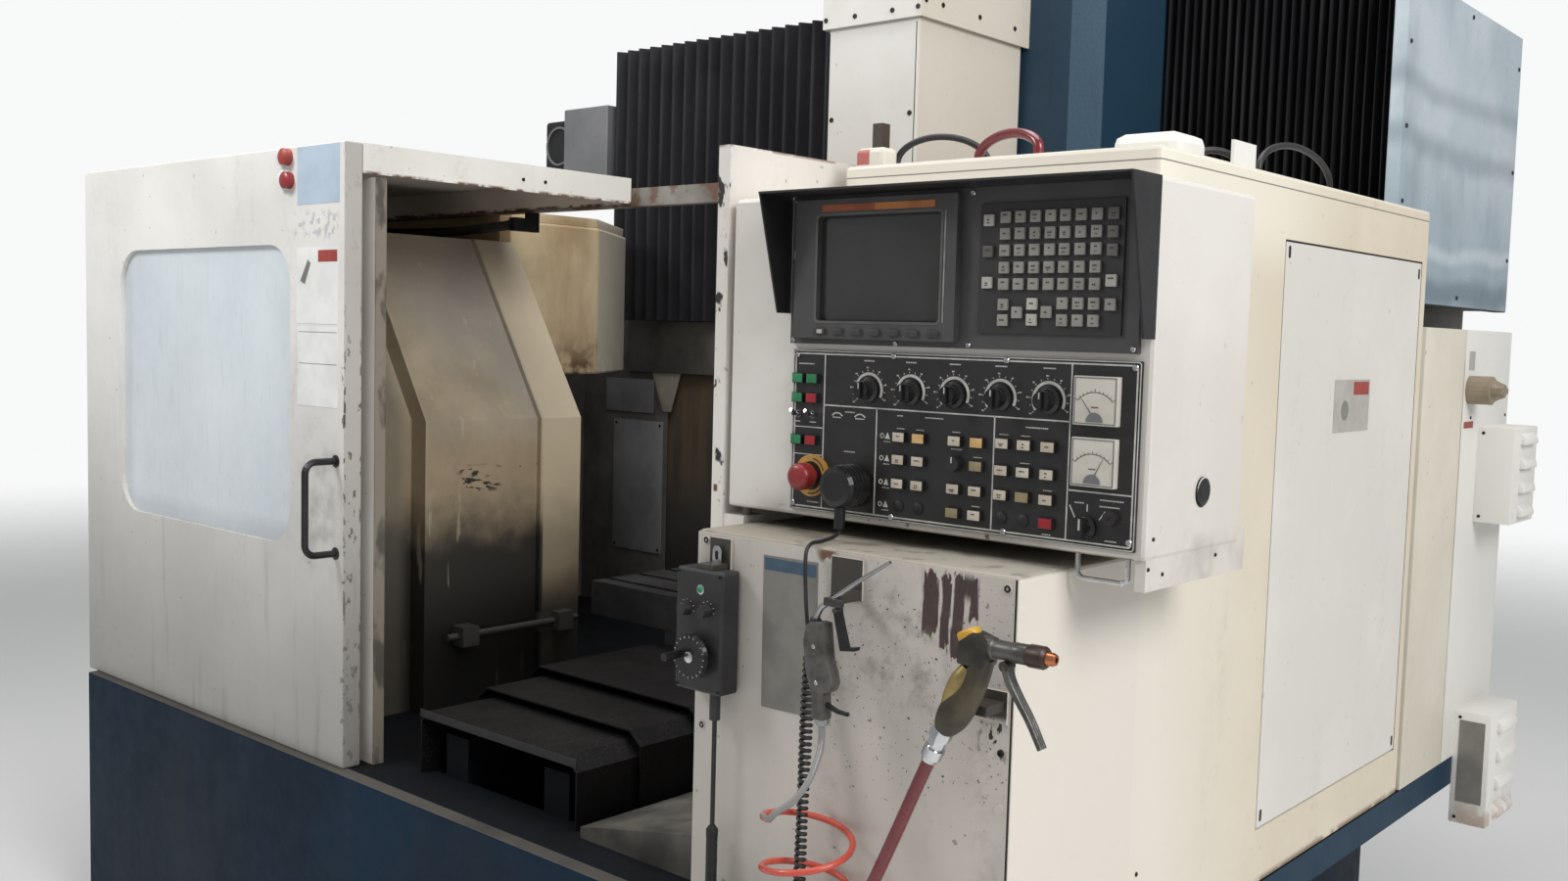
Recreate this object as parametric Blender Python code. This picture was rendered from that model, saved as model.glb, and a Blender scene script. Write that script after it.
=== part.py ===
"""A bridge-type CNC vertical machining centre.

A blue cast bed carries a fixed portal at its back. A saddle with a spindle head slides
across the portal between two pleated bellows, a T-slotted table slides front to back on two
box ways under telescopic covers, and a flat door with a roof slides across the front. At the
right stands the control cabinet, with a swivelling console and a hung pendant, air gun and
coolant gun.

X runs to the right along the front, Y into the machine and Z up. The origin is under the
levelling foot at the middle of the front edge. All lengths are in metres.
"""

import math

import bmesh
import bpy
from mathutils import Matrix, Vector

# Clearances and cuts
GAP = 0.0003
OVERRUN = 0.02
LAP = 0.004
MERGE = 0.000001

# Levelling feet
FOOT_HEIGHT = 0.055
FOOT_RADIUS = 0.06
FOOT_PAD = 0.018
FOOT_STEM_RADIUS = 0.028
FOOT_SPACING_X = 0.9
FOOT_ROWS = (0.0, 0.95, 1.90)

# Bed
BED_LEFT_REACH = 1.30
BED_LEFT = -BED_LEFT_REACH
BED_RIGHT = 1.05
BED_FRONT_REACH = 0.15
BED_FRONT = -BED_FRONT_REACH
BED_BACK = 2.10
BED_TOP = 0.615
SHELF_RIGHT = 1.385
SHELF_BACK = 1.92
SHELF_THICKNESS = 0.06
STRUT_COUNT = 4
STRUT_THICKNESS = 0.025
STRUT_DROP = 0.26
STRUT_REACH = 0.30
STRUT_INSET = 0.004
BED_EDGE = 0.004
BAY_X = 0.18
PAN_HALF_WIDTH = 0.22
PAN_FRONT = 0.0
PAN_BACK = 1.35
PAN_FLOOR = 0.50
WAY_OFFSET = 0.15
WAY_WIDTH = 0.07
WAY_TOP = 0.70

# Enclosure walls
WALL_THICKNESS = 0.024
WALL_FRONT_REACH = 0.07
WALL_FRONT = -WALL_FRONT_REACH
WALL_BACK = 1.03
WALL_TOP = 1.783
FRONT_WALL_RIGHT_REACH = 0.16
FRONT_WALL_RIGHT = -FRONT_WALL_RIGHT_REACH
RIGHT_WALL_LEFT = 0.767
LUG_REACH = 0.043
LUG_FRONT_REACH = 0.068
LUG_FRONT = -LUG_FRONT_REACH
LUG_BACK_REACH = 0.02
LUG_BACK = -LUG_BACK_REACH
LUG_HEIGHT = 0.032
LUG_RISE = 0.010
RAIL_FRONT = 0.612
RAIL_DEPTH = 0.028
RAIL_BOTTOM = 1.7835
RAIL_TOP = 1.825

# Guard on the left of the working space
GUARD_FACE_REACH = 0.40
GUARD_FACE = -GUARD_FACE_REACH
GUARD_BEND = 1.283
GUARD_TOP = 1.714
GUARD_SLOPE_RUN = 0.272
GUARD_THICKNESS = 0.02
GUARD_STEP_Y = 0.224
GUARD_STRIP_Y = 0.533
GUARD_BACK = 0.652
GUARD_STEP = 0.055
GUARD_STRIP = 0.015
GUARD_ROD_Z = 0.79
GUARD_ROD_RADIUS = 0.008
GUARD_ROD_FRONT = 0.26
GUARD_ROD_END = 0.64
GUARD_BLOCK = 0.045
GUARD_BLOCKS_Y = (0.31, 0.59)

# Tool magazine housing
MAGAZINE_RIGHT_REACH = 0.70
MAGAZINE_RIGHT = -MAGAZINE_RIGHT_REACH
MAGAZINE_FRONT = 0.676
MAGAZINE_CORNER_Y = 0.977
MAGAZINE_BACK = 1.27
MAGAZINE_BACK_RIGHT_REACH = 0.914
MAGAZINE_BACK_RIGHT = -MAGAZINE_BACK_RIGHT_REACH
MAGAZINE_BOTTOM = 1.375
MAGAZINE_TOP = 1.775
MAGAZINE_EDGE = 0.006

# Sloped floor guard on the right
FLOOR_GUARD_LEFT = 0.445
FLOOR_GUARD_LOW = 0.635
FLOOR_GUARD_HIGH = 0.70

# Portal
LEG_WIDTH = 0.48
LEFT_LEG_X_REACH = 0.98
LEFT_LEG_X = -LEFT_LEG_X_REACH
RIGHT_LEG_X = 0.74
PORTAL_FRONT = 1.45
PORTAL_BACK = 2.10
BEAM_LEFT_REACH = 1.08
BEAM_LEFT = -BEAM_LEFT_REACH
BEAM_RIGHT = 1.29
BEAM_BOTTOM = 1.60
BEAM_TOP = 2.24
BEAM_WAY_FRONT = 1.40
BEAM_WAYS_Z = (1.84, 2.12)
BEAM_WAY_HEIGHT = 0.08
PORTAL_EDGE = 0.01

# Bellows and the beam's end parts
BELLOWS_CLEARANCE = 0.005
BELLOWS_BAND = 0.017
PLEAT_DEPTH = 0.028
BELLOWS_BOTTOM = 1.53
BELLOWS_RIGHT_BOTTOM = 1.56
BELLOWS_TOP = 2.35
PLEATS = 26
PLEAT_PEAK_SHARE = 0.5
END_COVER_THICKNESS = 0.028
END_COVER_FRONT = 1.29
END_COVER_BACK = 2.09
END_COVER_BOTTOM = 1.597
END_COVER_TOP = 2.246
DRIVE_LEFT_REACH = 1.286
DRIVE_LEFT = -DRIVE_LEFT_REACH
DRIVE_FRONT = 1.335
DRIVE_BACK = 1.62
DRIVE_BOTTOM = 1.958
DRIVE_TOP = 2.19
FAN_LENGTH = 0.13
FAN_RADIUS = 0.078
FAN_Y = 1.45
FAN_Z = 2.085

# Saddle and head
SADDLE_LEFT = 0.199
SADDLE_RIGHT = 0.767
SADDLE_FRONT = 1.045
SADDLE_BOTTOM = 1.80
SADDLE_TOP = 2.62
SADDLE_CHAMFER_X = 0.057
SADDLE_CHAMFER_Y = 0.045
HEAD_LEFT = 0.358
HEAD_RIGHT = 0.608
HEAD_FRONT = 0.65
HEAD_BOTTOM = 2.128
HEAD_TOP = 2.75
HEAD_SHEET = 0.005
RAM_SIDE_CLEARANCE = 0.01
RAM_BACK = 1.03
RAM_BOTTOM = 1.50
RAM_TOP = 2.60
RAM_EDGE = 0.003
SLIDE_INSET = 0.025
SPINDLE_Y = 0.845
HOUSING_RADIUS = 0.095
HOUSING_LOW_RADIUS = 0.075
HOUSING_BOTTOM = 1.40
HOUSING_STEP = 0.035
SPINDLE_BOTTOM = 1.33
SPINDLE_RADIUS = 0.045
SPINDLE_NOSE_RADIUS = 0.028
SPINDLE_NOSE = 0.025
SPINDLE_KEY = 0.014

# Table and its covers
TABLE_LEFT_REACH = 0.27
TABLE_LEFT = -TABLE_LEFT_REACH
TABLE_RIGHT = 0.63
TABLE_FRONT = 0.595
TABLE_DEPTH = 0.50
TABLE_BOTTOM = 0.82
TABLE_TOP = 0.90
SLOT_COUNT = 5
SLOT_PITCH_SHARE = 0.2
SLOT_NECK = 0.018
SLOT_NECK_DEPTH = 0.022
SLOT_HEAD = 0.032
SLOT_DEPTH = 0.036
CARRIAGE_HALF_WIDTH = 0.20
COVER_FRONT_REACH = 0.03
COVER_FRONT = -COVER_FRONT_REACH
COVER_LENGTH = 0.34
COVER_HALF_WIDTH = 0.235
COVER_HALF_STEP = 0.01
COVER_TOP = 0.745
COVER_TOP_STEP = 0.02
COVER_SHEET = 0.003
COVER_SHOULDER_X = 0.03
COVER_SHOULDER_Z = 0.025
COVER_NEST_SHARE = 0.5

# Sliding door
DOOR_LEFT_REACH = 1.34
DOOR_LEFT = -DOOR_LEFT_REACH
DOOR_RIGHT_REACH = 0.175
DOOR_RIGHT = -DOOR_RIGHT_REACH
DOOR_FRONT_REACH = 0.13
DOOR_FRONT = -DOOR_FRONT_REACH
DOOR_BACK_REACH = 0.09
DOOR_BACK = -DOOR_BACK_REACH
DOOR_TOP = 1.848
DOOR_EDGE = 0.003
WINDOW_LEFT_MARGIN = 0.194
WINDOW_LEFT = DOOR_LEFT + WINDOW_LEFT_MARGIN
WINDOW_RIGHT_MARGIN = 0.200
WINDOW_RIGHT = DOOR_RIGHT - WINDOW_RIGHT_MARGIN
WINDOW_SILL = 0.425
WINDOW_BOTTOM = BED_TOP + WINDOW_SILL
WINDOW_TOP_MARGIN = 0.194
WINDOW_TOP = DOOR_TOP - WINDOW_TOP_MARGIN
WINDOW_RADIUS = 0.08
PANE_THICKNESS = 0.012
PANE_INSET = 0.010
HANDLE_INSET = 0.027
HANDLE_X = DOOR_RIGHT - HANDLE_INSET
HANDLE_BOTTOM = 1.044
HANDLE_TOP = 1.227
HANDLE_REACH = 0.067
HANDLE_RADIUS = 0.007
HANDLE_BEND = 0.022
ROOF_SHEET = 0.003
ROOF_BOTTOM = 1.79
ROOF_GAP_BACK = 0.0003

# Control cabinet
CABINET_LEFT = 0.836
CABINET_RIGHT = 1.385
CABINET_FRONT_REACH = 0.167
CABINET_FRONT = -CABINET_FRONT_REACH
CABINET_LEDGE = 1.212
CABINET_UPPER_FRONT = 0.15
CABINET_BACK = 1.28
CABINET_TOP = 1.77
CABINET_EDGE = 0.006
RECESS_FRONT = 0.585
RECESS_BACK = 1.248
RECESS_BOTTOM = 0.71
RECESS_TOP = 1.671
RECESS_DEPTH = 0.008
RECESS_CLEARANCE = 0.0035
SIDE_COVER_THICKNESS = 0.0075
FRONT_PANEL_LEFT = 0.84
FRONT_PANEL_RIGHT = 1.381
FRONT_PANEL_BOTTOM = 0.62
FRONT_PANEL_MARGIN = 0.003
FRONT_PANEL_THICKNESS = 0.0027
PANEL_SCREWS = ((0.857, 1.198), (0.856, 0.924), (1.371, 1.197), (1.37, 0.922))
SCREW_RADIUS = 0.006
SCREW_HEAD = 0.0015
REAR_LEFT = 1.24
REAR_FRONT = 1.2985
REAR_BACK = 1.90
REAR_TOP = 1.547
REAR_EDGE = 0.003
SWITCH_Y = 1.60
SWITCH_Z = 1.42
SWITCH_PROFILE = ((0.030, 0.0), (0.030, 0.046), (0.024, 0.050), (0.018, 0.060), (0.014, 0.070))
SWITCH_BAR_HALF = 0.006
LOUVRES = ((1.68, 1.86, 1.13, 1.34), (1.64, 1.84, 0.47, 0.72))
LOUVRE_REACH = 0.075
HOOD_COUNT = 4
HOOD_REACH = 0.025
HOOD_HEIGHT_SHARE = 0.13
HOOD_MARGIN = 0.015

# Things on the cabinet's top
JUNCTION = (1.225, 1.335, 0.30, 0.40)
JUNCTION_HEIGHT = 0.042
JUNCTION_EDGE = 0.016
SMALL_BOX = (0.842, 0.90, 0.165, 0.205)
SMALL_BOX_HEIGHT = 0.03
SMALL_BOX_EDGE = 0.008
POST_X = 0.842
POST_Y = 0.21
POST_WIDTH = 0.02
POST_HEIGHT = 0.075
CLIP = (1.352, 1.357, 0.44, 0.52)
CLIP_HEIGHT = 0.042
TOP_CABLE_RADIUS = 0.0055
TOP_HOSE_RADIUS = 0.008
CABLE_STEPS = 14
TOP_ARCS = (
    (0.875, 0.235, 0.990, 0.330, 0.045),
    (1.290, 0.435, 1.335, 0.50, 0.020),
    (1.345, 0.56, 1.345, 0.86, 0.050),
)
TOP_HOSE = (1.010, 0.27, 1.150, 0.22, 0.030)

# Console, with heights above its own floor
LEDGE_CLEARANCE = 0.023
CONSOLE_LEFT = 0.802
CONSOLE_RIGHT = 1.50
CONSOLE_FRONT_REACH = 0.07
CONSOLE_FRONT = -CONSOLE_FRONT_REACH
CONSOLE_BACK = 0.14
WING_LEFT = 1.395
WING_BACK = 0.20
CONSOLE_TOP = 0.465
CONSOLE_EDGE = 0.006
SKIRT_LEFT = 1.484
SKIRT_BACK = 0.22
SKIRT_DROP = 0.038
PLUG_Y = 0.077
PLUG_Z = 0.078
PLUG_PROFILE = ((0.0185, 0.0), (0.0185, 0.003), (0.012, 0.006))
PIVOT_X = 0.82
PIVOT_Y_REACH = 0.045
PIVOT_Y = -PIVOT_Y_REACH
PIVOT_RADIUS = 0.007
VISOR_LEFT = 0.917
VISOR_SHEET = 0.003
VISOR_REACH = 0.073
VISOR_LOW_REACH = 0.028
VISOR_LEFT_BOTTOM = 0.295
VISOR_RIGHT_BOTTOM = 0.27
CRT_LEFT = 0.928
CRT_RIGHT = 1.482
CRT_BOTTOM = 0.252
CRT_PLATE = 0.008
BEZEL = (0.943, 1.222, 0.26, 0.455)
BEZEL_THICKNESS = 0.012
SCREEN = (0.985, 1.197, 0.285, 0.432)
SCREEN_DEPTH = 0.009
SOFT_KEY_LEFT = 0.994
SOFT_KEY_PITCH = 0.0325
SOFT_KEY_COUNT = 7
SOFT_KEY_Z = 0.27
SOFT_KEY = (0.018, 0.008)
SOFT_KEY_RISE = 0.003
MAT = (1.253, 1.46, 0.273, 0.439)
MAT_THICKNESS = 0.003
KEY = (0.0145, 0.0145)
KEY_RISE = 0.0035
KEY_ROWS_Z = (0.421, 0.4, 0.379, 0.357, 0.336)
KEY_COLUMNS_WIDE = (1.2925, 1.3145, 1.3365, 1.3585)
KEY_COLUMNS_NARROW = (1.3795, 1.4015, 1.4235)
KEY_EDGE_X = 1.446
KEY_EDGE_Z = (0.421, 0.399, 0.377, 0.34, 0.311)
KEY_START = ((1.2675, 0.418), (1.2675, 0.378), (1.2675, 0.338))
KEY_LOW = ((1.293, 0.31), (1.293, 0.29), (1.314, 0.3), (1.336, 0.311), (1.336, 0.291), (1.357, 0.301))
KEY_LOW_ROWS_Z = (0.312, 0.291)
OPERATOR = (0.932, 1.487, 0.011, 0.243)
OPERATOR_THICKNESS = 0.004
BUTTON = (0.020, 0.014)
BUTTON_RISE = 0.006
BUTTONS = (
    (0.945, 0.202), (0.972, 0.202), (0.945, 0.174), (0.972, 0.174), (0.945, 0.113), (0.972, 0.113),
    (1.130, 0.128), (1.163, 0.128), (1.130, 0.097), (1.163, 0.097), (1.130, 0.064), (1.163, 0.064),
    (1.222, 0.129), (1.257, 0.129), (1.257, 0.098), (1.222, 0.065), (1.257, 0.065),
    (1.222, 0.033), (1.257, 0.033),
    (1.296, 0.131), (1.329, 0.131), (1.364, 0.131), (1.296, 0.096), (1.329, 0.096), (1.364, 0.096),
    (1.296, 0.064), (1.329, 0.064), (1.364, 0.064), (1.365, 0.034),
)
TOGGLES = ((0.945, 0.15), (0.972, 0.15))
TOGGLE_PROFILE = ((0.005, 0.0), (0.005, 0.003), (0.002, 0.004), (0.0025, 0.014))
SMALL_KNOB = (1.223, 0.099)
SMALL_KNOB_PROFILE = ((0.011, 0.0), (0.010, 0.012))
METER_LEFT = 1.401
METER_SIZE = 0.060
METERS_Z = (0.163, 0.087)
METER_RISE = 0.010
METER_EDGE = 0.003
KEY_LOCK = (1.455, 0.05)
KEY_LOCK_PROFILE = ((0.010, 0.0), (0.009, 0.008), (0.003, 0.009), (0.003, 0.020))
KNOB_LEFT_X = 1.072
KNOB_PITCH = 0.072
KNOB_COUNT = 5
KNOB_Z = 0.19
KNOB_PROFILE = ((0.018, 0.0), (0.018, 0.004), (0.0135, 0.007), (0.012, 0.020))
KNOB_BAR = (0.003, 0.0112, 0.004)
SELECTOR = (1.421, 0.035)
SELECTOR_PROFILE = ((0.014, 0.0), (0.014, 0.004), (0.009, 0.006), (0.008, 0.010))
SELECTOR_BAR = (0.004, 0.013, 0.009)
ESTOP = (0.976, 0.062)
ESTOP_BORE = 0.013
ESTOP_COLLAR_RADIUS = 0.030
ESTOP_COLLAR_HEIGHT = 0.006
ESTOP_TRAVEL = 0.004
ESTOP_STEM_LENGTH = 0.0085
ESTOP_HEAD_PROFILE = ((0.0195, 0.0105), (0.0195, 0.032), (0.015, 0.037))
UNIT_X = 1.056
UNIT_Z = 0.055
UNIT_PROFILE = ((0.026, 0.0), (0.030, 0.006), (0.030, 0.044), (0.027, 0.050), (0.020, 0.052))
UNIT_RELIEF_Y = 0.036
UNIT_RELIEF_RADIUS = 0.008
UNIT_RELIEF_DROP = 0.0035
BAR_LEFT = 1.402
BAR_RIGHT = 1.472
BAR_Y_REACH = 0.058
BAR_Y = -BAR_Y_REACH
BAR_DROP = 0.032
BAR_RADIUS = 0.0035
BAR_BEND = 0.010

# Pendant
PENDANT = (0.838, 0.930, 0.985, 1.162)
PENDANT_DEPTH = 0.037
PENDANT_EDGE = 0.004
PENDANT_LAMP = (0.888, 1.134)
PENDANT_LAMP_PROFILE = ((0.006, 0.0), (0.004, 0.004))
PENDANT_KNOBS = ((0.861, 1.103), (0.901, 1.105))
PENDANT_KNOB_PROFILE = ((0.010, 0.0), (0.008, 0.014))
PENDANT_RELIEF_X = 0.903
PENDANT_RELIEF_RADIUS = 0.008
PENDANT_RELIEF_BOTTOM = 0.945
WHEEL_X = 0.884
WHEEL_Z = 1.038
WHEEL_PROFILE = (
    (0.012, 0.0), (0.012, 0.006), (0.031, 0.008), (0.033, 0.012), (0.031, 0.018), (0.012, 0.018),
)
CRANK_OFFSET = 0.024
CRANK_RADIUS = 0.006
CRANK_LENGTH = 0.03

# Hooks and the cord bracket on the front panel
PENDANT_HOOK = (0.868, 0.908, 1.120, 1.204)
HOOK_PLATE = 0.004
PENDANT_HOOK_REACH = 0.036
PENDANT_HOOK_HIGH = 1.169
GUN_BRACKET = (1.096, 1.148, 1.150, 1.204)
GUN_ARM = (1.136, 1.148, 1.151, 1.164)
COOLANT_HOOK = (1.330, 1.378, 1.030, 1.070)
COOLANT_ARM = (1.344, 1.374, 1.046, 1.058)
BRACKET_LEFT = 0.875
BRACKET_RIGHT = 1.195
BRACKET_TOP = 0.665
BRACKET_DEPTH = 0.020
BRACKET_FRONT_REACH = 0.275
BRACKET_FRONT = -BRACKET_FRONT_REACH

# Hung guns and cords, whose routes give x, the reach in front of the origin and z
HANG_Y_REACH = 0.230
HANG_Y = -HANG_Y_REACH
AIR_BODY = (
    (1.104, 1.100), (1.108, 1.122), (1.139, 1.128), (1.145, 1.080), (1.156, 1.049), (1.140, 1.034),
    (1.142, 0.998), (1.122, 0.998), (1.121, 1.030), (1.110, 1.060),
)
AIR_BODY_HALF = 0.011
AIR_FITTING = (1.133, 0.990)
AIR_FITTING_RADIUS = 0.007
AIR_FITTING_LENGTH = 0.018
AIR_ROD = ((1.112, 1.114), (1.124, 1.142), (1.140, 1.155), (1.185, 1.187), (1.236, 1.219))
AIR_ROD_RADIUS = 0.0045
AIR_PRONG = ((1.138, 1.020), (1.176, 1.013))
AIR_PRONG_RADIUS = 0.0035
AIR_LEVER_EYE = (1.154, 1.146)
AIR_LEVER_EYE_RADIUS = 0.0035
AIR_LEVER = ((1.164, 1.095), (1.187, 1.098), (1.188, 1.103), (1.172, 1.100))
AIR_LEVER_SEAT = (1.134, 1.160)
AIR_LEVER_SEAT_HEIGHT = 0.011
AIR_LEVER_HALF = 0.006
COOLANT_GRIP = (
    (1.347, 1.132), (1.349, 1.105), (1.312, 1.049), (1.315, 1.025), (1.337, 1.021), (1.356, 1.035),
    (1.387, 1.109), (1.388, 1.141), (1.366, 1.154),
)
COOLANT_GRIP_HALF = 0.016
COOLANT_BARREL = (1.376, 1.466)
COOLANT_BARREL_Z = 1.136
COOLANT_BARREL_RADIUS = 0.0115
COOLANT_NOZZLE_X = 1.443
COOLANT_NOZZLE_RADIUS = 0.0135
COOLANT_TIP_X = 1.477
COOLANT_TIP_RADIUS = 0.006
COOLANT_FITTING = ((1.326, 1.028), (1.305, 0.982))
COOLANT_FITTING_RADIUS = 0.014
COOLANT_LEVER_EYE_X = 1.412
COOLANT_LEVER_EYE_RADIUS = 0.006
COOLANT_LEVER = (
    (1.408, 1.090), (1.437, 1.062), (1.460, 1.027), (1.466, 1.030), (1.444, 1.066), (1.424, 1.092),
)
COOLANT_LEVER_HALF = 0.007
LEAD_RADIUS = 0.0032
LEAD_ROUTE = (
    (1.0565, 0.121, 1.2215), (1.0575, 0.148, 1.2172), (1.060, 0.178, 1.2155),
    (1.063, 0.190, 1.196), (1.070, 0.194, 1.135),
)
CURLY_TOP = (1.079, 0.195, 1.068)
CURLY_RADIUS = 0.0125
CURLY_BOTTOM = (1.105, 0.235)
CABLE_RADIUS = 0.0035
SLEEVE_RADIUS = 0.0085
SLEEVE_TOP = 0.785
HOSE_RADIUS = 0.0085
COOLANT_HOSE_ROUTE = ((1.286, 0.940), (1.254, 0.868), (1.222, 0.798), (1.193, 0.735))
COOLANT_HOSE_END_X = 1.165
AIR_HOSE_RADIUS = 0.0045
AIR_HOSE_ROUTE = (
    (1.138, 0.240, 0.955), (1.140, 0.262, 0.925), (1.130, 0.280, 0.900), (1.110, 0.292, 0.882),
)
COIL_X = 1.120
COIL_Y_REACH = 0.237
COIL_Y = -COIL_Y_REACH
COIL_RADIUS = 0.060
COIL_TOP = 0.872
COIL_PITCH = 0.068
COIL_TURNS = 2.5
COIL_START_TURN_SHARE = 0.30
COIL_STEPS = 50
COIL_END_Z = 0.690

# Rounded shapes
ROUND_STEPS = 6
TURN_SEGMENTS = 32
KNOB_SEGMENTS = 20
TUBE_RINGS = 2
HALF_SHARE = 0.5

PLANES = {"x": (1, 2, 0), "y": (0, 2, 1), "z": (0, 1, 2)}


def clear_scene():
    """Remove every object of the opening scene."""
    for item in list(bpy.data.objects):
        bpy.data.objects.remove(item, do_unlink=True)


def paint(name, colour, roughness, metallic=0.0):
    """Return a plain surface of one colour."""
    material = bpy.data.materials.new(name)
    material.use_nodes = True
    shader = material.node_tree.nodes["Principled BSDF"]
    shader.inputs["Base Color"].default_value = (*colour, 1.0)
    shader.inputs["Roughness"].default_value = roughness
    shader.inputs["Metallic"].default_value = metallic
    return material


def soften(shape, width, segments=2):
    """Round every edge of a plain shape."""
    bmesh.ops.bevel(
        shape, geom=list(shape.edges), offset=width, segments=segments, profile=HALF_SHARE, affect="EDGES"
    )


def box(low, high, edge=0.0):
    """Return a box between two opposite corners."""
    shape = bmesh.new()
    bmesh.ops.create_cube(shape, size=1.0)
    low = Vector(low)
    high = Vector(high)
    size = high - low
    for vertex in shape.verts:
        vertex.co = Vector([low[n] + (vertex.co[n] + HALF_SHARE) * size[n] for n in range(3)])
    if edge:
        soften(shape, edge)
    return shape


def prism(outline, axis, start, end, edge=0.0):
    """Return an outline swept along one axis."""
    first, second, along = PLANES[axis]
    shape = bmesh.new()
    rings = []
    for level in (start, end):
        ring = []
        for across, up in outline:
            place = [0.0, 0.0, 0.0]
            place[first] = across
            place[second] = up
            place[along] = level
            ring.append(shape.verts.new(place))
        rings.append(ring)
    near, far = rings
    shape.faces.new(near)
    shape.faces.new(list(reversed(far)))
    for n in range(len(near)):
        after = (n + 1) % len(near)
        shape.faces.new((near[n], far[n], far[after], near[after]))
    bmesh.ops.recalc_face_normals(shape, faces=shape.faces)
    if edge:
        soften(shape, edge)
    return shape


def turned(profile, base, direction, segments=TURN_SEGMENTS, closed=False):
    """Return a turned body from (radius, distance) pairs along a direction."""
    shape = bmesh.new()
    rings = []
    for radius, distance in profile:
        ring = []
        for n in range(segments):
            angle = math.tau * n / segments
            place = (radius * math.cos(angle), radius * math.sin(angle), distance)
            ring.append(shape.verts.new(place))
        rings.append(ring)
    pairs = list(zip(rings, rings[1:]))
    if closed:
        pairs.append((rings[-1], rings[0]))
    else:
        shape.faces.new(rings[0])
        shape.faces.new(rings[-1])
    for lower, upper in pairs:
        for n in range(segments):
            after = (n + 1) % segments
            shape.faces.new((lower[n], lower[after], upper[after], upper[n]))
    bmesh.ops.recalc_face_normals(shape, faces=shape.faces)
    turn = Vector((0.0, 0.0, 1.0)).rotation_difference(Vector(direction)).to_matrix().to_4x4()
    shape.transform(Matrix.Translation(Vector(base)) @ turn)
    return shape


def tube(points, radius):
    """Return a round bar with flat closed ends along a row of points."""
    curve = bpy.data.curves.new("route", "CURVE")
    curve.dimensions = "3D"
    curve.bevel_depth = radius
    curve.bevel_resolution = TUBE_RINGS
    curve.use_fill_caps = True
    spline = curve.splines.new("POLY")
    spline.points.add(len(points) - 1)
    for point, place in zip(spline.points, points):
        point.co = (*place, 1.0)
    holder = bpy.data.objects.new("route", curve)
    bpy.context.collection.objects.link(holder)
    view = bpy.context.evaluated_depsgraph_get()
    mesh = bpy.data.meshes.new_from_object(holder.evaluated_get(view))
    shape = bmesh.new()
    shape.from_mesh(mesh)
    bpy.data.objects.remove(holder, do_unlink=True)
    bpy.data.meshes.remove(mesh)
    bmesh.ops.remove_doubles(shape, verts=shape.verts, dist=MERGE)
    bmesh.ops.recalc_face_normals(shape, faces=shape.faces)
    return shape


def smooth(points, steps):
    """Return points on a smooth curve through a row of places."""
    places = [Vector(point) for point in points]
    places = [places[0] * 2 - places[1], *places, places[-1] * 2 - places[-2]]
    route = []
    for n in range(1, len(places) - 2):
        before, start, end, after = places[n - 1:n + 3]
        for step in range(steps):
            t = step / steps
            route.append(
                (start * 2 + (end - before) * t
                 + (before * 2 - start * 5 + end * 4 - after) * t ** 2
                 + (start * 3 - before - end * 3 + after) * t ** 3) * HALF_SHARE
            )
    route.append(places[-2])
    return route


def stand_in(shape):
    """Return an object that holds a shape for one cut or join, and free the shape."""
    mesh = bpy.data.meshes.new("work")
    shape.to_mesh(mesh)
    shape.free()
    holder = bpy.data.objects.new("work", mesh)
    holder.hide_render = True
    holder.display_type = "WIRE"
    bpy.context.collection.objects.link(holder)
    return holder


def combine(shape, tool, operation):
    """Return the exact join or cut of two shapes."""
    target = stand_in(shape)
    other = stand_in(tool)
    step = target.modifiers.new("combine", "BOOLEAN")
    step.operation = operation
    step.solver = "EXACT"
    step.object = other
    view = bpy.context.evaluated_depsgraph_get()
    mesh = bpy.data.meshes.new_from_object(target.evaluated_get(view))
    result = bmesh.new()
    result.from_mesh(mesh)
    for item in (target, other):
        data = item.data
        bpy.data.objects.remove(item, do_unlink=True)
        bpy.data.meshes.remove(data)
    bpy.data.meshes.remove(mesh)
    bmesh.ops.remove_doubles(result, verts=result.verts, dist=MERGE)
    return result


def joined(first, *others):
    """Return one solid made of shapes that run into each other."""
    for other in others:
        first = combine(first, other, "UNION")
    return first


def cut(first, *tools):
    """Return a solid with the tools' space taken out."""
    for tool in tools:
        first = combine(first, tool, "DIFFERENCE")
    return first


def together(*shapes):
    """Return separate solids as one set."""
    result = bmesh.new()
    for shape in shapes:
        mesh = bpy.data.meshes.new("work")
        shape.to_mesh(mesh)
        shape.free()
        result.from_mesh(mesh)
        bpy.data.meshes.remove(mesh)
    return result


def pivot(name, place, parent=None):
    """Return an empty on a joint's axis."""
    empty = bpy.data.objects.new(name, None)
    bpy.context.collection.objects.link(empty)
    empty.empty_display_size = GAP
    empty["place"] = [float(value) for value in place]
    start = Vector(parent["place"]) if parent else Vector((0.0, 0.0, 0.0))
    empty.parent = parent
    empty.location = Vector(place) - start
    return empty


def place(name, shape, material, parent=None, origin=None):
    """Add a finished piece, with its origin on its own axis or on its parent's."""
    start = Vector(parent["place"]) if parent else Vector((0.0, 0.0, 0.0))
    centre = Vector(origin) if origin else start
    shape.transform(Matrix.Translation(-centre))
    bmesh.ops.recalc_face_normals(shape, faces=shape.faces)
    mesh = bpy.data.meshes.new(name)
    shape.to_mesh(mesh)
    shape.free()
    mesh.materials.append(material)
    piece = bpy.data.objects.new(name, mesh)
    bpy.context.collection.objects.link(piece)
    piece.parent = parent
    piece.location = centre - start
    return piece


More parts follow.
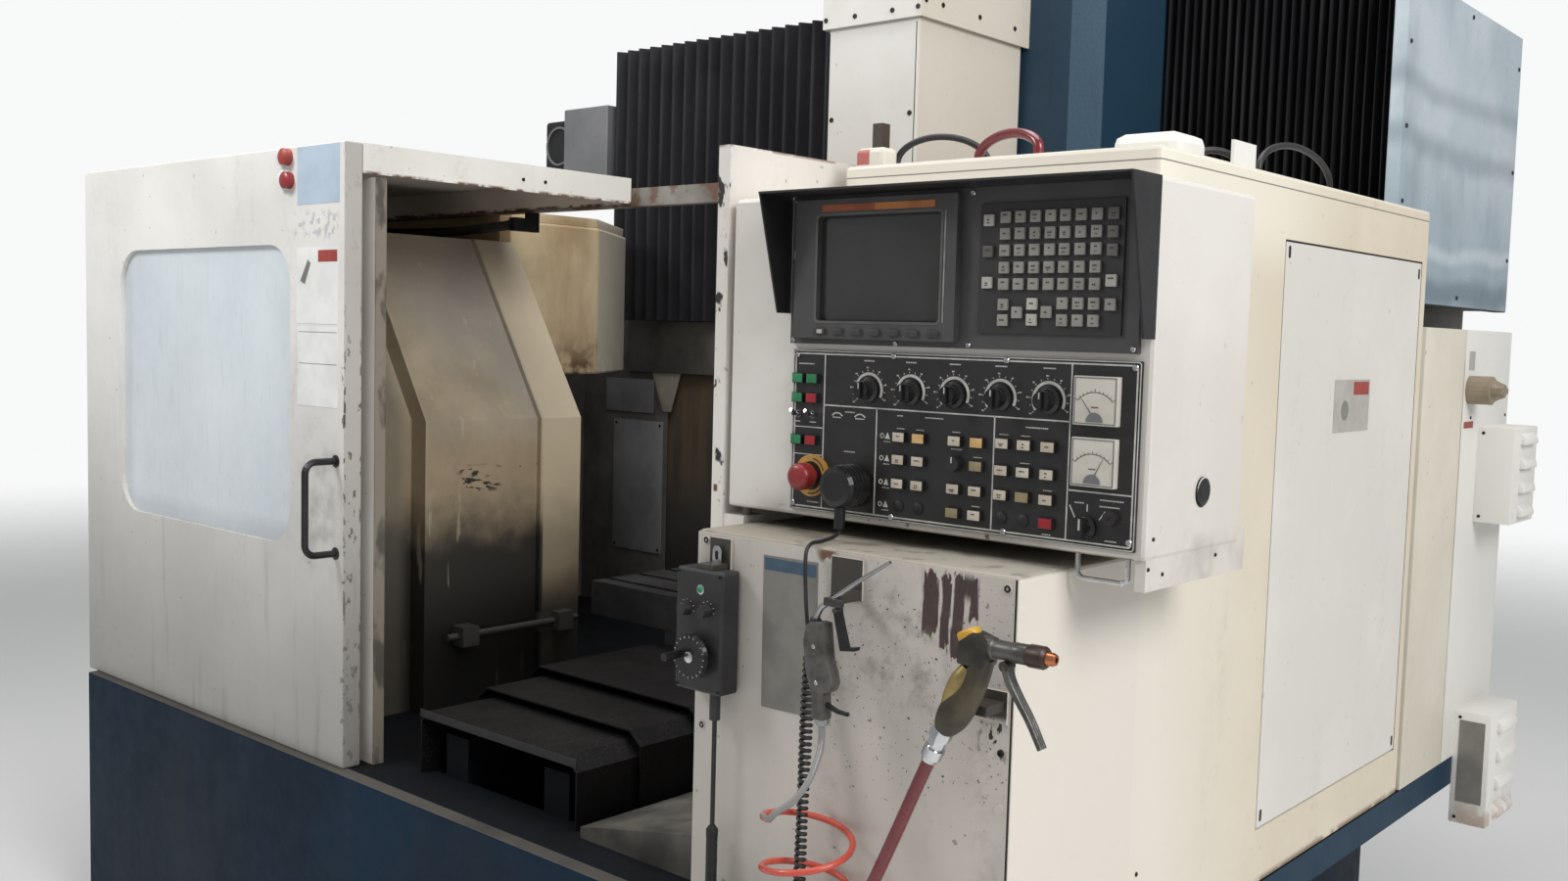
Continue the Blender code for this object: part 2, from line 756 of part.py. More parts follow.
def rounded_rectangle(left, right, bottom, top, radius):
    """Return the outline of a rectangle with round corners."""
    centres = (
        (right - radius, bottom + radius, -1),
        (right - radius, top - radius, 0),
        (left + radius, top - radius, 1),
        (left + radius, bottom + radius, 2),
    )
    outline = []
    for across, up, quarter in centres:
        for step in range(ROUND_STEPS + 1):
            angle = (quarter + step / ROUND_STEPS) * math.pi / 2
            outline.append((across + radius * math.cos(angle), up + radius * math.sin(angle)))
    return outline


def u_bar(start, middle, end, radius, bend):
    """Return a round bar from start down to a straight middle and back to end."""
    low_start, low_end = middle
    route = [Vector(start)]
    along = (Vector(low_end) - Vector(low_start)).normalized()
    for corner, before, after in (
        (Vector(low_start), Vector(start), along),
        (Vector(low_end), None, (Vector(end) - Vector(low_end)).normalized()),
    ):
        inward = (corner - before).normalized() if before is not None else along
        for step in range(ROUND_STEPS + 1):
            angle = step / ROUND_STEPS * math.pi / 2
            route.append(
                corner - inward * bend * (1 - math.sin(angle)) + after * bend * (1 - math.cos(angle))
            )
    route.append(Vector(end))
    return tube(route, radius)


def face_box(left, right, bottom, top, back, rise, edge=0.0):
    """Return a box that stands a little out of a front face."""
    return box((left, back - rise, bottom), (right, back + LAP * HALF_SHARE, top), edge)


def front_button(centre, size, face, rise):
    """Return a small rectangular button on a front face."""
    across, up = centre
    wide, high = size
    return box(
        (across - wide * HALF_SHARE, face - rise, up - high * HALF_SHARE),
        (across + wide * HALF_SHARE, face + LAP * HALF_SHARE, up + high * HALF_SHARE),
    )


def front_turned(profile, centre, face, sink=0.0, segments=KNOB_SEGMENTS, closed=False):
    """Return a turned body that stands out of a front face."""
    across, up = centre
    return turned(profile, (across, face + sink, up), (0.0, -1.0, 0.0), segments, closed)


def build_bed(paints):
    """Cast bed with its pan, ways and shelf, on nine feet."""
    bed = box((BED_LEFT, BED_FRONT, FOOT_HEIGHT), (BED_RIGHT, BED_BACK, BED_TOP), BED_EDGE)
    shelf_bottom = BED_TOP - SHELF_THICKNESS
    shelf = box((BED_RIGHT - OVERRUN, BED_FRONT, shelf_bottom), (SHELF_RIGHT, SHELF_BACK, BED_TOP))
    struts = []
    run = SHELF_BACK - BED_FRONT - STRUT_INSET * 2 - STRUT_THICKNESS
    for n in range(STRUT_COUNT):
        start = BED_FRONT + STRUT_INSET + run * n / (STRUT_COUNT - 1)
        outline = (
            (BED_RIGHT - OVERRUN, shelf_bottom - STRUT_DROP),
            (BED_RIGHT, shelf_bottom - STRUT_DROP),
            (BED_RIGHT + STRUT_REACH, shelf_bottom),
            (BED_RIGHT + STRUT_REACH, shelf_bottom + LAP),
            (BED_RIGHT - OVERRUN, shelf_bottom + LAP),
        )
        struts.append(prism(outline, "y", start, start + STRUT_THICKNESS))
    pan = box(
        (BAY_X - PAN_HALF_WIDTH, PAN_FRONT, PAN_FLOOR),
        (BAY_X + PAN_HALF_WIDTH, PAN_BACK, BED_TOP + OVERRUN),
    )
    ways = []
    for side in (-1, 1):
        middle = BAY_X + side * WAY_OFFSET
        ways.append(box(
            (middle - WAY_WIDTH * HALF_SHARE, PAN_FRONT - LAP, PAN_FLOOR - LAP),
            (middle + WAY_WIDTH * HALF_SHARE, PAN_BACK + LAP, WAY_TOP),
        ))
    bed = cut(joined(bed, shelf, together(*struts)), pan)
    profile = (
        (FOOT_RADIUS, 0.0), (FOOT_RADIUS, FOOT_PAD),
        (FOOT_STEM_RADIUS, FOOT_PAD), (FOOT_STEM_RADIUS, FOOT_HEIGHT + OVERRUN),
    )
    feet = []
    for row in FOOT_ROWS:
        for column in (-1, 0, 1):
            feet.append(turned(profile, (column * FOOT_SPACING_X, row, 0.0), (0.0, 0.0, 1.0)))
    place("base_casting", joined(bed, together(*ways), together(*feet)), paints["blue"])


def guard_outline(shift, thickness):
    """Return the bent section of the left guard."""
    face = GUARD_FACE + shift
    wall = BED_LEFT + WALL_THICKNESS + GAP
    bottom = BED_TOP + GAP
    slope = GUARD_SLOPE_RUN / (GUARD_TOP - GUARD_BEND)
    inner_face = face - thickness
    inner_top = GUARD_TOP - thickness
    return (
        (face, bottom), (face, GUARD_BEND), (face - GUARD_SLOPE_RUN, GUARD_TOP), (wall, GUARD_TOP),
        (wall, inner_top), (inner_face - slope * (inner_top - GUARD_BEND), inner_top),
        (inner_face, GUARD_BEND), (inner_face, bottom),
    )


def build_enclosure(paints):
    """Walls, roof rail, guards and magazine housing round the working space."""
    wall_bottom = BED_TOP + GAP
    outline = (
        (BED_LEFT, WALL_FRONT), (FRONT_WALL_RIGHT, WALL_FRONT),
        (FRONT_WALL_RIGHT, WALL_FRONT + WALL_THICKNESS),
        (BED_LEFT + WALL_THICKNESS, WALL_FRONT + WALL_THICKNESS),
        (BED_LEFT + WALL_THICKNESS, WALL_BACK), (BED_LEFT, WALL_BACK),
    )
    place("left_enclosure", prism(outline, "z", wall_bottom, WALL_TOP), paints["white"])
    wall_right = RIGHT_WALL_LEFT + WALL_THICKNESS
    wall = box((RIGHT_WALL_LEFT, WALL_FRONT, wall_bottom), (wall_right, WALL_BACK, WALL_TOP))
    lug_top = CABINET_LEDGE + LUG_RISE
    lug = box(
        (wall_right - LAP, LUG_FRONT, lug_top - LUG_HEIGHT), (wall_right + LUG_REACH, LUG_BACK, lug_top)
    )
    place("right_wall", joined(wall, lug), paints["white"])
    rail = box(
        (BED_LEFT, RAIL_FRONT, RAIL_BOTTOM), (wall_right, RAIL_FRONT + RAIL_DEPTH, RAIL_TOP)
    )
    place("roof_rail", rail, paints["cream"])

    front = WALL_FRONT + WALL_THICKNESS + GAP
    pieces = [
        prism(guard_outline(-GUARD_STEP, GUARD_THICKNESS), "y", front, GUARD_STEP_Y),
        prism(guard_outline(0.0, GUARD_THICKNESS + GUARD_STEP), "y",
              GUARD_STEP_Y - GUARD_THICKNESS * HALF_SHARE, GUARD_STEP_Y + GUARD_THICKNESS * HALF_SHARE),
        prism(guard_outline(0.0, GUARD_THICKNESS), "y", GUARD_STEP_Y, GUARD_STRIP_Y),
        prism(guard_outline(GUARD_STRIP, GUARD_THICKNESS + GUARD_STRIP), "y",
              GUARD_STRIP_Y - LAP, GUARD_BACK),
    ]
    rod_x = GUARD_FACE + GUARD_BLOCK * HALF_SHARE
    rod = turned(
        ((GUARD_ROD_RADIUS, 0.0), (GUARD_ROD_RADIUS, GUARD_ROD_END - GUARD_ROD_FRONT)),
        (rod_x, GUARD_ROD_FRONT, GUARD_ROD_Z), (0.0, 1.0, 0.0), KNOB_SEGMENTS,
    )
    blocks = []
    for middle in GUARD_BLOCKS_Y:
        blocks.append(box(
            (GUARD_FACE - LAP, middle - GUARD_BLOCK * HALF_SHARE, GUARD_ROD_Z - GUARD_BLOCK * HALF_SHARE),
            (GUARD_FACE + GUARD_BLOCK, middle + GUARD_BLOCK * HALF_SHARE,
             GUARD_ROD_Z + GUARD_BLOCK * HALF_SHARE),
        ))
    place("left_guard", joined(*pieces, together(*blocks), rod), paints["soot"])

    inside = BED_LEFT + WALL_THICKNESS + GAP
    outline = (
        (inside, MAGAZINE_FRONT), (MAGAZINE_RIGHT, MAGAZINE_FRONT),
        (MAGAZINE_RIGHT, MAGAZINE_CORNER_Y), (MAGAZINE_BACK_RIGHT, MAGAZINE_BACK),
        (inside, MAGAZINE_BACK),
    )
    housing = prism(outline, "z", MAGAZINE_BOTTOM, MAGAZINE_TOP, MAGAZINE_EDGE)
    place("magazine_housing", housing, paints["cream"])

    right = RIGHT_WALL_LEFT - GAP
    outline = (
        (FLOOR_GUARD_LEFT, wall_bottom), (right, wall_bottom),
        (right, FLOOR_GUARD_HIGH), (FLOOR_GUARD_LEFT, FLOOR_GUARD_LOW),
    )
    place("floor_guard", prism(outline, "y", front, WALL_BACK), paints["pale"])


def pleated_outline(start, end):
    """Return the plan of a pleated bellows."""
    pitch = (end - start) / PLEATS
    back = BEAM_WAY_FRONT - BELLOWS_CLEARANCE
    valley = back - BELLOWS_BAND
    outline = []
    for n in range(PLEATS):
        outline.append((start + n * pitch, valley))
        outline.append((start + (n + PLEAT_PEAK_SHARE) * pitch, valley - PLEAT_DEPTH))
    outline.append((end, valley))
    outline.append((end, back))
    outline.append((start, back))
    return outline


def build_portal(paints):
    """Fixed portal with its beam ways, bellows, end cover and drive box."""
    bottom = BED_TOP + GAP
    beam = box((BEAM_LEFT, PORTAL_FRONT, BEAM_BOTTOM), (BEAM_RIGHT, PORTAL_BACK, BEAM_TOP), PORTAL_EDGE)
    legs = []
    for left in (LEFT_LEG_X, RIGHT_LEG_X):
        legs.append(box(
            (left, PORTAL_FRONT + LAP, bottom), (left + LEG_WIDTH, PORTAL_BACK - LAP, BEAM_BOTTOM + OVERRUN)
        ))
    ways = []
    for low in BEAM_WAYS_Z:
        ways.append(box(
            (BEAM_LEFT + OVERRUN, BEAM_WAY_FRONT, low),
            (BEAM_RIGHT - OVERRUN, PORTAL_FRONT + OVERRUN, low + BEAM_WAY_HEIGHT),
        ))
    place("portal", joined(beam, together(*legs), together(*ways)), paints["portal"])

    cover_left = BEAM_RIGHT + GAP
    cover = box(
        (cover_left, END_COVER_FRONT, END_COVER_BOTTOM),
        (cover_left + END_COVER_THICKNESS, END_COVER_BACK, END_COVER_TOP), CABINET_EDGE * HALF_SHARE,
    )
    place("end_cover", cover, paints["steel_blue"])
    drive = box(
        (DRIVE_LEFT, DRIVE_FRONT, DRIVE_BOTTOM), (BEAM_LEFT - GAP, DRIVE_BACK, DRIVE_TOP), RAM_EDGE
    )
    fan = turned(
        ((FAN_RADIUS, 0.0), (FAN_RADIUS, FAN_LENGTH + LAP)),
        (DRIVE_LEFT + LAP, FAN_Y, FAN_Z), (-1.0, 0.0, 0.0),
    )
    place("x_drive_box", joined(drive, fan), paints["grey"])
    left = prism(
        pleated_outline(BEAM_LEFT, SADDLE_LEFT - GAP), "z", BELLOWS_BOTTOM, BELLOWS_TOP
    )
    place("bellows_left", left, paints["bellows"])
    right = prism(
        pleated_outline(SADDLE_RIGHT + GAP, BEAM_RIGHT), "z", BELLOWS_RIGHT_BOTTOM, BELLOWS_TOP
    )
    place("bellows_right", right, paints["bellows"])


def build_head(paints):
    """Saddle, head covers, ram and spindle."""
    front_y = SADDLE_FRONT
    outline = (
        (SADDLE_LEFT, BEAM_WAY_FRONT - GAP), (SADDLE_LEFT, front_y + SADDLE_CHAMFER_Y),
        (SADDLE_LEFT + SADDLE_CHAMFER_X, front_y), (SADDLE_RIGHT - SADDLE_CHAMFER_X, front_y),
        (SADDLE_RIGHT, front_y + SADDLE_CHAMFER_Y), (SADDLE_RIGHT, BEAM_WAY_FRONT - GAP),
    )
    middle = (HEAD_LEFT + HEAD_RIGHT) * HALF_SHARE
    saddle = pivot("saddle_axis", ((SADDLE_LEFT + SADDLE_RIGHT) * HALF_SHARE, front_y, SADDLE_BOTTOM))
    place("saddle", prism(outline, "z", SADDLE_BOTTOM, SADDLE_TOP), paints["saddle"], saddle)
    shell = box((HEAD_LEFT, HEAD_FRONT, HEAD_BOTTOM), (HEAD_RIGHT, front_y - GAP, HEAD_TOP))
    hollow = box(
        (HEAD_LEFT + HEAD_SHEET, HEAD_FRONT + HEAD_SHEET, HEAD_BOTTOM - OVERRUN),
        (HEAD_RIGHT - HEAD_SHEET, front_y + OVERRUN, HEAD_TOP - HEAD_SHEET),
    )
    place("upper_head_cover", cut(shell, hollow), paints["white"], saddle)

    ram = pivot("ram_axis", (middle, SPINDLE_Y, RAM_BOTTOM), saddle)
    left = HEAD_LEFT + RAM_SIDE_CLEARANCE
    right = HEAD_RIGHT - RAM_SIDE_CLEARANCE
    body = box((left, HEAD_FRONT + RAM_SIDE_CLEARANCE, RAM_BOTTOM), (right, RAM_BACK, RAM_TOP), RAM_EDGE)
    slide = box(
        (left + SLIDE_INSET, RAM_BACK - LAP, SADDLE_BOTTOM),
        (right - SLIDE_INSET, front_y - GAP, RAM_TOP - OVERRUN),
    )
    place("ram_cover", joined(body, slide), paints["white"], ram)
    height = RAM_BOTTOM - GAP - HOUSING_BOTTOM
    profile = (
        (HOUSING_LOW_RADIUS, 0.0), (HOUSING_RADIUS, HOUSING_STEP), (HOUSING_RADIUS, height),
    )
    housing = turned(profile, (middle, SPINDLE_Y, HOUSING_BOTTOM), (0.0, 0.0, 1.0))
    place("spindle_housing", housing, paints["dark"], ram)
    length = HOUSING_BOTTOM - GAP - SPINDLE_BOTTOM
    profile = (
        (SPINDLE_NOSE_RADIUS, 0.0), (SPINDLE_NOSE_RADIUS, SPINDLE_NOSE),
        (SPINDLE_RADIUS, SPINDLE_NOSE), (SPINDLE_RADIUS, length),
    )
    nose = turned(profile, (middle, SPINDLE_Y, SPINDLE_BOTTOM), (0.0, 0.0, 1.0))
    key_reach = SPINDLE_RADIUS - LAP
    key_z = SPINDLE_BOTTOM + SPINDLE_NOSE
    key = box(
        (middle - key_reach, SPINDLE_Y - SPINDLE_KEY * HALF_SHARE, key_z - LAP),
        (middle + key_reach, SPINDLE_Y + SPINDLE_KEY * HALF_SHARE, key_z + LAP),
    )
    spindle = pivot("spindle_axis", (middle, SPINDLE_Y, SPINDLE_BOTTOM), ram)
    place("spindle", joined(nose, key), paints["steel"], spindle)


def table_outline():
    """Return the side section of the table with its T-slots."""
    back = TABLE_FRONT + TABLE_DEPTH
    first = TABLE_FRONT + TABLE_DEPTH * (1 - SLOT_PITCH_SHARE * (SLOT_COUNT - 1)) * HALF_SHARE
    outline = [
        (TABLE_FRONT, TABLE_TOP), (TABLE_FRONT, TABLE_BOTTOM), (back, TABLE_BOTTOM), (back, TABLE_TOP),
    ]
    for n in reversed(range(SLOT_COUNT)):
        middle = first + n * TABLE_DEPTH * SLOT_PITCH_SHARE
        for side, order in ((1, 1), (-1, -1)):
            neck = middle + side * SLOT_NECK * HALF_SHARE
            head = middle + side * SLOT_HEAD * HALF_SHARE
            corner = [
                (neck, TABLE_TOP), (neck, TABLE_TOP - SLOT_NECK_DEPTH),
                (head, TABLE_TOP - SLOT_NECK_DEPTH), (head, TABLE_TOP - SLOT_DEPTH),
            ]
            outline.extend(corner[::order])
    return outline


def cover_section(step):
    """Return the section of one telescopic way cover."""
    half = COVER_HALF_WIDTH + step * COVER_HALF_STEP
    top = COVER_TOP + step * COVER_TOP_STEP
    sheet = COVER_SHEET
    outer = [
        (-half, BED_TOP + GAP), (-half, top - COVER_SHOULDER_Z), (-half + COVER_SHOULDER_X, top),
        (half - COVER_SHOULDER_X, top), (half, top - COVER_SHOULDER_Z), (half, BED_TOP + GAP),
    ]
    inner = [
        (half - sheet, BED_TOP + GAP), (half - sheet, top - COVER_SHOULDER_Z - sheet * HALF_SHARE),
        (half - COVER_SHOULDER_X - sheet * HALF_SHARE, top - sheet),
        (-half + COVER_SHOULDER_X + sheet * HALF_SHARE, top - sheet),
        (-half + sheet, top - COVER_SHOULDER_Z - sheet * HALF_SHARE), (-half + sheet, BED_TOP + GAP),
    ]
    return [(BAY_X + across, up) for across, up in outer + inner]


def build_table(paints):
    """Table on its carriage, with three telescopic covers over the ways."""
    axis = pivot("table_axis", (BAY_X, TABLE_FRONT + TABLE_DEPTH * HALF_SHARE, WAY_TOP))
    top = prism(table_outline(), "x", TABLE_LEFT, TABLE_RIGHT)
    carriage = box(
        (BAY_X - CARRIAGE_HALF_WIDTH, TABLE_FRONT + LAP, WAY_TOP + GAP),
        (BAY_X + CARRIAGE_HALF_WIDTH, TABLE_FRONT + TABLE_DEPTH - LAP, TABLE_BOTTOM + LAP),
    )
    place("table", joined(top, carriage), paints["iron"], axis)
    place("way_cover_front", prism(cover_section(0), "y", COVER_FRONT, COVER_FRONT + COVER_LENGTH),
          paints["steel"])
    rear_end = TABLE_FRONT - GAP
    rear_start = rear_end - COVER_LENGTH
    place("way_cover_rear", prism(cover_section(2), "y", rear_start, rear_end), paints["steel"], axis)
    start = COVER_FRONT + (rear_start - COVER_FRONT) * COVER_NEST_SHARE
    slide = pivot("cover_axis", (BAY_X, start, COVER_TOP))
    place("way_cover_middle", prism(cover_section(1), "y", start, start + COVER_LENGTH),
          paints["steel"], slide)


def build_door(paints):
    """Sliding door with its window, handle and roof."""
    bottom = BED_TOP + GAP
    axis = pivot("door_axis", ((DOOR_LEFT + DOOR_RIGHT) * HALF_SHARE, DOOR_FRONT, bottom))
    panel = box((DOOR_LEFT, DOOR_FRONT, bottom), (DOOR_RIGHT, DOOR_BACK, DOOR_TOP), DOOR_EDGE)
    hole = prism(
        rounded_rectangle(WINDOW_LEFT, WINDOW_RIGHT, WINDOW_BOTTOM, WINDOW_TOP, WINDOW_RADIUS),
        "y", DOOR_FRONT - OVERRUN, DOOR_BACK + OVERRUN,
    )
    place("door_panel", cut(panel, hole), paints["white"], axis)
    pane = prism(
        rounded_rectangle(
            WINDOW_LEFT + GAP, WINDOW_RIGHT - GAP, WINDOW_BOTTOM + GAP, WINDOW_TOP - GAP,
            WINDOW_RADIUS - GAP),
        "y", DOOR_FRONT + PANE_INSET, DOOR_FRONT + PANE_INSET + PANE_THICKNESS,
    )
    place("door_window", pane, paints["glass"], axis)
    face = DOOR_FRONT - GAP
    out = DOOR_FRONT - HANDLE_REACH
    handle = u_bar(
        (HANDLE_X, face, HANDLE_BOTTOM), ((HANDLE_X, out, HANDLE_BOTTOM), (HANDLE_X, out, HANDLE_TOP)),
        (HANDLE_X, face, HANDLE_TOP), HANDLE_RADIUS, HANDLE_BEND,
    )
    place("door_handle", handle, paints["black"], axis)
    roof_front = DOOR_BACK + GAP
    roof_back = RAIL_FRONT - GAP
    roof = box((DOOR_LEFT, roof_front, ROOF_BOTTOM), (DOOR_RIGHT, roof_back, DOOR_TOP))
    space = box(
        (DOOR_LEFT + ROOF_SHEET, roof_front + ROOF_SHEET, ROOF_BOTTOM - OVERRUN),
        (DOOR_RIGHT - ROOF_SHEET, roof_back - ROOF_SHEET, DOOR_TOP - ROOF_SHEET),
    )
    place("door_roof", cut(roof, space), paints["white"], axis)


def top_boxes():
    """Return the boxes, post and clip that stand on the cabinet's top."""
    floor = CABINET_TOP - LAP
    solids = []
    for shape, height, edge in (
        (JUNCTION, JUNCTION_HEIGHT, JUNCTION_EDGE), (SMALL_BOX, SMALL_BOX_HEIGHT, SMALL_BOX_EDGE),
    ):
        left, right, near, far = shape
        solids.append(box((left, near, floor - edge), (right, far, CABINET_TOP + height), edge))
    solids.append(box(
        (POST_X, POST_Y, floor), (POST_X + POST_WIDTH, POST_Y + POST_WIDTH, CABINET_TOP + POST_HEIGHT)
    ))
    left, right, near, far = CLIP
    solids.append(box((left, near, floor), (right, far, CABINET_TOP + CLIP_HEIGHT)))
    return together(*solids)


def louvred_boxes():
    """Return the two boxes with vent hoods on the rear cabinet's side, each with its joint."""
    face = CABINET_RIGHT + GAP
    solids = []
    for near, far, low, high in LOUVRES:
        pitch = (high - low) / HOOD_COUNT
        step = (high - low) * HOOD_HEIGHT_SHARE
        shell = box((face, near, low), (face + LOUVRE_REACH, far, high))
        hoods = []
        for n in range(HOOD_COUNT):
            floor = low + pitch * (n + HALF_SHARE * HALF_SHARE)
            lip = (
                (face + LOUVRE_REACH - LAP, floor), (face + LOUVRE_REACH + HOOD_REACH, floor),
                (face + LOUVRE_REACH, floor + step), (face + LOUVRE_REACH - LAP, floor + step),
            )
            hoods.append(prism(lip, "y", near + HOOD_MARGIN, far - HOOD_MARGIN))
        foot = max(low, BED_TOP + GAP) + LAP
        neck = box((CABINET_RIGHT - LAP, near + LAP, foot), (face + LAP, far - LAP, high - LAP))
        solids.append(joined(shell, together(*hoods), neck))
    return solids


def panel_face():
    """Return the place of the front panel's outer face."""
    return CABINET_FRONT - GAP - FRONT_PANEL_THICKNESS


def panel_plate(shape, reach):
    """Return a plate or arm that stands out of the front panel."""
    left, right, low, high = shape
    inside = panel_face() + FRONT_PANEL_THICKNESS * HALF_SHARE
    return box((left, panel_face() - reach, low), (right, inside, high))


def pendant_back():
    """Return the place of the pendant's back, which lies on the hook's plate."""
    return panel_face() - HOOK_PLATE - GAP


def panel_fittings():
    """Return the hooks and the cord bracket of the front panel."""
    hook_left, hook_right = PENDANT_HOOK[:2]
    arm = (hook_left + LAP, hook_right - LAP, PENDANT[3] + GAP, PENDANT_HOOK_HIGH)
    gun_reach = panel_face() - HANG_Y - AIR_LEVER_HALF - GAP
    coolant_reach = panel_face() - HANG_Y - COOLANT_GRIP_HALF - GAP
    inside = panel_face() + FRONT_PANEL_THICKNESS * HALF_SHARE
    bracket = box(
        (BRACKET_LEFT, BRACKET_FRONT, BRACKET_TOP - BRACKET_DEPTH), (BRACKET_RIGHT, inside, BRACKET_TOP)
    )
    return [
        panel_plate(PENDANT_HOOK, HOOK_PLATE), panel_plate(arm, PENDANT_HOOK_REACH),
        panel_plate(GUN_BRACKET, HOOK_PLATE), panel_plate(GUN_ARM, gun_reach),
        panel_plate(COOLANT_HOOK, HOOK_PLATE), panel_plate(COOLANT_ARM, coolant_reach),
        bracket,
    ]


def build_cabinet(paints):
    """Control cabinet, its covers, the rear cabinet and the things fixed to them."""
    bottom = BED_TOP + GAP
    outline = (
        (CABINET_FRONT, bottom), (CABINET_FRONT, CABINET_LEDGE), (CABINET_UPPER_FRONT, CABINET_LEDGE),
        (CABINET_UPPER_FRONT, CABINET_TOP), (CABINET_BACK, CABINET_TOP), (CABINET_BACK, bottom),
    )
    body = prism(outline, "x", CABINET_LEFT, CABINET_RIGHT, CABINET_EDGE)
    recess = box(
        (CABINET_RIGHT - RECESS_DEPTH, RECESS_FRONT, RECESS_BOTTOM),
        (CABINET_RIGHT + OVERRUN, RECESS_BACK, RECESS_TOP),
    )
    place("electrical_cabinet", joined(cut(body, recess), top_boxes()), paints["cream"])
    inset = RECESS_CLEARANCE
    cover_left = CABINET_RIGHT - RECESS_DEPTH + GAP
    cover = box(
        (cover_left, RECESS_FRONT + inset, RECESS_BOTTOM + inset),
        (cover_left + SIDE_COVER_THICKNESS, RECESS_BACK - inset, RECESS_TOP - inset),
    )
    place("cabinet_side_cover", cover, paints["white"])
    panel_back = CABINET_FRONT - GAP
    panel_front = panel_face()
    panel = box(
        (FRONT_PANEL_LEFT, panel_front, FRONT_PANEL_BOTTOM),
        (FRONT_PANEL_RIGHT, panel_back, CABINET_LEDGE - FRONT_PANEL_MARGIN),
    )
    screws = []
    for centre in PANEL_SCREWS:
        profile = ((SCREW_RADIUS, 0.0), (SCREW_RADIUS, SCREW_HEAD + FRONT_PANEL_THICKNESS * HALF_SHARE))
        screws.append(front_turned(profile, centre, panel_front, FRONT_PANEL_THICKNESS * HALF_SHARE))
    panel = joined(panel, together(*screws), *panel_fittings())
    place("front_lower_panel", panel, paints["white"])

    rear = box((REAR_LEFT, REAR_FRONT, bottom), (CABINET_RIGHT, REAR_BACK, REAR_TOP), REAR_EDGE)
    place("rear_cabinet", joined(rear, *louvred_boxes()), paints["cream"])
    face = CABINET_RIGHT + GAP
    centre = (face, SWITCH_Y, SWITCH_Z)
    knob = turned(SWITCH_PROFILE, centre, (1.0, 0.0, 0.0), KNOB_SEGMENTS)
    reach = SWITCH_PROFILE[1][1]
    radius = SWITCH_PROFILE[0][0]
    bar = box(
        (face + reach - LAP, SWITCH_Y - radius + LAP, SWITCH_Z - SWITCH_BAR_HALF),
        (face + SWITCH_PROFILE[-1][1], SWITCH_Y + radius - LAP, SWITCH_Z + SWITCH_BAR_HALF),
    )
    axis = pivot("switch_axis", centre)
    place("main_switch", joined(knob, bar), paints["tan"], axis)


def arc_route(start_x, start_y, end_x, end_y, rise, radius):
    """Return a hoop of cable whose two ends stand on the cabinet's top."""
    floor = CABINET_TOP + GAP
    route = [(start_x, start_y, floor)]
    for step in range(CABLE_STEPS + 1):
        angle = step / CABLE_STEPS * math.pi
        across = (1 - math.cos(angle)) * HALF_SHARE
        route.append((
            start_x + (end_x - start_x) * across, start_y + (end_y - start_y) * across,
            floor + radius * 2 + rise * math.sin(angle),
        ))
    route.append((end_x, end_y, floor))
    return route


def build_top_cables(paints):
    """Black cables and a red hose that lie on the cabinet's top."""
    for n, arc in enumerate(TOP_ARCS):
        cable = tube(arc_route(*arc, TOP_CABLE_RADIUS), TOP_CABLE_RADIUS)
        place(f"top_cable_{n + 1}", cable, paints["black"])
    hose = tube(arc_route(*TOP_HOSE, TOP_HOSE_RADIUS), TOP_HOSE_RADIUS)
    place("top_hose", hose, paints["hose_red"])


def console_floor():
    """Return the height of the console's floor, a little above the cabinet's ledge."""
    return CABINET_LEDGE + LEDGE_CLEARANCE


def seat(name, shape, material, parent, origin=None):
    """Add a piece of the console, which is made with the console's floor at zero height."""
    lift = Vector((0.0, 0.0, console_floor()))
    shape.transform(Matrix.Translation(lift))
    place(name, shape, material, parent, Vector(origin) + lift if origin else None)


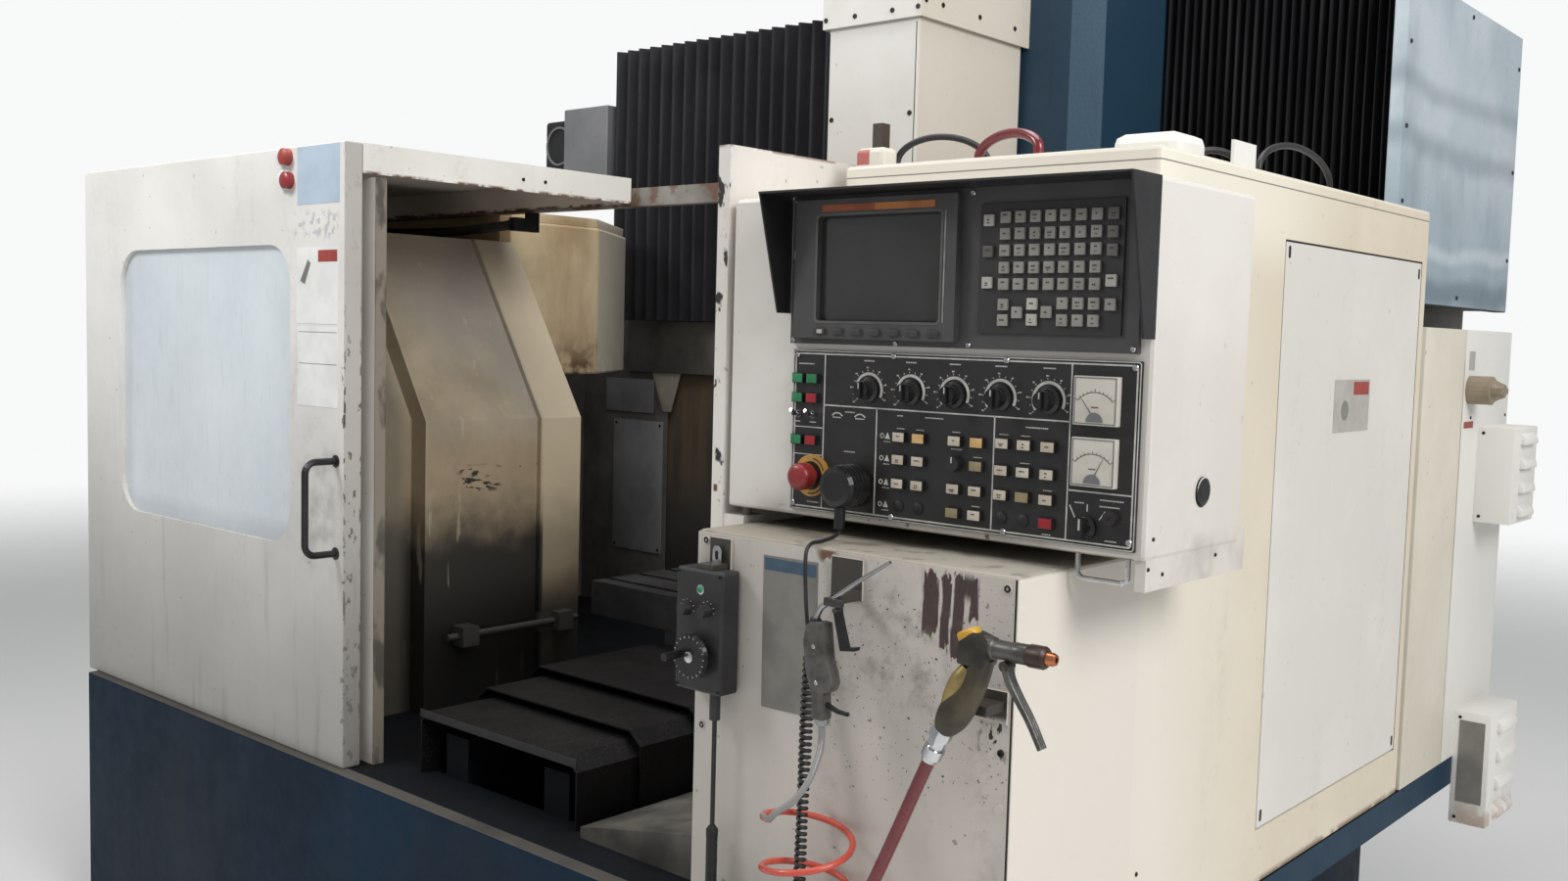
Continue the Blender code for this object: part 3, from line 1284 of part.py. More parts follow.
def build_console(paints):
    """Swivelling console with its screen, keys, switches and knobs."""
    lug_top = CABINET_LEDGE + LUG_RISE
    axis = pivot("console_axis", (PIVOT_X, PIVOT_Y, lug_top + GAP))
    outline = (
        (CONSOLE_LEFT, CONSOLE_FRONT), (CONSOLE_RIGHT, CONSOLE_FRONT), (CONSOLE_RIGHT, WING_BACK),
        (WING_LEFT, WING_BACK), (WING_LEFT, CONSOLE_BACK), (CONSOLE_LEFT, CONSOLE_BACK),
    )
    body = prism(outline, "z", 0.0, CONSOLE_TOP, CONSOLE_EDGE)
    skirt = box(
        (SKIRT_LEFT, CONSOLE_FRONT + CONSOLE_EDGE, -SKIRT_DROP),
        (CONSOLE_RIGHT - LAP * HALF_SHARE, SKIRT_BACK, OVERRUN),
    )
    pin_reach = LEDGE_CLEARANCE - LUG_RISE
    pin = turned(
        ((PIVOT_RADIUS, 0.0), (PIVOT_RADIUS, pin_reach)), (PIVOT_X, PIVOT_Y, GAP - pin_reach),
        (0.0, 0.0, 1.0), KNOB_SEGMENTS,
    )
    plug = turned(
        ((PLUG_PROFILE[0][0], 0.0), *((radius, reach + LAP) for radius, reach in PLUG_PROFILE[1:])),
        (CONSOLE_RIGHT - LAP, PLUG_Y, PLUG_Z), (1.0, 0.0, 0.0), KNOB_SEGMENTS,
    )
    seat("console_housing", joined(body, skirt, pin, plug), paints["white"], axis)

    back = CONSOLE_FRONT - GAP
    top_plate = box(
        (VISOR_LEFT, back - VISOR_REACH, CONSOLE_TOP - VISOR_SHEET), (CONSOLE_RIGHT, back, CONSOLE_TOP)
    )
    sides = []
    for start, low in ((VISOR_LEFT, VISOR_LEFT_BOTTOM), (CONSOLE_RIGHT - VISOR_SHEET, VISOR_RIGHT_BOTTOM)):
        side = (
            (back, CONSOLE_TOP), (back - VISOR_REACH, CONSOLE_TOP),
            (back - VISOR_LOW_REACH, low), (back, low),
        )
        sides.append(prism(side, "x", start, start + VISOR_SHEET))
    seat("console_visor", joined(top_plate, together(*sides)), paints["black"], axis)

    crt_front = back - CRT_PLATE
    crt_top = CONSOLE_TOP - VISOR_SHEET - GAP
    plate = box((CRT_LEFT, crt_front, CRT_BOTTOM), (CRT_RIGHT, back, crt_top))
    left, right, low, high = BEZEL
    bezel = face_box(left, right, low, high, crt_front, BEZEL_THICKNESS)
    bezel_front = crt_front - BEZEL_THICKNESS
    left, right, low, high = SCREEN
    space = box((left, bezel_front - OVERRUN, low), (right, bezel_front + SCREEN_DEPTH, high))
    keys = []
    for n in range(SOFT_KEY_COUNT):
        centre = (SOFT_KEY_LEFT + n * SOFT_KEY_PITCH, SOFT_KEY_Z)
        keys.append(front_button(centre, SOFT_KEY, bezel_front, SOFT_KEY_RISE))
    seat("crt_unit", joined(cut(joined(plate, bezel), space), together(*keys)), paints["black"], axis)

    left, right, low, high = MAT
    mat_front = crt_front - GAP - MAT_THICKNESS
    mat = box((left, mat_front, low), (right, crt_front - GAP, high))
    centres = [(across, up) for across in KEY_COLUMNS_WIDE for up in KEY_ROWS_Z]
    centres += [(across, up) for across in KEY_COLUMNS_NARROW for up in KEY_ROWS_Z + KEY_LOW_ROWS_Z]
    centres += [(KEY_EDGE_X, up) for up in KEY_EDGE_Z]
    centres += list(KEY_START) + list(KEY_LOW)
    caps = [front_button(centre, KEY, mat_front, KEY_RISE) for centre in centres]
    seat("keypad", joined(mat, together(*caps)), paints["keys"], axis)

    left, right, low, high = OPERATOR
    face = back - OPERATOR_THICKNESS
    sink = OPERATOR_THICKNESS * HALF_SHARE
    panel = box((left, face, low), (right, back, high))
    raised = [front_button(centre, BUTTON, face, BUTTON_RISE) for centre in BUTTONS]
    for profile, centre in (
        (TOGGLE_PROFILE, TOGGLES[0]), (TOGGLE_PROFILE, TOGGLES[1]),
        (SMALL_KNOB_PROFILE, SMALL_KNOB), (KEY_LOCK_PROFILE, KEY_LOCK),
    ):
        deeper = ((profile[0][0], 0.0), *((radius, reach + sink) for radius, reach in profile[1:]))
        raised.append(front_turned(deeper, centre, face, sink))
    for low in METERS_Z:
        raised.append(box(
            (METER_LEFT, face - METER_RISE, low), (METER_LEFT + METER_SIZE, face + sink, low + METER_SIZE)
        ))
    collar_top = ESTOP_COLLAR_HEIGHT + sink
    collar = (
        (ESTOP_COLLAR_RADIUS, 0.0), (ESTOP_COLLAR_RADIUS, collar_top),
        (ESTOP_BORE, collar_top), (ESTOP_BORE, 0.0),
    )
    raised.append(front_turned(collar, ESTOP, face, sink, TURN_SEGMENTS, closed=True))
    seat("operator_panel", joined(panel, together(*raised)), paints["black"], axis)

    knob_face = face - GAP
    bar_half, bar_reach, bar_rise = KNOB_BAR
    top = KNOB_PROFILE[-1][1]
    for n in range(KNOB_COUNT):
        centre = (KNOB_LEFT_X + n * KNOB_PITCH, KNOB_Z)
        knob = front_turned(KNOB_PROFILE, centre, knob_face)
        across, up = centre
        grip = box(
            (across - bar_half, knob_face - top - bar_rise, up - bar_reach),
            (across + bar_half, knob_face - top + LAP, up + bar_reach),
        )
        seat(f"override_knob_{n + 1}", joined(knob, grip), paints["black"], axis,
              (across, knob_face, up))
    across, up = SELECTOR
    bar_half, bar_reach, bar_rise = SELECTOR_BAR
    top = SELECTOR_PROFILE[-1][1]
    base = front_turned(SELECTOR_PROFILE, SELECTOR, knob_face)
    grip = box(
        (across - bar_half, knob_face - top - bar_rise, up - bar_reach),
        (across + bar_half, knob_face - top + LAP * HALF_SHARE, up + bar_reach),
    )
    seat("selector_knob", joined(base, grip), paints["black"], axis, (across, knob_face, up))
    across, up = ESTOP
    stem_face = face - ESTOP_TRAVEL - GAP
    stem = ((ESTOP_BORE - GAP, 0.0), (ESTOP_BORE - GAP, ESTOP_STEM_LENGTH))
    seat("estop_button", front_turned((*stem, *ESTOP_HEAD_PROFILE), ESTOP, stem_face, 0.0, TURN_SEGMENTS),
          paints["red"], axis, (across, stem_face, up))

    unit = front_turned(UNIT_PROFILE, (UNIT_X, UNIT_Z), knob_face, 0.0, TURN_SEGMENTS)
    relief_y = knob_face - UNIT_RELIEF_Y
    relief = turned(
        ((UNIT_RELIEF_RADIUS, 0.0), (UNIT_RELIEF_RADIUS, UNIT_Z + UNIT_RELIEF_DROP)),
        (UNIT_X, relief_y, -UNIT_RELIEF_DROP), (0.0, 0.0, 1.0), KNOB_SEGMENTS,
    )
    seat("hand_unit", joined(unit, relief), paints["black"], axis)
    top_z = -GAP
    bar = u_bar(
        (BAR_LEFT, BAR_Y, top_z), ((BAR_LEFT, BAR_Y, -BAR_DROP), (BAR_RIGHT, BAR_Y, -BAR_DROP)),
        (BAR_RIGHT, BAR_Y, top_z), BAR_RADIUS, BAR_BEND,
    )
    seat("console_bar", bar, paints["steel"], axis)


def lever_outline(eye, radius, rest):
    """Return a lever's outline: a round eye over the rest of its points, from left to right."""
    across, up = eye
    outline = []
    for step in range(ROUND_STEPS + 1):
        angle = step / ROUND_STEPS * math.pi
        outline.append((across + radius * math.cos(angle), up + radius * math.sin(angle)))
    return outline + list(rest)


def build_hangers(paints):
    """Pendant and the two guns that hang in front of the cabinet."""
    left, right, low, high = PENDANT
    front = pendant_back() - PENDANT_DEPTH
    body = box((left, front, low), (right, pendant_back(), high), PENDANT_EDGE)
    raised = []
    for profile, centre in (
        (PENDANT_LAMP_PROFILE, PENDANT_LAMP), (PENDANT_KNOB_PROFILE, PENDANT_KNOBS[0]),
        (PENDANT_KNOB_PROFILE, PENDANT_KNOBS[1]),
    ):
        deeper = ((profile[0][0], 0.0), *((radius, reach + LAP) for radius, reach in profile[1:]))
        raised.append(front_turned(deeper, centre, front, LAP))
    middle = pendant_back() - PENDANT_DEPTH * HALF_SHARE
    relief = turned(
        ((PENDANT_RELIEF_RADIUS, 0.0), (PENDANT_RELIEF_RADIUS, low - PENDANT_RELIEF_BOTTOM + LAP)),
        (PENDANT_RELIEF_X, middle, PENDANT_RELIEF_BOTTOM), (0.0, 0.0, 1.0), KNOB_SEGMENTS,
    )
    place("pendant_box", joined(body, together(*raised), relief), paints["black"])
    centre = (WHEEL_X, front - GAP, WHEEL_Z)
    wheel = front_turned(WHEEL_PROFILE, (WHEEL_X, WHEEL_Z), centre[1], 0.0, TURN_SEGMENTS)
    rim = WHEEL_PROFILE[-1][1]
    crank = front_turned(
        ((CRANK_RADIUS, 0.0), (CRANK_RADIUS, CRANK_LENGTH)), (WHEEL_X - CRANK_OFFSET, WHEEL_Z),
        centre[1] - rim + LAP,
    )
    place("pendant_wheel", joined(wheel, crank), paints["black"], pivot("wheel_axis", centre))

    air = prism(AIR_BODY, "y", HANG_Y - AIR_BODY_HALF, HANG_Y + AIR_BODY_HALF)
    across, up = AIR_FITTING
    fitting = turned(
        ((AIR_FITTING_RADIUS, 0.0), (AIR_FITTING_RADIUS, AIR_FITTING_LENGTH)),
        (across, HANG_Y, up), (0.0, 0.0, 1.0), KNOB_SEGMENTS,
    )
    rod = tube(smooth([(across, HANG_Y, up) for across, up in AIR_ROD], 4), AIR_ROD_RADIUS)
    prong = tube([(across, HANG_Y, up) for across, up in AIR_PRONG], AIR_PRONG_RADIUS)
    eye_x, eye_z = AIR_LEVER_EYE
    seat_left, seat_right = AIR_LEVER_SEAT
    seat_floor = eye_z + AIR_LEVER_EYE_RADIUS + GAP
    seat = box(
        (seat_left, HANG_Y - AIR_LEVER_HALF, seat_floor),
        (seat_right, HANG_Y + AIR_LEVER_HALF, seat_floor + AIR_LEVER_SEAT_HEIGHT),
    )
    place("air_gun", joined(air, fitting, rod, prong, seat), paints["grey"])
    hinge = (eye_x, HANG_Y, eye_z)
    outline = lever_outline(AIR_LEVER_EYE, AIR_LEVER_EYE_RADIUS, AIR_LEVER)
    lever = prism(outline, "y", HANG_Y - AIR_LEVER_HALF, HANG_Y + AIR_LEVER_HALF)
    place("air_gun_lever", lever, paints["steel"], pivot("air_lever_axis", hinge))

    grip = prism(COOLANT_GRIP, "y", HANG_Y - COOLANT_GRIP_HALF, HANG_Y + COOLANT_GRIP_HALF, RAM_EDGE)
    start, end = COOLANT_BARREL
    profile = (
        (COOLANT_BARREL_RADIUS, 0.0), (COOLANT_BARREL_RADIUS, COOLANT_NOZZLE_X - start),
        (COOLANT_NOZZLE_RADIUS, COOLANT_NOZZLE_X - start), (COOLANT_NOZZLE_RADIUS, end - start),
        (COOLANT_TIP_RADIUS, end - start), (COOLANT_TIP_RADIUS, COOLANT_TIP_X - start),
    )
    barrel = turned(profile, (start, HANG_Y, COOLANT_BARREL_Z), (1.0, 0.0, 0.0), KNOB_SEGMENTS)
    (from_x, from_z), (to_x, to_z) = COOLANT_FITTING
    fitting_line = Vector((to_x - from_x, 0.0, to_z - from_z))
    fitting = turned(
        ((COOLANT_FITTING_RADIUS, 0.0), (COOLANT_FITTING_RADIUS, fitting_line.length)),
        (from_x, HANG_Y, from_z), fitting_line, KNOB_SEGMENTS,
    )
    place("coolant_gun", joined(grip, barrel, fitting), paints["grey"])
    eye_z = COOLANT_BARREL_Z - COOLANT_BARREL_RADIUS - COOLANT_LEVER_EYE_RADIUS - GAP
    hinge = (COOLANT_LEVER_EYE_X, HANG_Y, eye_z)
    outline = lever_outline((COOLANT_LEVER_EYE_X, eye_z), COOLANT_LEVER_EYE_RADIUS, COOLANT_LEVER)
    lever = prism(outline, "y", HANG_Y - COOLANT_LEVER_HALF, HANG_Y + COOLANT_LEVER_HALF)
    place("coolant_lever", lever, paints["steel"], pivot("coolant_lever_axis", hinge))


def forward(route):
    """Return a route of places in front of the origin."""
    return [(across, -reach, up) for across, reach, up in route]


def air_hose_route():
    """Return the air hose from the gun through its loose coils to the bracket."""
    across, up = AIR_FITTING
    route = [Vector((across, HANG_Y, up - GAP))]
    outlet = [(across, HANG_Y, up - LAP), (across, HANG_Y, up - OVERRUN)]
    route += smooth([*outlet, *forward(AIR_HOSE_ROUTE)], 3)
    for step in range(COIL_STEPS + 1):
        turn = COIL_START_TURN_SHARE + (COIL_TURNS - COIL_START_TURN_SHARE) * step / COIL_STEPS
        angle = -math.tau * turn
        route.append(Vector((
            COIL_X + COIL_RADIUS * math.cos(angle), COIL_Y + COIL_RADIUS * math.sin(angle),
            COIL_TOP - COIL_PITCH * (turn - COIL_START_TURN_SHARE),
        )))
    last = route[-1]
    route.append(Vector((last.x, last.y, COIL_END_Z)))
    route.append(Vector((last.x, last.y, BRACKET_TOP + GAP)))
    return route


def build_cords(paints):
    """Cords and hoses that hang in front of the cabinet."""
    unit_y = CONSOLE_FRONT - GAP - OPERATOR_THICKNESS - GAP - UNIT_RELIEF_Y
    (curly_x, curly_y, curly_z), = forward([CURLY_TOP])
    foot_x, foot_reach = CURLY_BOTTOM
    relief_z = console_floor() - UNIT_RELIEF_DROP
    start = (UNIT_X, unit_y, relief_z - GAP)
    below = (UNIT_X, unit_y, relief_z - LAP)
    above = (curly_x, curly_y, curly_z + LAP)
    lead = [start, *smooth([below, *forward(LEAD_ROUTE), above], 4), (curly_x, curly_y, curly_z + GAP)]
    place("hand_lead", tube(lead, LEAD_RADIUS), paints["black"])
    end = BRACKET_TOP + GAP
    curly = [
        (curly_x, curly_y, curly_z), (curly_x, curly_y, curly_z - OVERRUN),
        (foot_x, -foot_reach, end + OVERRUN), (foot_x, -foot_reach, end),
    ]
    place("curly_cord", tube(curly, CURLY_RADIUS), paints["black"])
    middle = pendant_back() - PENDANT_DEPTH * HALF_SHARE
    thin = tube(
        [
            (PENDANT_RELIEF_X, middle, PENDANT_RELIEF_BOTTOM - GAP),
            (PENDANT_RELIEF_X, middle, SLEEVE_TOP - LAP),
        ],
        CABLE_RADIUS,
    )
    sleeve = tube([(PENDANT_RELIEF_X, middle, SLEEVE_TOP), (PENDANT_RELIEF_X, middle, end)], SLEEVE_RADIUS)
    place("pendant_cable", joined(sleeve, thin), paints["black"])
    (from_x, from_z), (to_x, to_z) = COOLANT_FITTING
    line = Vector((to_x - from_x, 0.0, to_z - from_z)).normalized()
    start = Vector((to_x, HANG_Y, to_z)) + line * GAP
    hose = [start, start + line * OVERRUN]
    hose += [(across, HANG_Y, up) for across, up in COOLANT_HOSE_ROUTE]
    hose += [(COOLANT_HOSE_END_X, HANG_Y, end + OVERRUN), (COOLANT_HOSE_END_X, HANG_Y, end)]
    place("coolant_hose", tube(hose, HOSE_RADIUS), paints["hose_red"])
    place("air_hose", tube(air_hose_route(), AIR_HOSE_RADIUS), paints["hose_orange"])


def main():
    """Build the whole machine."""
    clear_scene()
    paints = {
        "blue": paint("bed_blue", (0.012, 0.06, 0.10), 0.45),
        "saddle": paint("saddle_blue", (0.02, 0.10, 0.22), 0.40),
        "steel_blue": paint("steel_blue", (0.30, 0.40, 0.48), 0.30, 0.4),
        "portal": paint("portal_grey", (0.10, 0.11, 0.12), 0.60),
        "white": paint("sheet_white", (0.62, 0.60, 0.57), 0.45),
        "cream": paint("sheet_cream", (0.60, 0.55, 0.45), 0.50),
        "pale": paint("pale_sheet", (0.45, 0.45, 0.43), 0.55),
        "soot": paint("sooty_sheet", (0.10, 0.09, 0.08), 0.70),
        "dark": paint("dark_steel", (0.04, 0.04, 0.045), 0.50, 0.5),
        "iron": paint("table_iron", (0.20, 0.20, 0.20), 0.45, 0.8),
        "steel": paint("bright_steel", (0.50, 0.50, 0.50), 0.30, 1.0),
        "grey": paint("grey_sheet", (0.25, 0.26, 0.27), 0.50),
        "black": paint("console_black", (0.015, 0.015, 0.017), 0.45),
        "bellows": paint("bellows_black", (0.006, 0.007, 0.010), 0.70),
        "keys": paint("key_grey", (0.30, 0.29, 0.28), 0.50),
        "glass": paint("window_pane", (0.45, 0.52, 0.58), 0.35),
        "tan": paint("switch_tan", (0.28, 0.24, 0.18), 0.55),
        "red": paint("stop_red", (0.35, 0.02, 0.03), 0.40),
        "hose_red": paint("hose_red", (0.16, 0.02, 0.03), 0.35),
        "hose_orange": paint("hose_orange", (0.50, 0.08, 0.05), 0.40),
    }
    build_bed(paints)
    build_enclosure(paints)
    build_portal(paints)
    build_head(paints)
    build_table(paints)
    build_door(paints)
    build_cabinet(paints)
    build_top_cables(paints)
    build_console(paints)
    build_hangers(paints)
    build_cords(paints)


if __name__ == "__main__":
    main()
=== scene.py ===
"""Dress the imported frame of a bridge-type CNC machining centre.

Each sub-assembly is a class that makes its small parts and finishes. X runs to the right
along the front, Y into the machine and Z up, in metres, as in the frame.
"""

import logging
import math
import random
from dataclasses import dataclass, field
from enum import Enum
from typing import Mapping, Optional, Sequence, Union

import bmesh
import bpy
from mathutils import Matrix, Vector


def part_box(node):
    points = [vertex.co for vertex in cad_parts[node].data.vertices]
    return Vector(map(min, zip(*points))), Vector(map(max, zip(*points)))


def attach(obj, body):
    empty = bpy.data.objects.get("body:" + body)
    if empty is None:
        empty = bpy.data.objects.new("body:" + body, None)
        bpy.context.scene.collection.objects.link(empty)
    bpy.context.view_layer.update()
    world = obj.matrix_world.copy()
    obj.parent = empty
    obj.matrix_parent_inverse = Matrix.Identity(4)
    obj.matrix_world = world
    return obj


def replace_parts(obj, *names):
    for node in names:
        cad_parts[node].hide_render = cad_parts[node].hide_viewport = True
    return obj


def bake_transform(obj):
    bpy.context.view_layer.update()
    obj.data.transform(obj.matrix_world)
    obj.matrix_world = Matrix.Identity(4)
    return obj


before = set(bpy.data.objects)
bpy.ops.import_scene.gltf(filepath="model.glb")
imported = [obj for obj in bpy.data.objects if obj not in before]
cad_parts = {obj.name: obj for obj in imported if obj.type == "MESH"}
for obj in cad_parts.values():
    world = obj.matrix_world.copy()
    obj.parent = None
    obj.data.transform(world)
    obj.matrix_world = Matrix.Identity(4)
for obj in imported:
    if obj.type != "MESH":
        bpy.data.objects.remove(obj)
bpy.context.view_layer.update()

log = logging.getLogger("machining_centre")

Colour = tuple[float, float, float]
Place = Sequence[float]
Outline = Sequence[tuple[float, float]]
Value = Union["Wire", float, Sequence[float]]

FRONT = (0.0, -1.0, 0.0)
RIGHT = (1.0, 0.0, 0.0)
DOWN = (0.0, 0.0, -1.0)
SUNK = 0.0002  # How deep a flat mark reaches into the face it lies on.
GUN_Y = -0.23  # The middle of the air gun and the coolant gun.
SHELF_Z = 0.6653  # The front panel's lower shelf, where its cords end.
CABINET_TOP = 1.7703  # The cabinet's top, where the upper cords start and end.


class Axis(Enum):
    """The axis that an outline is swept along, with the places of across, up and along."""

    X = (1, 2, 0)
    Y = (0, 2, 1)
    Z = (0, 1, 2)


class Body(Enum):
    """The frame's bodies that pieces ride on."""

    ROOT = "root_body"
    SADDLE = "saddle_body"
    RAM = "ram_body"
    DOOR = "door_body"
    CONSOLE = "console_body"
    SELECTOR = "selector_body"
    STOP = "estop_body"
    WHEEL = "wheel_body"
    COOLANT_LEVER = "coolant_lever_body"


def linear(colour: Colour) -> Colour:
    """Return the linear values of a screen colour, whose values run from 0 to 255."""
    shares = [value / 255.0 for value in colour]
    return tuple(s / 12.92 if s <= 0.04045 else ((s + 0.055) / 1.055) ** 2.4 for s in shares)


class Wire:
    """A shader socket that takes part in arithmetic."""

    def __init__(self, graph: "Graph", socket: bpy.types.NodeSocket) -> None:
        """Keep the socket and the graph it lies in."""
        self.graph = graph
        self.socket = socket

    def __add__(self, other: Value) -> "Wire":
        """Return the sum."""
        return self.graph.calc("ADD", self, other)

    __radd__ = __add__

    def __sub__(self, other: Value) -> "Wire":
        """Return the difference."""
        return self.graph.calc("SUBTRACT", self, other)

    def __rsub__(self, other: Value) -> "Wire":
        """Return the difference from a number."""
        return self.graph.calc("SUBTRACT", other, self)

    def __mul__(self, other: Value) -> "Wire":
        """Return the product."""
        return self.graph.calc("MULTIPLY", self, other)

    __rmul__ = __mul__


class Graph:
    """The node tree of one finish, with the piece's own coordinates at hand."""

    def __init__(self, name: str) -> None:
        """Start an empty tree under a material's name."""
        self.material = bpy.data.materials.new(name)
        self.material.use_nodes = True
        self.tree = self.material.node_tree
        self.tree.nodes.clear()
        self.place = self.node("ShaderNodeTexCoord", output="Object")
        self.x = self.node("ShaderNodeSeparateXYZ", sockets={0: self.place})
        self.y, self.z = (Wire(self, self.x.socket.node.outputs[n]) for n in (1, 2))

    def node(
        self, kind: str, settings: Optional[Mapping[str, object]] = None,
        sockets: Optional[Mapping[Union[int, str], Value]] = None, output: Union[int, str] = 0
    ) -> Wire:
        """Add a node.

        Args:
            kind: The node's type.
            settings: Its settings, which are set first.
            sockets: The values or links of its inputs.
            output: The output that is wanted.

        Returns:
            That output.
        """
        node = self.tree.nodes.new(kind)
        for key, value in (settings or {}).items():
            setattr(node, key, value)
        for key, value in (sockets or {}).items():
            if isinstance(value, Wire):
                self.tree.links.new(value.socket, node.inputs[key])
            elif isinstance(node.inputs[key].default_value, float):
                node.inputs[key].default_value = value
            else:
                slots = len(node.inputs[key].default_value)
                node.inputs[key].default_value = (*value, 1.0)[:slots]
        return Wire(self, node.outputs[output]) if node.outputs else Wire(self, node.inputs[0])

    def calc(self, operation: str, first: Value, second: Value) -> Wire:
        """Return a Math node's result for two values."""
        return self.node("ShaderNodeMath", {"operation": operation}, {0: first, 1: second})

    def noise(
        self, scale: float, detail: float = 3.0, stretch: Union[float, Colour] = 1.0, rough: float = 0.55
    ) -> Wire:
        """Return noise over the piece.

        Args:
            scale: Features per metre.
            detail: Octaves.
            stretch: How the three axes are scaled first, or Z alone.
            rough: The share of the finer octaves.

        Returns:
            The noise, near a half.
        """
        where = self.place
        if stretch != 1.0:
            scales = (1.0, 1.0, stretch) if isinstance(stretch, float) else stretch
            where = self.node("ShaderNodeVectorMath", {"operation": "MULTIPLY"}, {0: where, 1: scales})
        return self.node("ShaderNodeTexNoise", None, {
            "Vector": where, "Scale": scale, "Detail": detail, "Roughness": rough
        })

    def rise(self, value: Wire, low: float, high: float) -> Wire:
        """Return 0 below low and 1 above high, with a smooth step between."""
        return self.node(
            "ShaderNodeMapRange", {"interpolation_type": "SMOOTHSTEP"},
            {"Value": value, "From Min": low, "From Max": high}
        )

    def flecks(
        self, low: float, high: float, scale: float, detail: float = 3.0,
        stretch: Union[float, Colour] = 1.0, rough: float = 0.55
    ) -> Wire:
        """Return noise that is 0 below low and 1 above high."""
        return self.rise(self.noise(scale, detail, stretch, rough), low, high)

    def fall(self, value: Wire, low: float, high: float) -> Wire:
        """Return 1 below low and 0 above high."""
        return 1.0 - self.rise(value, low, high)

    def span(self, value: Wire, low: float, high: float, blur: float) -> Wire:
        """Return 1 between low and high and 0 outside."""
        return self.rise(value, low - blur, low + blur) * self.fall(value, high - blur, high + blur)

    def blend(self, share: Value, first: Value, second: Value) -> Wire:
        """Return a colour between two colours."""
        return self.node("ShaderNodeMix", {"data_type": "RGBA"}, {0: share, 6: first, 7: second}, output=2)


@dataclass
class Look:
    """What a finish feeds to its shader, as it is built up mark by mark."""

    graph: Graph
    colour: Value
    rough: Value
    height: Value
    metal: Value = 0.0

    def stain(
        self, mask: Value, colour: Colour, rough: Optional[float] = None, sink: float = 0.0,
        metal: Optional[float] = None
    ) -> None:
        """Lay a mark over the finish.

        Args:
            mask: Where the mark is, from 0 to 1.
            colour: The mark's screen colour.
            rough: Its roughness, where that differs.
            sink: How deep it lies, as a share of the bump.
            metal: Its metallic value, where that differs.
        """
        self.colour = self.graph.blend(mask, self.colour, linear(colour))
        if rough is not None:
            self.rough = self.rough + mask * (rough - self.rough)
        if sink:
            self.height = self.height - mask * sink
        if metal is not None:
            self.metal = self.metal + mask * (metal - self.metal)


GRIME = (74, 62, 50)
SOOT = (38, 35, 32)
RUST = (96, 58, 34)


@dataclass(frozen=True)
class Finish:
    """A finish with clouds of a second tone, fine grain, and streaks and specks of dirt.

    Attributes:
        name: The material's name.
        tone: Its main screen colour.
        second: The screen colour of its clouds.
        roughness: Its mean roughness.
        metallic: Its metallic value.
        coat: The weight of its clear coat.
        cloud: Clouds per metre.
        grain: Grains per metre.
        depth: The bump's depth.
        grime: The share of dirt in its streaks.
        chips: The share of dark specks.
        shine: Its specular level.
        dirt: The dirt's screen colour.
    """

    name: str
    tone: Colour
    second: Colour
    roughness: float = 0.5
    metallic: float = 0.0
    coat: float = 0.0
    cloud: float = 2.5
    grain: float = 500.0
    depth: float = 0.00025
    grime: float = 0.25
    chips: float = 0.0
    shine: float = 0.5
    dirt: Colour = GRIME

    def marks(self, look: Look, g: Graph) -> None:
        """Add the marks of one kind of piece; a plain finish has none."""

    def make(self) -> bpy.types.Material:
        """Build the material.

        Returns:
            The material, ready for any piece.
        """
        graph = Graph(self.name)
        cloud = graph.flecks(0.35, 0.65, self.cloud, 5.0)
        look = Look(
            graph, graph.blend(cloud, linear(self.tone), linear(self.second)),
            graph.noise(self.cloud * 8.0, 5.0) * 0.22 + (self.roughness - 0.11),
            graph.noise(self.grain, 2.0), self.metallic
        )
        if self.grime:
            streak = graph.flecks(0.5, 0.78, 4.0, 5.0, (3.0, 3.0, 0.4))
            fine = graph.flecks(0.42, 0.72, 45.0, 6.0, rough=0.7)
            look.stain(streak * fine * self.grime, self.dirt, self.roughness + 0.15)
        if self.chips:
            specks = graph.flecks(0.7, 0.73, 55.0)
            look.stain(specks * self.chips, SOOT, 0.7, 0.6)
        self.marks(look, graph)
        normal = graph.node(
            "ShaderNodeBump", None, {"Strength": 0.6, "Distance": self.depth, "Height": look.height}
        )
        shader = graph.node("ShaderNodeBsdfPrincipled", None, {
            "Base Color": look.colour, "Roughness": look.rough, "Metallic": look.metal,
            "Coat Weight": self.coat, "Coat Roughness": 0.12, "Specular IOR Level": self.shine,
            "Normal": normal
        })
        graph.node("ShaderNodeOutputMaterial", None, {"Surface": shader})
        return graph.material


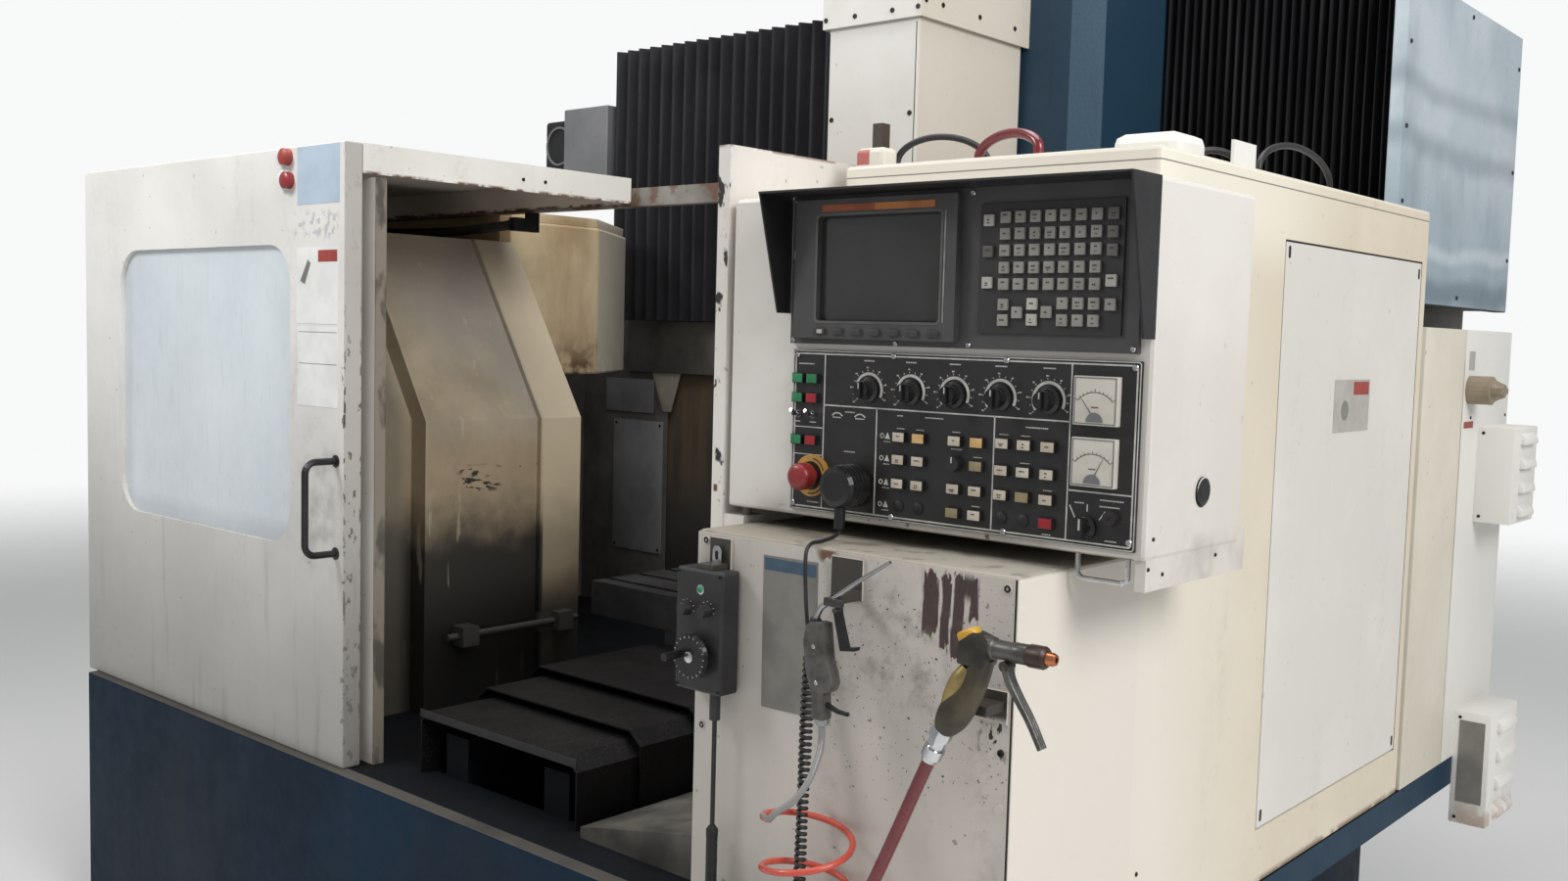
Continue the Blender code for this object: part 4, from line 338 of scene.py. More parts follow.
class DoorSheet(Finish):
    """Door paint, chipped to black along its right edge, dirty near the floor and darkened there by painted
    shade.
    """

    def marks(self, look: Look, g: Graph) -> None:
        """Chip the edge, smear the lower corner, paint shade over the lower part and darken the hand area.
        """
        edge = g.rise(g.x, -0.1775, -0.1752)
        look.stain(edge * 0.65, (150, 144, 137), 0.6)
        worn = g.fall(g.z, 1.3, 1.62) * 0.85 + 0.15
        corner = g.fall(g.y, -0.1275, -0.1235) + g.rise(g.y, -0.0965, -0.0925)
        chips = g.flecks(0.53, 0.57, 42.0, 5.0, 0.6, 0.7)
        look.stain(edge * corner * chips * worn, SOOT, 0.7, 0.8)
        near = g.rise(g.x, -0.188, -0.179) * g.flecks(0.6, 0.64, 60.0, 4.0, 0.6)
        look.stain(near * worn * 0.8, SOOT, 0.7, 0.5)
        rub = g.span(g.x, -0.36, -0.2, 0.02) * g.span(g.z, 1.665, 1.715, 0.012)
        look.stain(rub * g.flecks(0.5, 0.58, 60.0, 4.0) * 0.6, (150, 152, 160), 0.6)
        # Painted shade: the door darkens towards the bottom, where less light falls.
        low = g.fall(g.z, 0.6, 1.4)
        look.stain(low * 0.72, (120, 118, 114), 0.6)
        hand = g.span(g.x, -0.33, -0.2, 0.05) * g.span(g.z, 1.0, 1.28, 0.08)
        look.stain(hand * g.flecks(0.42, 0.7, 18.0, 5.0) * 0.35, GRIME)
        drip = g.flecks(0.58, 0.72, 26.0, 4.0, 0.08) * g.fall(g.z, 0.8, 1.7)
        look.stain(drip * 0.22, GRIME)


class RoofSheet(Finish):
    """Door roof paint, sooty on its inside."""

    def marks(self, look: Look, g: Graph) -> None:
        """Soot the inside and rust the lower lip."""
        inside = g.fall(g.z, 1.8448, 1.8454) * g.fall(g.x, -0.1784, -0.1778) * g.rise(g.x, -1.3372, -1.3366)
        look.stain(inside * (0.3 + 0.5 * g.noise(9.0, 4.0)), (206, 188, 172), 0.75)
        lip = g.fall(g.z, 1.791, 1.797) * g.flecks(0.42, 0.56, 24.0, 5.0)
        look.stain(lip, RUST, 0.8, 0.5)


class WallSheet(Finish):
    """Wall paint, darker inside the working space, with a chipped front edge."""

    def marks(self, look: Look, g: Graph) -> None:
        """Darken the inside, chip the jamb and spot it with rust."""
        # The inside of the working space is darkened, more so towards the bottom.
        inside = g.span(g.x, -1.277, 0.7672, 0.001) * g.rise(g.y, -0.0475, -0.0455)
        mottle = g.flecks(0.3, 0.75, 5.0, 6.0)
        look.stain(inside * (0.6 + 0.3 * mottle), (66, 60, 52), 0.6)
        look.stain(inside * g.fall(g.z, 0.85, 1.35) * 0.85, SOOT, 0.55)
        front = g.fall(g.y, -0.0695, -0.066) * g.rise(g.x, 0.76, 0.764)
        look.stain(front * g.flecks(0.62, 0.66, 34.0, 5.0, 0.5), SOOT, 0.7, 0.7)
        lip = g.rise(g.x, -0.1635, -0.1615) * g.fall(g.x, -0.15, -0.14)
        look.stain(lip * 0.85, (98, 88, 72), 0.6)
        look.stain(lip * g.flecks(0.48, 0.6, 20.0, 5.0, 0.4) * 0.7, SOOT, 0.7)
        hole = g.span(g.x, 0.771, 0.779, 0.002) * g.span(g.z, 1.255, 1.266, 0.002)
        look.stain(hole * g.fall(g.y, -0.068, -0.064), RUST, 0.8)
        top = g.rise(g.z, 1.778, 1.782) * g.flecks(0.45, 0.55, 16.0, 5.0)
        look.stain(top * 0.7, RUST, 0.8)


class GuardSheet(Finish):
    """Bent guard over the working space: soot on worn cream, with scratches and a grey rod."""

    def marks(self, look: Look, g: Graph) -> None:
        """Darken the foot, smear the slope, scratch the face and grey the rod."""
        bright = g.rise(g.y, 0.52, 0.54) + g.fall(g.y, 0.21, 0.225) * 0.3
        look.stain(bright * g.rise(g.z, 0.85, 1.15) * 0.7, (200, 184, 156))
        soot = g.flecks(0.3, 0.62, 3.2, 5.0, 0.55) * (1.0 - bright * 0.7)
        look.stain(soot * g.rise(g.z, 1.15, 1.32) * 0.65, (142, 139, 136), 0.75)
        look.stain(g.fall(g.z, 1.2, 1.28) * (1.0 - bright) * 0.3, (150, 128, 98))
        ragged = g.z + (g.noise(11.0, 6.0) - 0.5) * 0.16
        foot = g.fall(ragged, 0.98, 1.13) * (1.0 - g.rise(g.y, 0.535, 0.541) * 0.7)
        look.stain(foot * 0.95, (26, 25, 24), 0.6)
        marked = g.span(g.y, 0.305, 0.42, 0.01) * g.span(g.z, 1.118, 1.176, 0.008)
        look.stain(marked * g.flecks(0.55, 0.59, 52.0, 3.0, (1.0, 0.6, 1.6)), SOOT, 0.7)
        scratch = g.flecks(0.66, 0.7, 34.0, 3.0, 0.12)
        look.stain(scratch * 0.5, (176, 164, 142), 0.6, 0.4)
        nick = g.flecks(0.66, 0.69, 13.0, 6.0, (1.0, 1.3, 1.0), 0.7) * g.span(g.z, 1.0, 1.35, 0.05)
        look.stain(nick, SOOT, 0.8, 0.8)
        look.stain(g.fall(g.z, 0.8, 0.93) * 0.85, (26, 25, 24), 0.5)
        look.stain(g.fall(g.y, 0.17, 0.222) * 0.7, (88, 83, 73), 0.6)
        rod = g.rise(g.x, -0.3985, -0.397) * g.span(g.z, 0.766, 0.814, 0.002)
        look.stain(rod * 0.85, (72, 71, 68), 0.4)


class MagazineSheet(Finish):
    """Cream cover, stained brown and rusty along its lower edge."""

    def marks(self, look: Look, g: Graph) -> None:
        """Run brown stains down the sides, rust the lower edge and paint light on the side past y 0.98."""
        runs = g.flecks(0.38, 0.66, 8.0, 5.0, 0.3)
        look.stain(runs * 0.45, (140, 108, 70), 0.6)
        low = g.fall(g.z, 1.38, 1.5) * g.flecks(0.36, 0.56, 22.0, 5.0)
        look.stain(low, (86, 60, 36), 0.8, 0.5)
        # Painted light: the side past y 0.98 is painted paler, as if lit.
        look.stain(g.rise(g.y, 0.978, 0.984) * 0.8, (214, 206, 190))


class PanelSheet(Finish):
    """Front panel paint with dark scrape marks, oily smears and rust."""

    def scrape(self, g: Graph, left: float, right: float, low: float, high: float) -> Wire:
        """Return the mask of one ragged vertical scrape between its edges and ends."""
        across = g.x + (g.noise(85.0, 4.0, 0.18) - 0.5) * 0.02
        up = g.z + (g.noise(120.0, 3.0, 0.4) - 0.5) * 0.05
        return g.span(across, left, right, 0.0012) * g.span(up, low, high, 0.002)

    def marks(self, look: Look, g: Graph) -> None:
        """Scrape, smear and rust the panel, and paint shade towards its left end."""
        # Painted shade: the panel darkens towards its left end.
        look.stain(g.fall(g.x, 0.85, 1.25) * 0.16, (150, 146, 140))
        for spot in (
            (1.245, 1.267, 1.124, 1.2), (1.273, 1.2865, 1.108, 1.202), (1.29, 1.311, 1.1, 1.204),
            (1.317, 1.3265, 1.15, 1.202)
        ):
            look.stain(self.scrape(g, *spot), (72, 54, 54), 0.7, 0.5)
        streaks = g.span(g.x, 1.245, 1.33, 0.006) * g.span(g.z, 1.175, 1.205, 0.008)
        look.stain(streaks * g.flecks(0.55, 0.6, 150.0, 2.0, 0.05), (64, 52, 50), 0.7)
        flecks = g.flecks(0.56, 0.6, 70.0, 4.0, 0.6)
        tail = g.span(g.x, 1.338, 1.374, 0.008) * g.span(g.z, 0.965, 1.075, 0.02)
        look.stain(tail * flecks, SOOT, 0.7)
        oil = g.span(g.x, 1.09, 1.32, 0.06) * g.span(g.z, 1.02, 1.19, 0.06)
        look.stain(oil * g.flecks(0.44, 0.72, 32.0, 6.0, rough=0.7) * 0.5, (96, 86, 74), 0.45)
        dots = g.flecks(0.68, 0.71, 190.0, 2.0) * g.span(g.x, 1.06, 1.38, 0.03)
        look.stain(dots * g.span(g.z, 0.9, 1.2, 0.05), SOOT, 0.7)
        rust = g.span(g.x, 1.07, 1.1, 0.008) * g.rise(g.z, 1.188, 1.2)
        look.stain(rust * g.flecks(0.4, 0.5, 60.0, 4.0), (110, 80, 62), 0.7)
        shelf = g.span(g.z, 0.64, 0.6655, 0.001) * g.fall(g.y, -0.1735, -0.1725)
        look.stain(shelf * 0.8, (60, 58, 55), 0.6)
        hooks = g.rise(g.z, 1.03, 1.04) * g.fall(g.y, -0.1735, -0.1725)
        look.stain(hooks, (72, 68, 62), 0.45, 0.0, 0.4)


class CabinetSheet(Finish):
    """Cabinet paint: cream sides, a whiter front and a grimy ledge."""

    def marks(self, look: Look, g: Graph) -> None:
        """Whiten the front, blacken the ledge, paint light on the side's upper band and brown the foot."""
        side = g.rise(g.x, 1.383, 1.3848)
        look.stain((1.0 - side) * 0.85, (219, 214, 203))
        ledge = g.span(g.z, 1.2075, 1.2135, 0.001) * g.fall(g.y, 0.15, 0.152)
        grime = g.fall(g.x, 0.9, 1.45) * 0.35 + 0.55
        look.stain(ledge * grime, (142, 134, 120), 0.75)
        look.stain(ledge * g.flecks(0.52, 0.7, 24.0, 5.0) * 0.4, SOOT, 0.8)
        pale = side * g.fall(g.y, 0.18, 0.62)
        look.stain(pale * 0.75, (223, 219, 207))
        # Painted light: the upper band of the side is paler, where light falls from above.
        look.stain(side * g.rise(g.z, 1.58, 1.7) * g.fall(g.y, 0.5, 0.9) * 0.6, (236, 232, 216))
        near = side * g.fall(g.y, 0.146, 0.151)
        look.stain(near * 0.5, (216, 208, 200))
        back = g.span(g.z, 1.2075, 1.26, 0.004) * g.rise(g.y, 0.13, 0.149) * g.fall(g.x, 1.38, 1.384)
        look.stain(back * 0.5, GRIME, 0.7)
        foot = g.fall(g.z, 0.62, 0.632) * g.flecks(0.36, 0.5, 14.0, 5.0)
        look.stain(foot * 0.8, (104, 76, 52), 0.7)
        lid = g.span(g.z, 1.7495, 1.7515, 0.0004)
        look.stain(lid * 0.8, (70, 64, 56), 0.7, 0.8)
        tops = g.rise(g.z, 1.768, 1.7695) * g.fall(g.z, 1.7705, 1.7715)
        look.stain(tops * g.flecks(0.4, 0.7, 6.0, 5.0) * 0.5, GRIME, 0.7)
        upper = g.rise(g.z, 1.772, 1.7735)
        look.stain(upper * g.rise(g.x, 1.0, 1.05) * 0.8, (232, 231, 227))
        red = g.span(g.x, 0.845, 0.872, 0.001) * g.span(g.y, 0.164, 0.167, 0.001)
        look.stain(upper * red * 0.85, (170, 48, 44))
        post = g.span(g.x, 0.841, 0.8625, 0.0004) * g.span(g.y, 0.2095, 0.2305, 0.0004)
        look.stain(upper * post, (64, 52, 42), 0.6)


class BluePaint(Finish):
    """Casting paint on the bed, oily, with a bare grey strip along the apron's top."""

    def marks(self, look: Look, g: Graph) -> None:
        """Bare the upper edge, paint shade over the inner floor and the pan, and oil the apron."""
        strip = g.rise(g.z, 0.6128, 0.6138) * g.fall(g.y, -0.12, -0.118) * g.fall(g.x, 0.8, 0.82)
        look.stain(strip * 0.9, (84, 80, 74), 0.45)
        # Painted shade: the bed's floor inside the working space is near black.
        floor = g.rise(g.z, 0.6135, 0.6145) * g.rise(g.y, -0.119, -0.117)
        look.stain(floor * (0.75 + 0.25 * g.noise(12.0, 4.0)), (22, 20, 18), 0.65)
        # Painted shade: the pan under the way covers is near black.
        pan = g.span(g.x, -0.045, 0.405, 0.002) * g.span(g.y, -0.001, 1.351, 0.002) * g.rise(g.z, 0.48, 0.5)
        look.stain(pan * 0.9, (22, 21, 20), 0.6)
        oil = g.flecks(0.44, 0.66, 3.0, 6.0, 0.35, 0.6)
        look.stain(oil * 0.4, (24, 30, 36), 0.3)
        shelf = g.rise(g.x, 1.384, 1.3845) * g.rise(g.z, 0.55, 0.56)
        look.stain(shelf * 0.55, (34, 64, 86), 0.4)
        under = g.fall(g.z, 0.02, 0.06)
        look.stain(under * 0.7, (60, 58, 56), 0.6)


class SaddlePaint(Finish):
    """Saddle paint, with painted light on its chamfer and painted shade on its right side."""

    def marks(self, look: Look, g: Graph) -> None:
        """Paint light and shade on the three facets."""
        # Painted light and shade: the chamfer is lighter and the right side darker than the front.
        side = g.rise(g.x, 0.7662, 0.7668)
        chamfer = g.rise(g.x, 0.7095, 0.7105) * (1.0 - side)
        look.stain(chamfer * 0.6, (58, 82, 100), 0.35)
        look.stain(side * 0.75, (30, 54, 72), 0.4)
        drips = g.flecks(0.6, 0.74, 20.0, 4.0, 0.07)
        look.stain(drips * 0.25, (22, 34, 44), 0.5)


class BrightSheet(Finish):
    """Pale steel-blue sheet with painted reflections: lighter at the top, with soft bands across it."""

    def marks(self, look: Look, g: Graph) -> None:
        """Paint the sheet lighter at the top and lay its bands of painted reflection and highlight."""
        # Painted light: the sheet is lighter at the top and darker lower down.
        look.stain(g.fall(g.z, 1.6, 2.05) * 0.6, (124, 146, 158))
        # Painted reflections: soft darker bands and one pale highlight band across the sheet.
        wave = g.z + (g.noise(2.2, 3.0) - 0.5) * 0.1
        for low, high, share in ((2.02, 2.06, 0.35), (1.9, 1.945, 0.4), (1.6, 1.655, 0.7)):
            look.stain(g.span(wave, low, high, 0.02) * share, (92, 112, 124))
        look.stain(g.span(wave, 1.7, 1.73, 0.012) * 0.6, (206, 216, 222), 0.25)
        look.stain(g.fall(g.z, 1.5985, 1.6), (40, 46, 50), 0.7)
        oil = g.flecks(0.5, 0.75, 7.0, 6.0, 0.5)
        look.stain(oil * 0.25, (80, 84, 86), 0.45)


class HeadSheet(Finish):
    """Head cover paint: white in front, cream on its right side."""

    def marks(self, look: Look, g: Graph) -> None:
        """Tone the sides and oil the lower end."""
        side = g.rise(g.x, 0.5965, 0.5975)
        look.stain(side * 0.55, (206, 194, 176))
        low = g.fall(g.z, 1.5, 1.72) * g.flecks(0.4, 0.65, 16.0, 5.0, 0.4)
        look.stain(low * 0.7, (96, 84, 68), 0.5)


class PortalPaint(Finish):
    """Portal paint in the shade, sooty, with a beige patch where coolant dried."""

    def marks(self, look: Look, g: Graph) -> None:
        """Lay the dried patch and its runs, and blacken the feet."""
        slope = g.x + (g.z - 1.5) * 0.35
        patch = g.span(slope, -0.7, -0.6, 0.01) * g.span(g.z, 1.34, 1.6, 0.02)
        look.stain(patch * g.fall(g.y, 1.455, 1.46) * 0.8, (120, 104, 80), 0.7)
        runs = g.flecks(0.36, 0.6, 16.0, 4.0, 0.06) * g.fall(g.y, 1.47, 1.49)
        look.stain(runs * g.span(g.z, 1.0, 1.42, 0.1) * 0.7, (146, 122, 94), 0.7)
        look.stain(g.fall(g.z, 0.7, 1.1) * 0.7, (40, 38, 36), 0.5)
        frame_edge = g.span(g.z, 1.585, 1.605, 0.004)
        look.stain(frame_edge * 0.5, (96, 90, 80), 0.6)


class FloorSheet(Finish):
    """Worn floor sheet with two faint crossing bands."""

    def marks(self, look: Look, g: Graph) -> None:
        """Cross the bands and oil the lower side."""
        for slope, shift in ((0.45, 0.1), (-0.35, 0.62)):
            line = g.y - g.x * slope
            look.stain(g.span(line, shift, shift + 0.03, 0.006) * 0.5, (112, 110, 104))
        look.stain(g.flecks(0.45, 0.7, 9.0, 6.0) * 0.6, (44, 43, 41), 0.4)


class Cloth(Finish):
    """Coated bellows cloth with dust on the folds, and painted shade on the right bellows."""

    def marks(self, look: Look, g: Graph) -> None:
        """Dust the tips of the folds, paint shade over the right bellows and weave the cloth."""
        tip = g.fall(g.y, 1.3505, 1.357)
        dust = g.flecks(0.42, 0.7, 14.0, 5.0, 0.25)
        look.stain(tip * (0.15 + dust * 0.3), (60, 60, 64), 0.7)
        # Painted shade: the right bellows is darkened.
        look.stain(g.rise(g.x, 0.7, 0.76) * 0.7, (10, 10, 12))
        weave = g.noise(1500.0, 1.0, 0.5)
        look.height = look.height * 0.6 + weave * 0.4


class Pane(Finish):
    """Frosted window with scratches and painted shade along its left and lower edges."""

    def marks(self, look: Look, g: Graph) -> None:
        """Frost the middle, paint shade along the left and lower edges and run fine scratches over it."""
        haze = g.flecks(0.35, 0.7, 3.0, 6.0, 0.8, 0.7)
        look.stain(haze * 0.6, (216, 222, 226), 0.35)
        lines = g.flecks(0.6, 0.68, 85.0, 3.0, 0.1)
        look.stain(lines * 0.35, (180, 186, 190), 0.3)
        speck = g.flecks(0.64, 0.7, 260.0, 2.0) * g.fall(g.z, 1.1, 1.5)
        look.stain(speck * 0.4, (150, 154, 156), 0.5)
        # Painted shade where the pane sits in its recess, along the left and lower edges.
        rim = g.fall(g.z, 1.055, 1.1) + g.fall(g.x, -1.13, -1.09)
        look.stain(rim * 0.35, (150, 156, 160))


class ConsoleSheet(Finish):
    """Console paint, rubbed grey at the lower lip, with chipped corners."""

    def marks(self, look: Look, g: Graph) -> None:
        """Paint shade on the underside, chip the corners, rub the lip and blacken the side plug."""
        # Painted shade: the console's underside is darkened.
        under = g.fall(g.z, 1.236, 1.2385) * g.fall(g.x, 1.482, 1.484)
        look.stain(under * 0.8, (88, 82, 74), 0.7)
        chips = g.flecks(0.62, 0.66, 46.0, 5.0) * g.fall(g.z, 1.24, 1.252) * g.fall(g.x, 1.3, 1.36)
        look.stain(chips * 0.8, SOOT, 0.7, 0.6)
        lip = g.fall(g.z, 1.24, 1.27) * g.flecks(0.4, 0.7, 9.0, 5.0)
        look.stain(lip * 0.3, GRIME)
        across, up = g.y - 0.0775, g.z - 1.311
        plug = g.fall(across * across + up * up, 0.00035, 0.00039) * g.rise(g.x, 1.4, 1.42)
        look.stain(plug, (24, 24, 25), 0.5)


class RearSheet(Finish):
    """Rear cabinet paint: cream in front, whiter behind a stained joint."""

    def marks(self, look: Look, g: Graph) -> None:
        """Whiten the rear part and stain the joint."""
        look.stain(g.rise(g.y, 1.56, 1.562) * 0.75, (224, 223, 219))
        joint = g.span(g.y, 1.556, 1.561, 0.0015) * g.flecks(0.3, 0.55, 9.0, 4.0, 0.3)
        look.stain(joint * 0.85, (122, 94, 66), 0.7)
        low = g.fall(g.z, 0.47, 0.56) * g.rise(g.y, 1.6, 1.62)
        look.stain(low * g.flecks(0.4, 0.6, 24.0, 5.0) * 0.6, (150, 112, 80), 0.7)


class TableIron(Finish):
    """Ground table top with fine lines along the slots and oil stains."""

    def marks(self, look: Look, g: Graph) -> None:
        """Draw the grinding lines and the stains."""
        lines = g.noise(260.0, 2.0, (0.02, 1.0, 1.0))
        look.height = look.height * 0.3 + lines * 0.7
        look.stain(g.flecks(0.52, 0.66, 10.0, 6.0) * 0.6, (70, 60, 48), 0.5)


class AirHose(Finish):
    """Orange spiral hose whose upper stretch is grey."""

    def marks(self, look: Look, g: Graph) -> None:
        """Leave the upper stretch grey."""
        look.stain(g.rise(g.z, 0.868, 0.872), (132, 130, 128), 0.4)


class KeyMat(Finish):
    """Dark key mat whose keys stand out pale."""

    def marks(self, look: Look, g: Graph) -> None:
        """Darken all but the keys' faces."""
        look.stain(g.rise(g.y, -0.0849, -0.0847), (44, 43, 42), 0.5)


class Chips(Finish):
    """Oily sheet steel, made near black by painted shade, under a litter of fine chips."""

    def marks(self, look: Look, g: Graph) -> None:
        """Scatter the chips."""
        bits = g.flecks(0.6, 0.66, 240.0, 3.0) * g.flecks(0.42, 0.6, 7.0, 4.0)
        look.stain(bits * 0.5, (78, 74, 68), 0.5, -0.8)


class Stock(Enum):
    """Every finish of the machine, by its use."""

    DOOR = DoorSheet("door_paint", (221, 219, 214), (206, 204, 199), 0.42, chips=0.5)
    ROOF = RoofSheet("roof_paint", (228, 226, 219), (214, 211, 203), 0.45, chips=0.5)
    WALL = WallSheet("wall_paint", (221, 216, 209), (210, 204, 195), 0.5, chips=0.4)
    GUARD = GuardSheet("guard_soot", (176, 159, 132), (150, 135, 111), 0.6, cloud=5.0, grime=0.4)
    MAGAZINE = MagazineSheet("magazine_cream", (206, 186, 152), (186, 166, 132), 0.5, cloud=6.0, grime=0.35)
    FLOOR = FloorSheet("floor_sheet", (106, 103, 96), (82, 80, 75), 0.45, cloud=6.0, grime=0.5)
    PORTAL = PortalPaint(
        "portal_paint", (112, 109, 104), (92, 90, 86), 0.55, grime=0.5, shine=0.2, dirt=SOOT
    )
    SHADE = Finish(
        "rear_sheet", (134, 131, 126), (104, 102, 98), 0.6, cloud=5.0, grime=0.5, shine=0.2, dirt=SOOT
    )
    ACCESS = Finish(
        "access_plate", (176, 176, 178), (150, 150, 152), 0.5, cloud=5.0, grime=0.5, shine=0.3, dirt=SOOT
    )
    BLUE = BluePaint(
        "bed_blue", (11, 37, 56), (8, 27, 42), 0.5, chips=0.5, depth=0.0006, grain=180.0, shine=0.08
    )
    SADDLE = SaddlePaint(
        "saddle_blue", (46, 70, 88), (38, 60, 78), 0.4, grain=160.0, depth=0.0005, shine=0.25
    )
    BRIGHT = BrightSheet("steel_blue", (200, 210, 217), (176, 190, 199), 0.3, metallic=0.25, cloud=3.0)
    HEAD = HeadSheet("head_white", (213, 210, 204), (202, 198, 190), 0.4, chips=0.3)
    PANEL = PanelSheet("panel_paint", (204, 197, 188), (188, 181, 172), 0.42, chips=0.5, grime=0.35)
    CABINET = CabinetSheet("cabinet_cream", (216, 205, 185), (208, 196, 175), 0.45, chips=0.25)
    COVER = Finish("cover_white", (217, 213, 206), (209, 205, 197), 0.45, chips=0.2, grime=0.15)
    REAR = RearSheet("rear_cream", (211, 205, 190), (200, 193, 177), 0.45, chips=0.3)
    CONSOLE = ConsoleSheet("console_paint", (219, 214, 208), (207, 201, 193), 0.42, chips=0.15, grime=0.18)
    GREY = Finish("grey_sheet", (122, 123, 125), (104, 106, 108), 0.45, chips=0.4)
    TABLE = TableIron("table_iron", (96, 96, 97), (74, 74, 75), 0.4, metallic=0.6, cloud=6.0, dirt=SOOT)
    # Painted shade: the way covers' near-black tone stands in for the shade in the working space.
    STEEL = Chips(
        "cover_steel", (25, 24, 24), (17, 16, 16), 0.6, metallic=0.1, cloud=8.0, shine=0.2, dirt=SOOT
    )
    BARE = Finish("bare_steel", (176, 176, 176), (150, 150, 150), 0.28, metallic=0.95, cloud=20.0, grime=0.1)
    CHROME = Finish("chrome", (205, 205, 207), (188, 188, 190), 0.16, metallic=1.0, cloud=30.0, grime=0.08)
    DARK_STEEL = Finish("dark_steel", (52, 52, 54), (40, 40, 42), 0.42, metallic=0.6, cloud=14.0)
    SCREW = Finish("black_screw", (34, 32, 31), (24, 23, 22), 0.45, metallic=0.4, cloud=90.0, grime=0.0)
    PANE = Pane("frosted_pane", (200, 206, 210), (190, 197, 202), 0.3, coat=0.15, grime=0.0, cloud=1.6)
    RUBBER = Finish(
        "black_rubber", (30, 30, 31), (22, 22, 23), 0.6, cloud=18.0, grime=0.12, dirt=(90, 86, 80)
    )
    CORD = Finish("cord_rubber", (34, 34, 36), (26, 26, 28), 0.45, cloud=30.0, grime=0.15, dirt=(96, 92, 86))
    CLOTH = Cloth(
        "bellows_cloth", (36, 36, 40), (27, 27, 30), 0.6, cloud=5.0, grime=0.15, shine=0.2, dirt=(58, 57, 56)
    )
    GLOSS = Finish(
        "gloss_black", (30, 30, 31), (22, 22, 23), 0.24, cloud=16.0, grime=0.15, dirt=(80, 76, 70)
    )
    BLACK = Finish(
        "black_plastic", (42, 42, 43), (33, 33, 34), 0.45, cloud=16.0, grain=900.0, grime=0.2,
        dirt=(88, 84, 78)
    )
    OPERATOR = Finish(
        "operator_plate", (38, 36, 35), (30, 29, 28), 0.4, cloud=20.0, grime=0.25, dirt=(84, 80, 74)
    )
    CRT = Finish(
        "crt_grey", (72, 71, 70), (64, 63, 62), 0.5, cloud=14.0, grain=1100.0, grime=0.25, dirt=(98, 92, 84)
    )
    SCREEN = Finish(
        "dark_screen", (52, 52, 51), (46, 46, 45), 0.18, coat=0.3, cloud=8.0, grime=0.1, dirt=(84, 82, 78)
    )
    VISOR = Finish("visor_black", (34, 34, 35), (27, 27, 28), 0.4, cloud=10.0, chips=0.4, dirt=(84, 80, 74))
    KEY = Finish("key_grey", (150, 147, 141), (136, 132, 126), 0.5, cloud=26.0, grime=0.4, dirt=(84, 78, 70))
    KEY_PALE = Finish("key_pale", (186, 183, 176), (172, 168, 160), 0.5, cloud=30.0, grime=0.35)
    BUTTON = Finish("button_cream", (196, 186, 170), (182, 170, 152), 0.4, cloud=40.0, grime=0.4)
    LIT = Finish("button_amber", (214, 178, 122), (200, 160, 104), 0.35, cloud=40.0, grime=0.3)
    OLIVE = Finish("button_olive", (150, 138, 104), (134, 124, 92), 0.4, cloud=40.0, grime=0.3)
    GREEN = Finish("button_green", (44, 128, 84), (36, 112, 72), 0.35, cloud=40.0, grime=0.25)
    CRIMSON = Finish("button_red", (164, 30, 44), (146, 26, 38), 0.35, cloud=40.0, grime=0.25)
    PRINT = Finish("white_print", (200, 198, 192), (176, 174, 168), 0.5, cloud=60.0, grime=0.4)
    STOP = Finish("stop_red", (138, 36, 38), (120, 30, 32), 0.38, coat=0.2, cloud=30.0, grime=0.2)
    YELLOW = Finish("ring_yellow", (190, 146, 70), (172, 128, 58), 0.45, cloud=40.0, grime=0.4)
    METER = Finish("meter_face", (204, 199, 188), (194, 188, 176), 0.35, coat=0.3, cloud=20.0, grime=0.2)
    STRIP = Finish("amber_strip", (190, 122, 62), (160, 96, 50), 0.45, cloud=14.0, grime=0.35)
    TAN = Finish("switch_tan", (146, 134, 112), (130, 118, 98), 0.5, cloud=20.0, grime=0.4)
    HOSE = Finish("hose_crimson", (120, 26, 36), (102, 20, 30), 0.25, coat=0.5, cloud=16.0, grime=0.2)
    AIR_HOSE = AirHose("hose_orange", (204, 84, 66), (190, 72, 56), 0.3, coat=0.3, cloud=16.0, grime=0.15)
    BRASS = Finish(
        "gun_gold", (158, 136, 84), (112, 98, 66), 0.36, metallic=0.5, cloud=28.0, grime=0.7,
        dirt=(64, 58, 46)
    )
    OLD_GREY = Finish(
        "gun_grey", (100, 98, 95), (68, 66, 63), 0.36, metallic=0.5, cloud=30.0, grime=0.7, dirt=(46, 43, 39)
    )
    COPPER = Finish("copper_tip", (196, 124, 88), (172, 102, 70), 0.25, metallic=0.9, cloud=60.0, grime=0.1)
    NOZZLE = Finish("nozzle_brown", (66, 48, 40), (52, 38, 32), 0.4, metallic=0.3, cloud=60.0)
    CAP = Finish("cap_yellow", (206, 160, 50), (190, 140, 40), 0.4, cloud=40.0, grime=0.5)
    PLATE = Finish("bare_plate", (176, 172, 164), (164, 159, 150), 0.4, cloud=16.0, grime=0.3)
    PLATE_BLUE = Finish("blue_plate", (174, 188, 202), (160, 176, 192), 0.4, cloud=10.0, grime=0.3)
    SHEET_GREY = Finish(
        "grey_plate", (134, 131, 124), (118, 115, 109), 0.45, metallic=0.2, cloud=12.0, grime=0.5
    )
    HEADER = Finish("header_blue", (70, 92, 112), (60, 80, 98), 0.45, cloud=20.0, grime=0.4)
    RED_MARK = Finish("red_mark", (158, 62, 52), (140, 52, 44), 0.45, cloud=30.0, grime=0.4)
    KEY_MAT = KeyMat("key_mat", (150, 147, 141), (136, 132, 126), 0.5, cloud=20.0, grime=0.3)
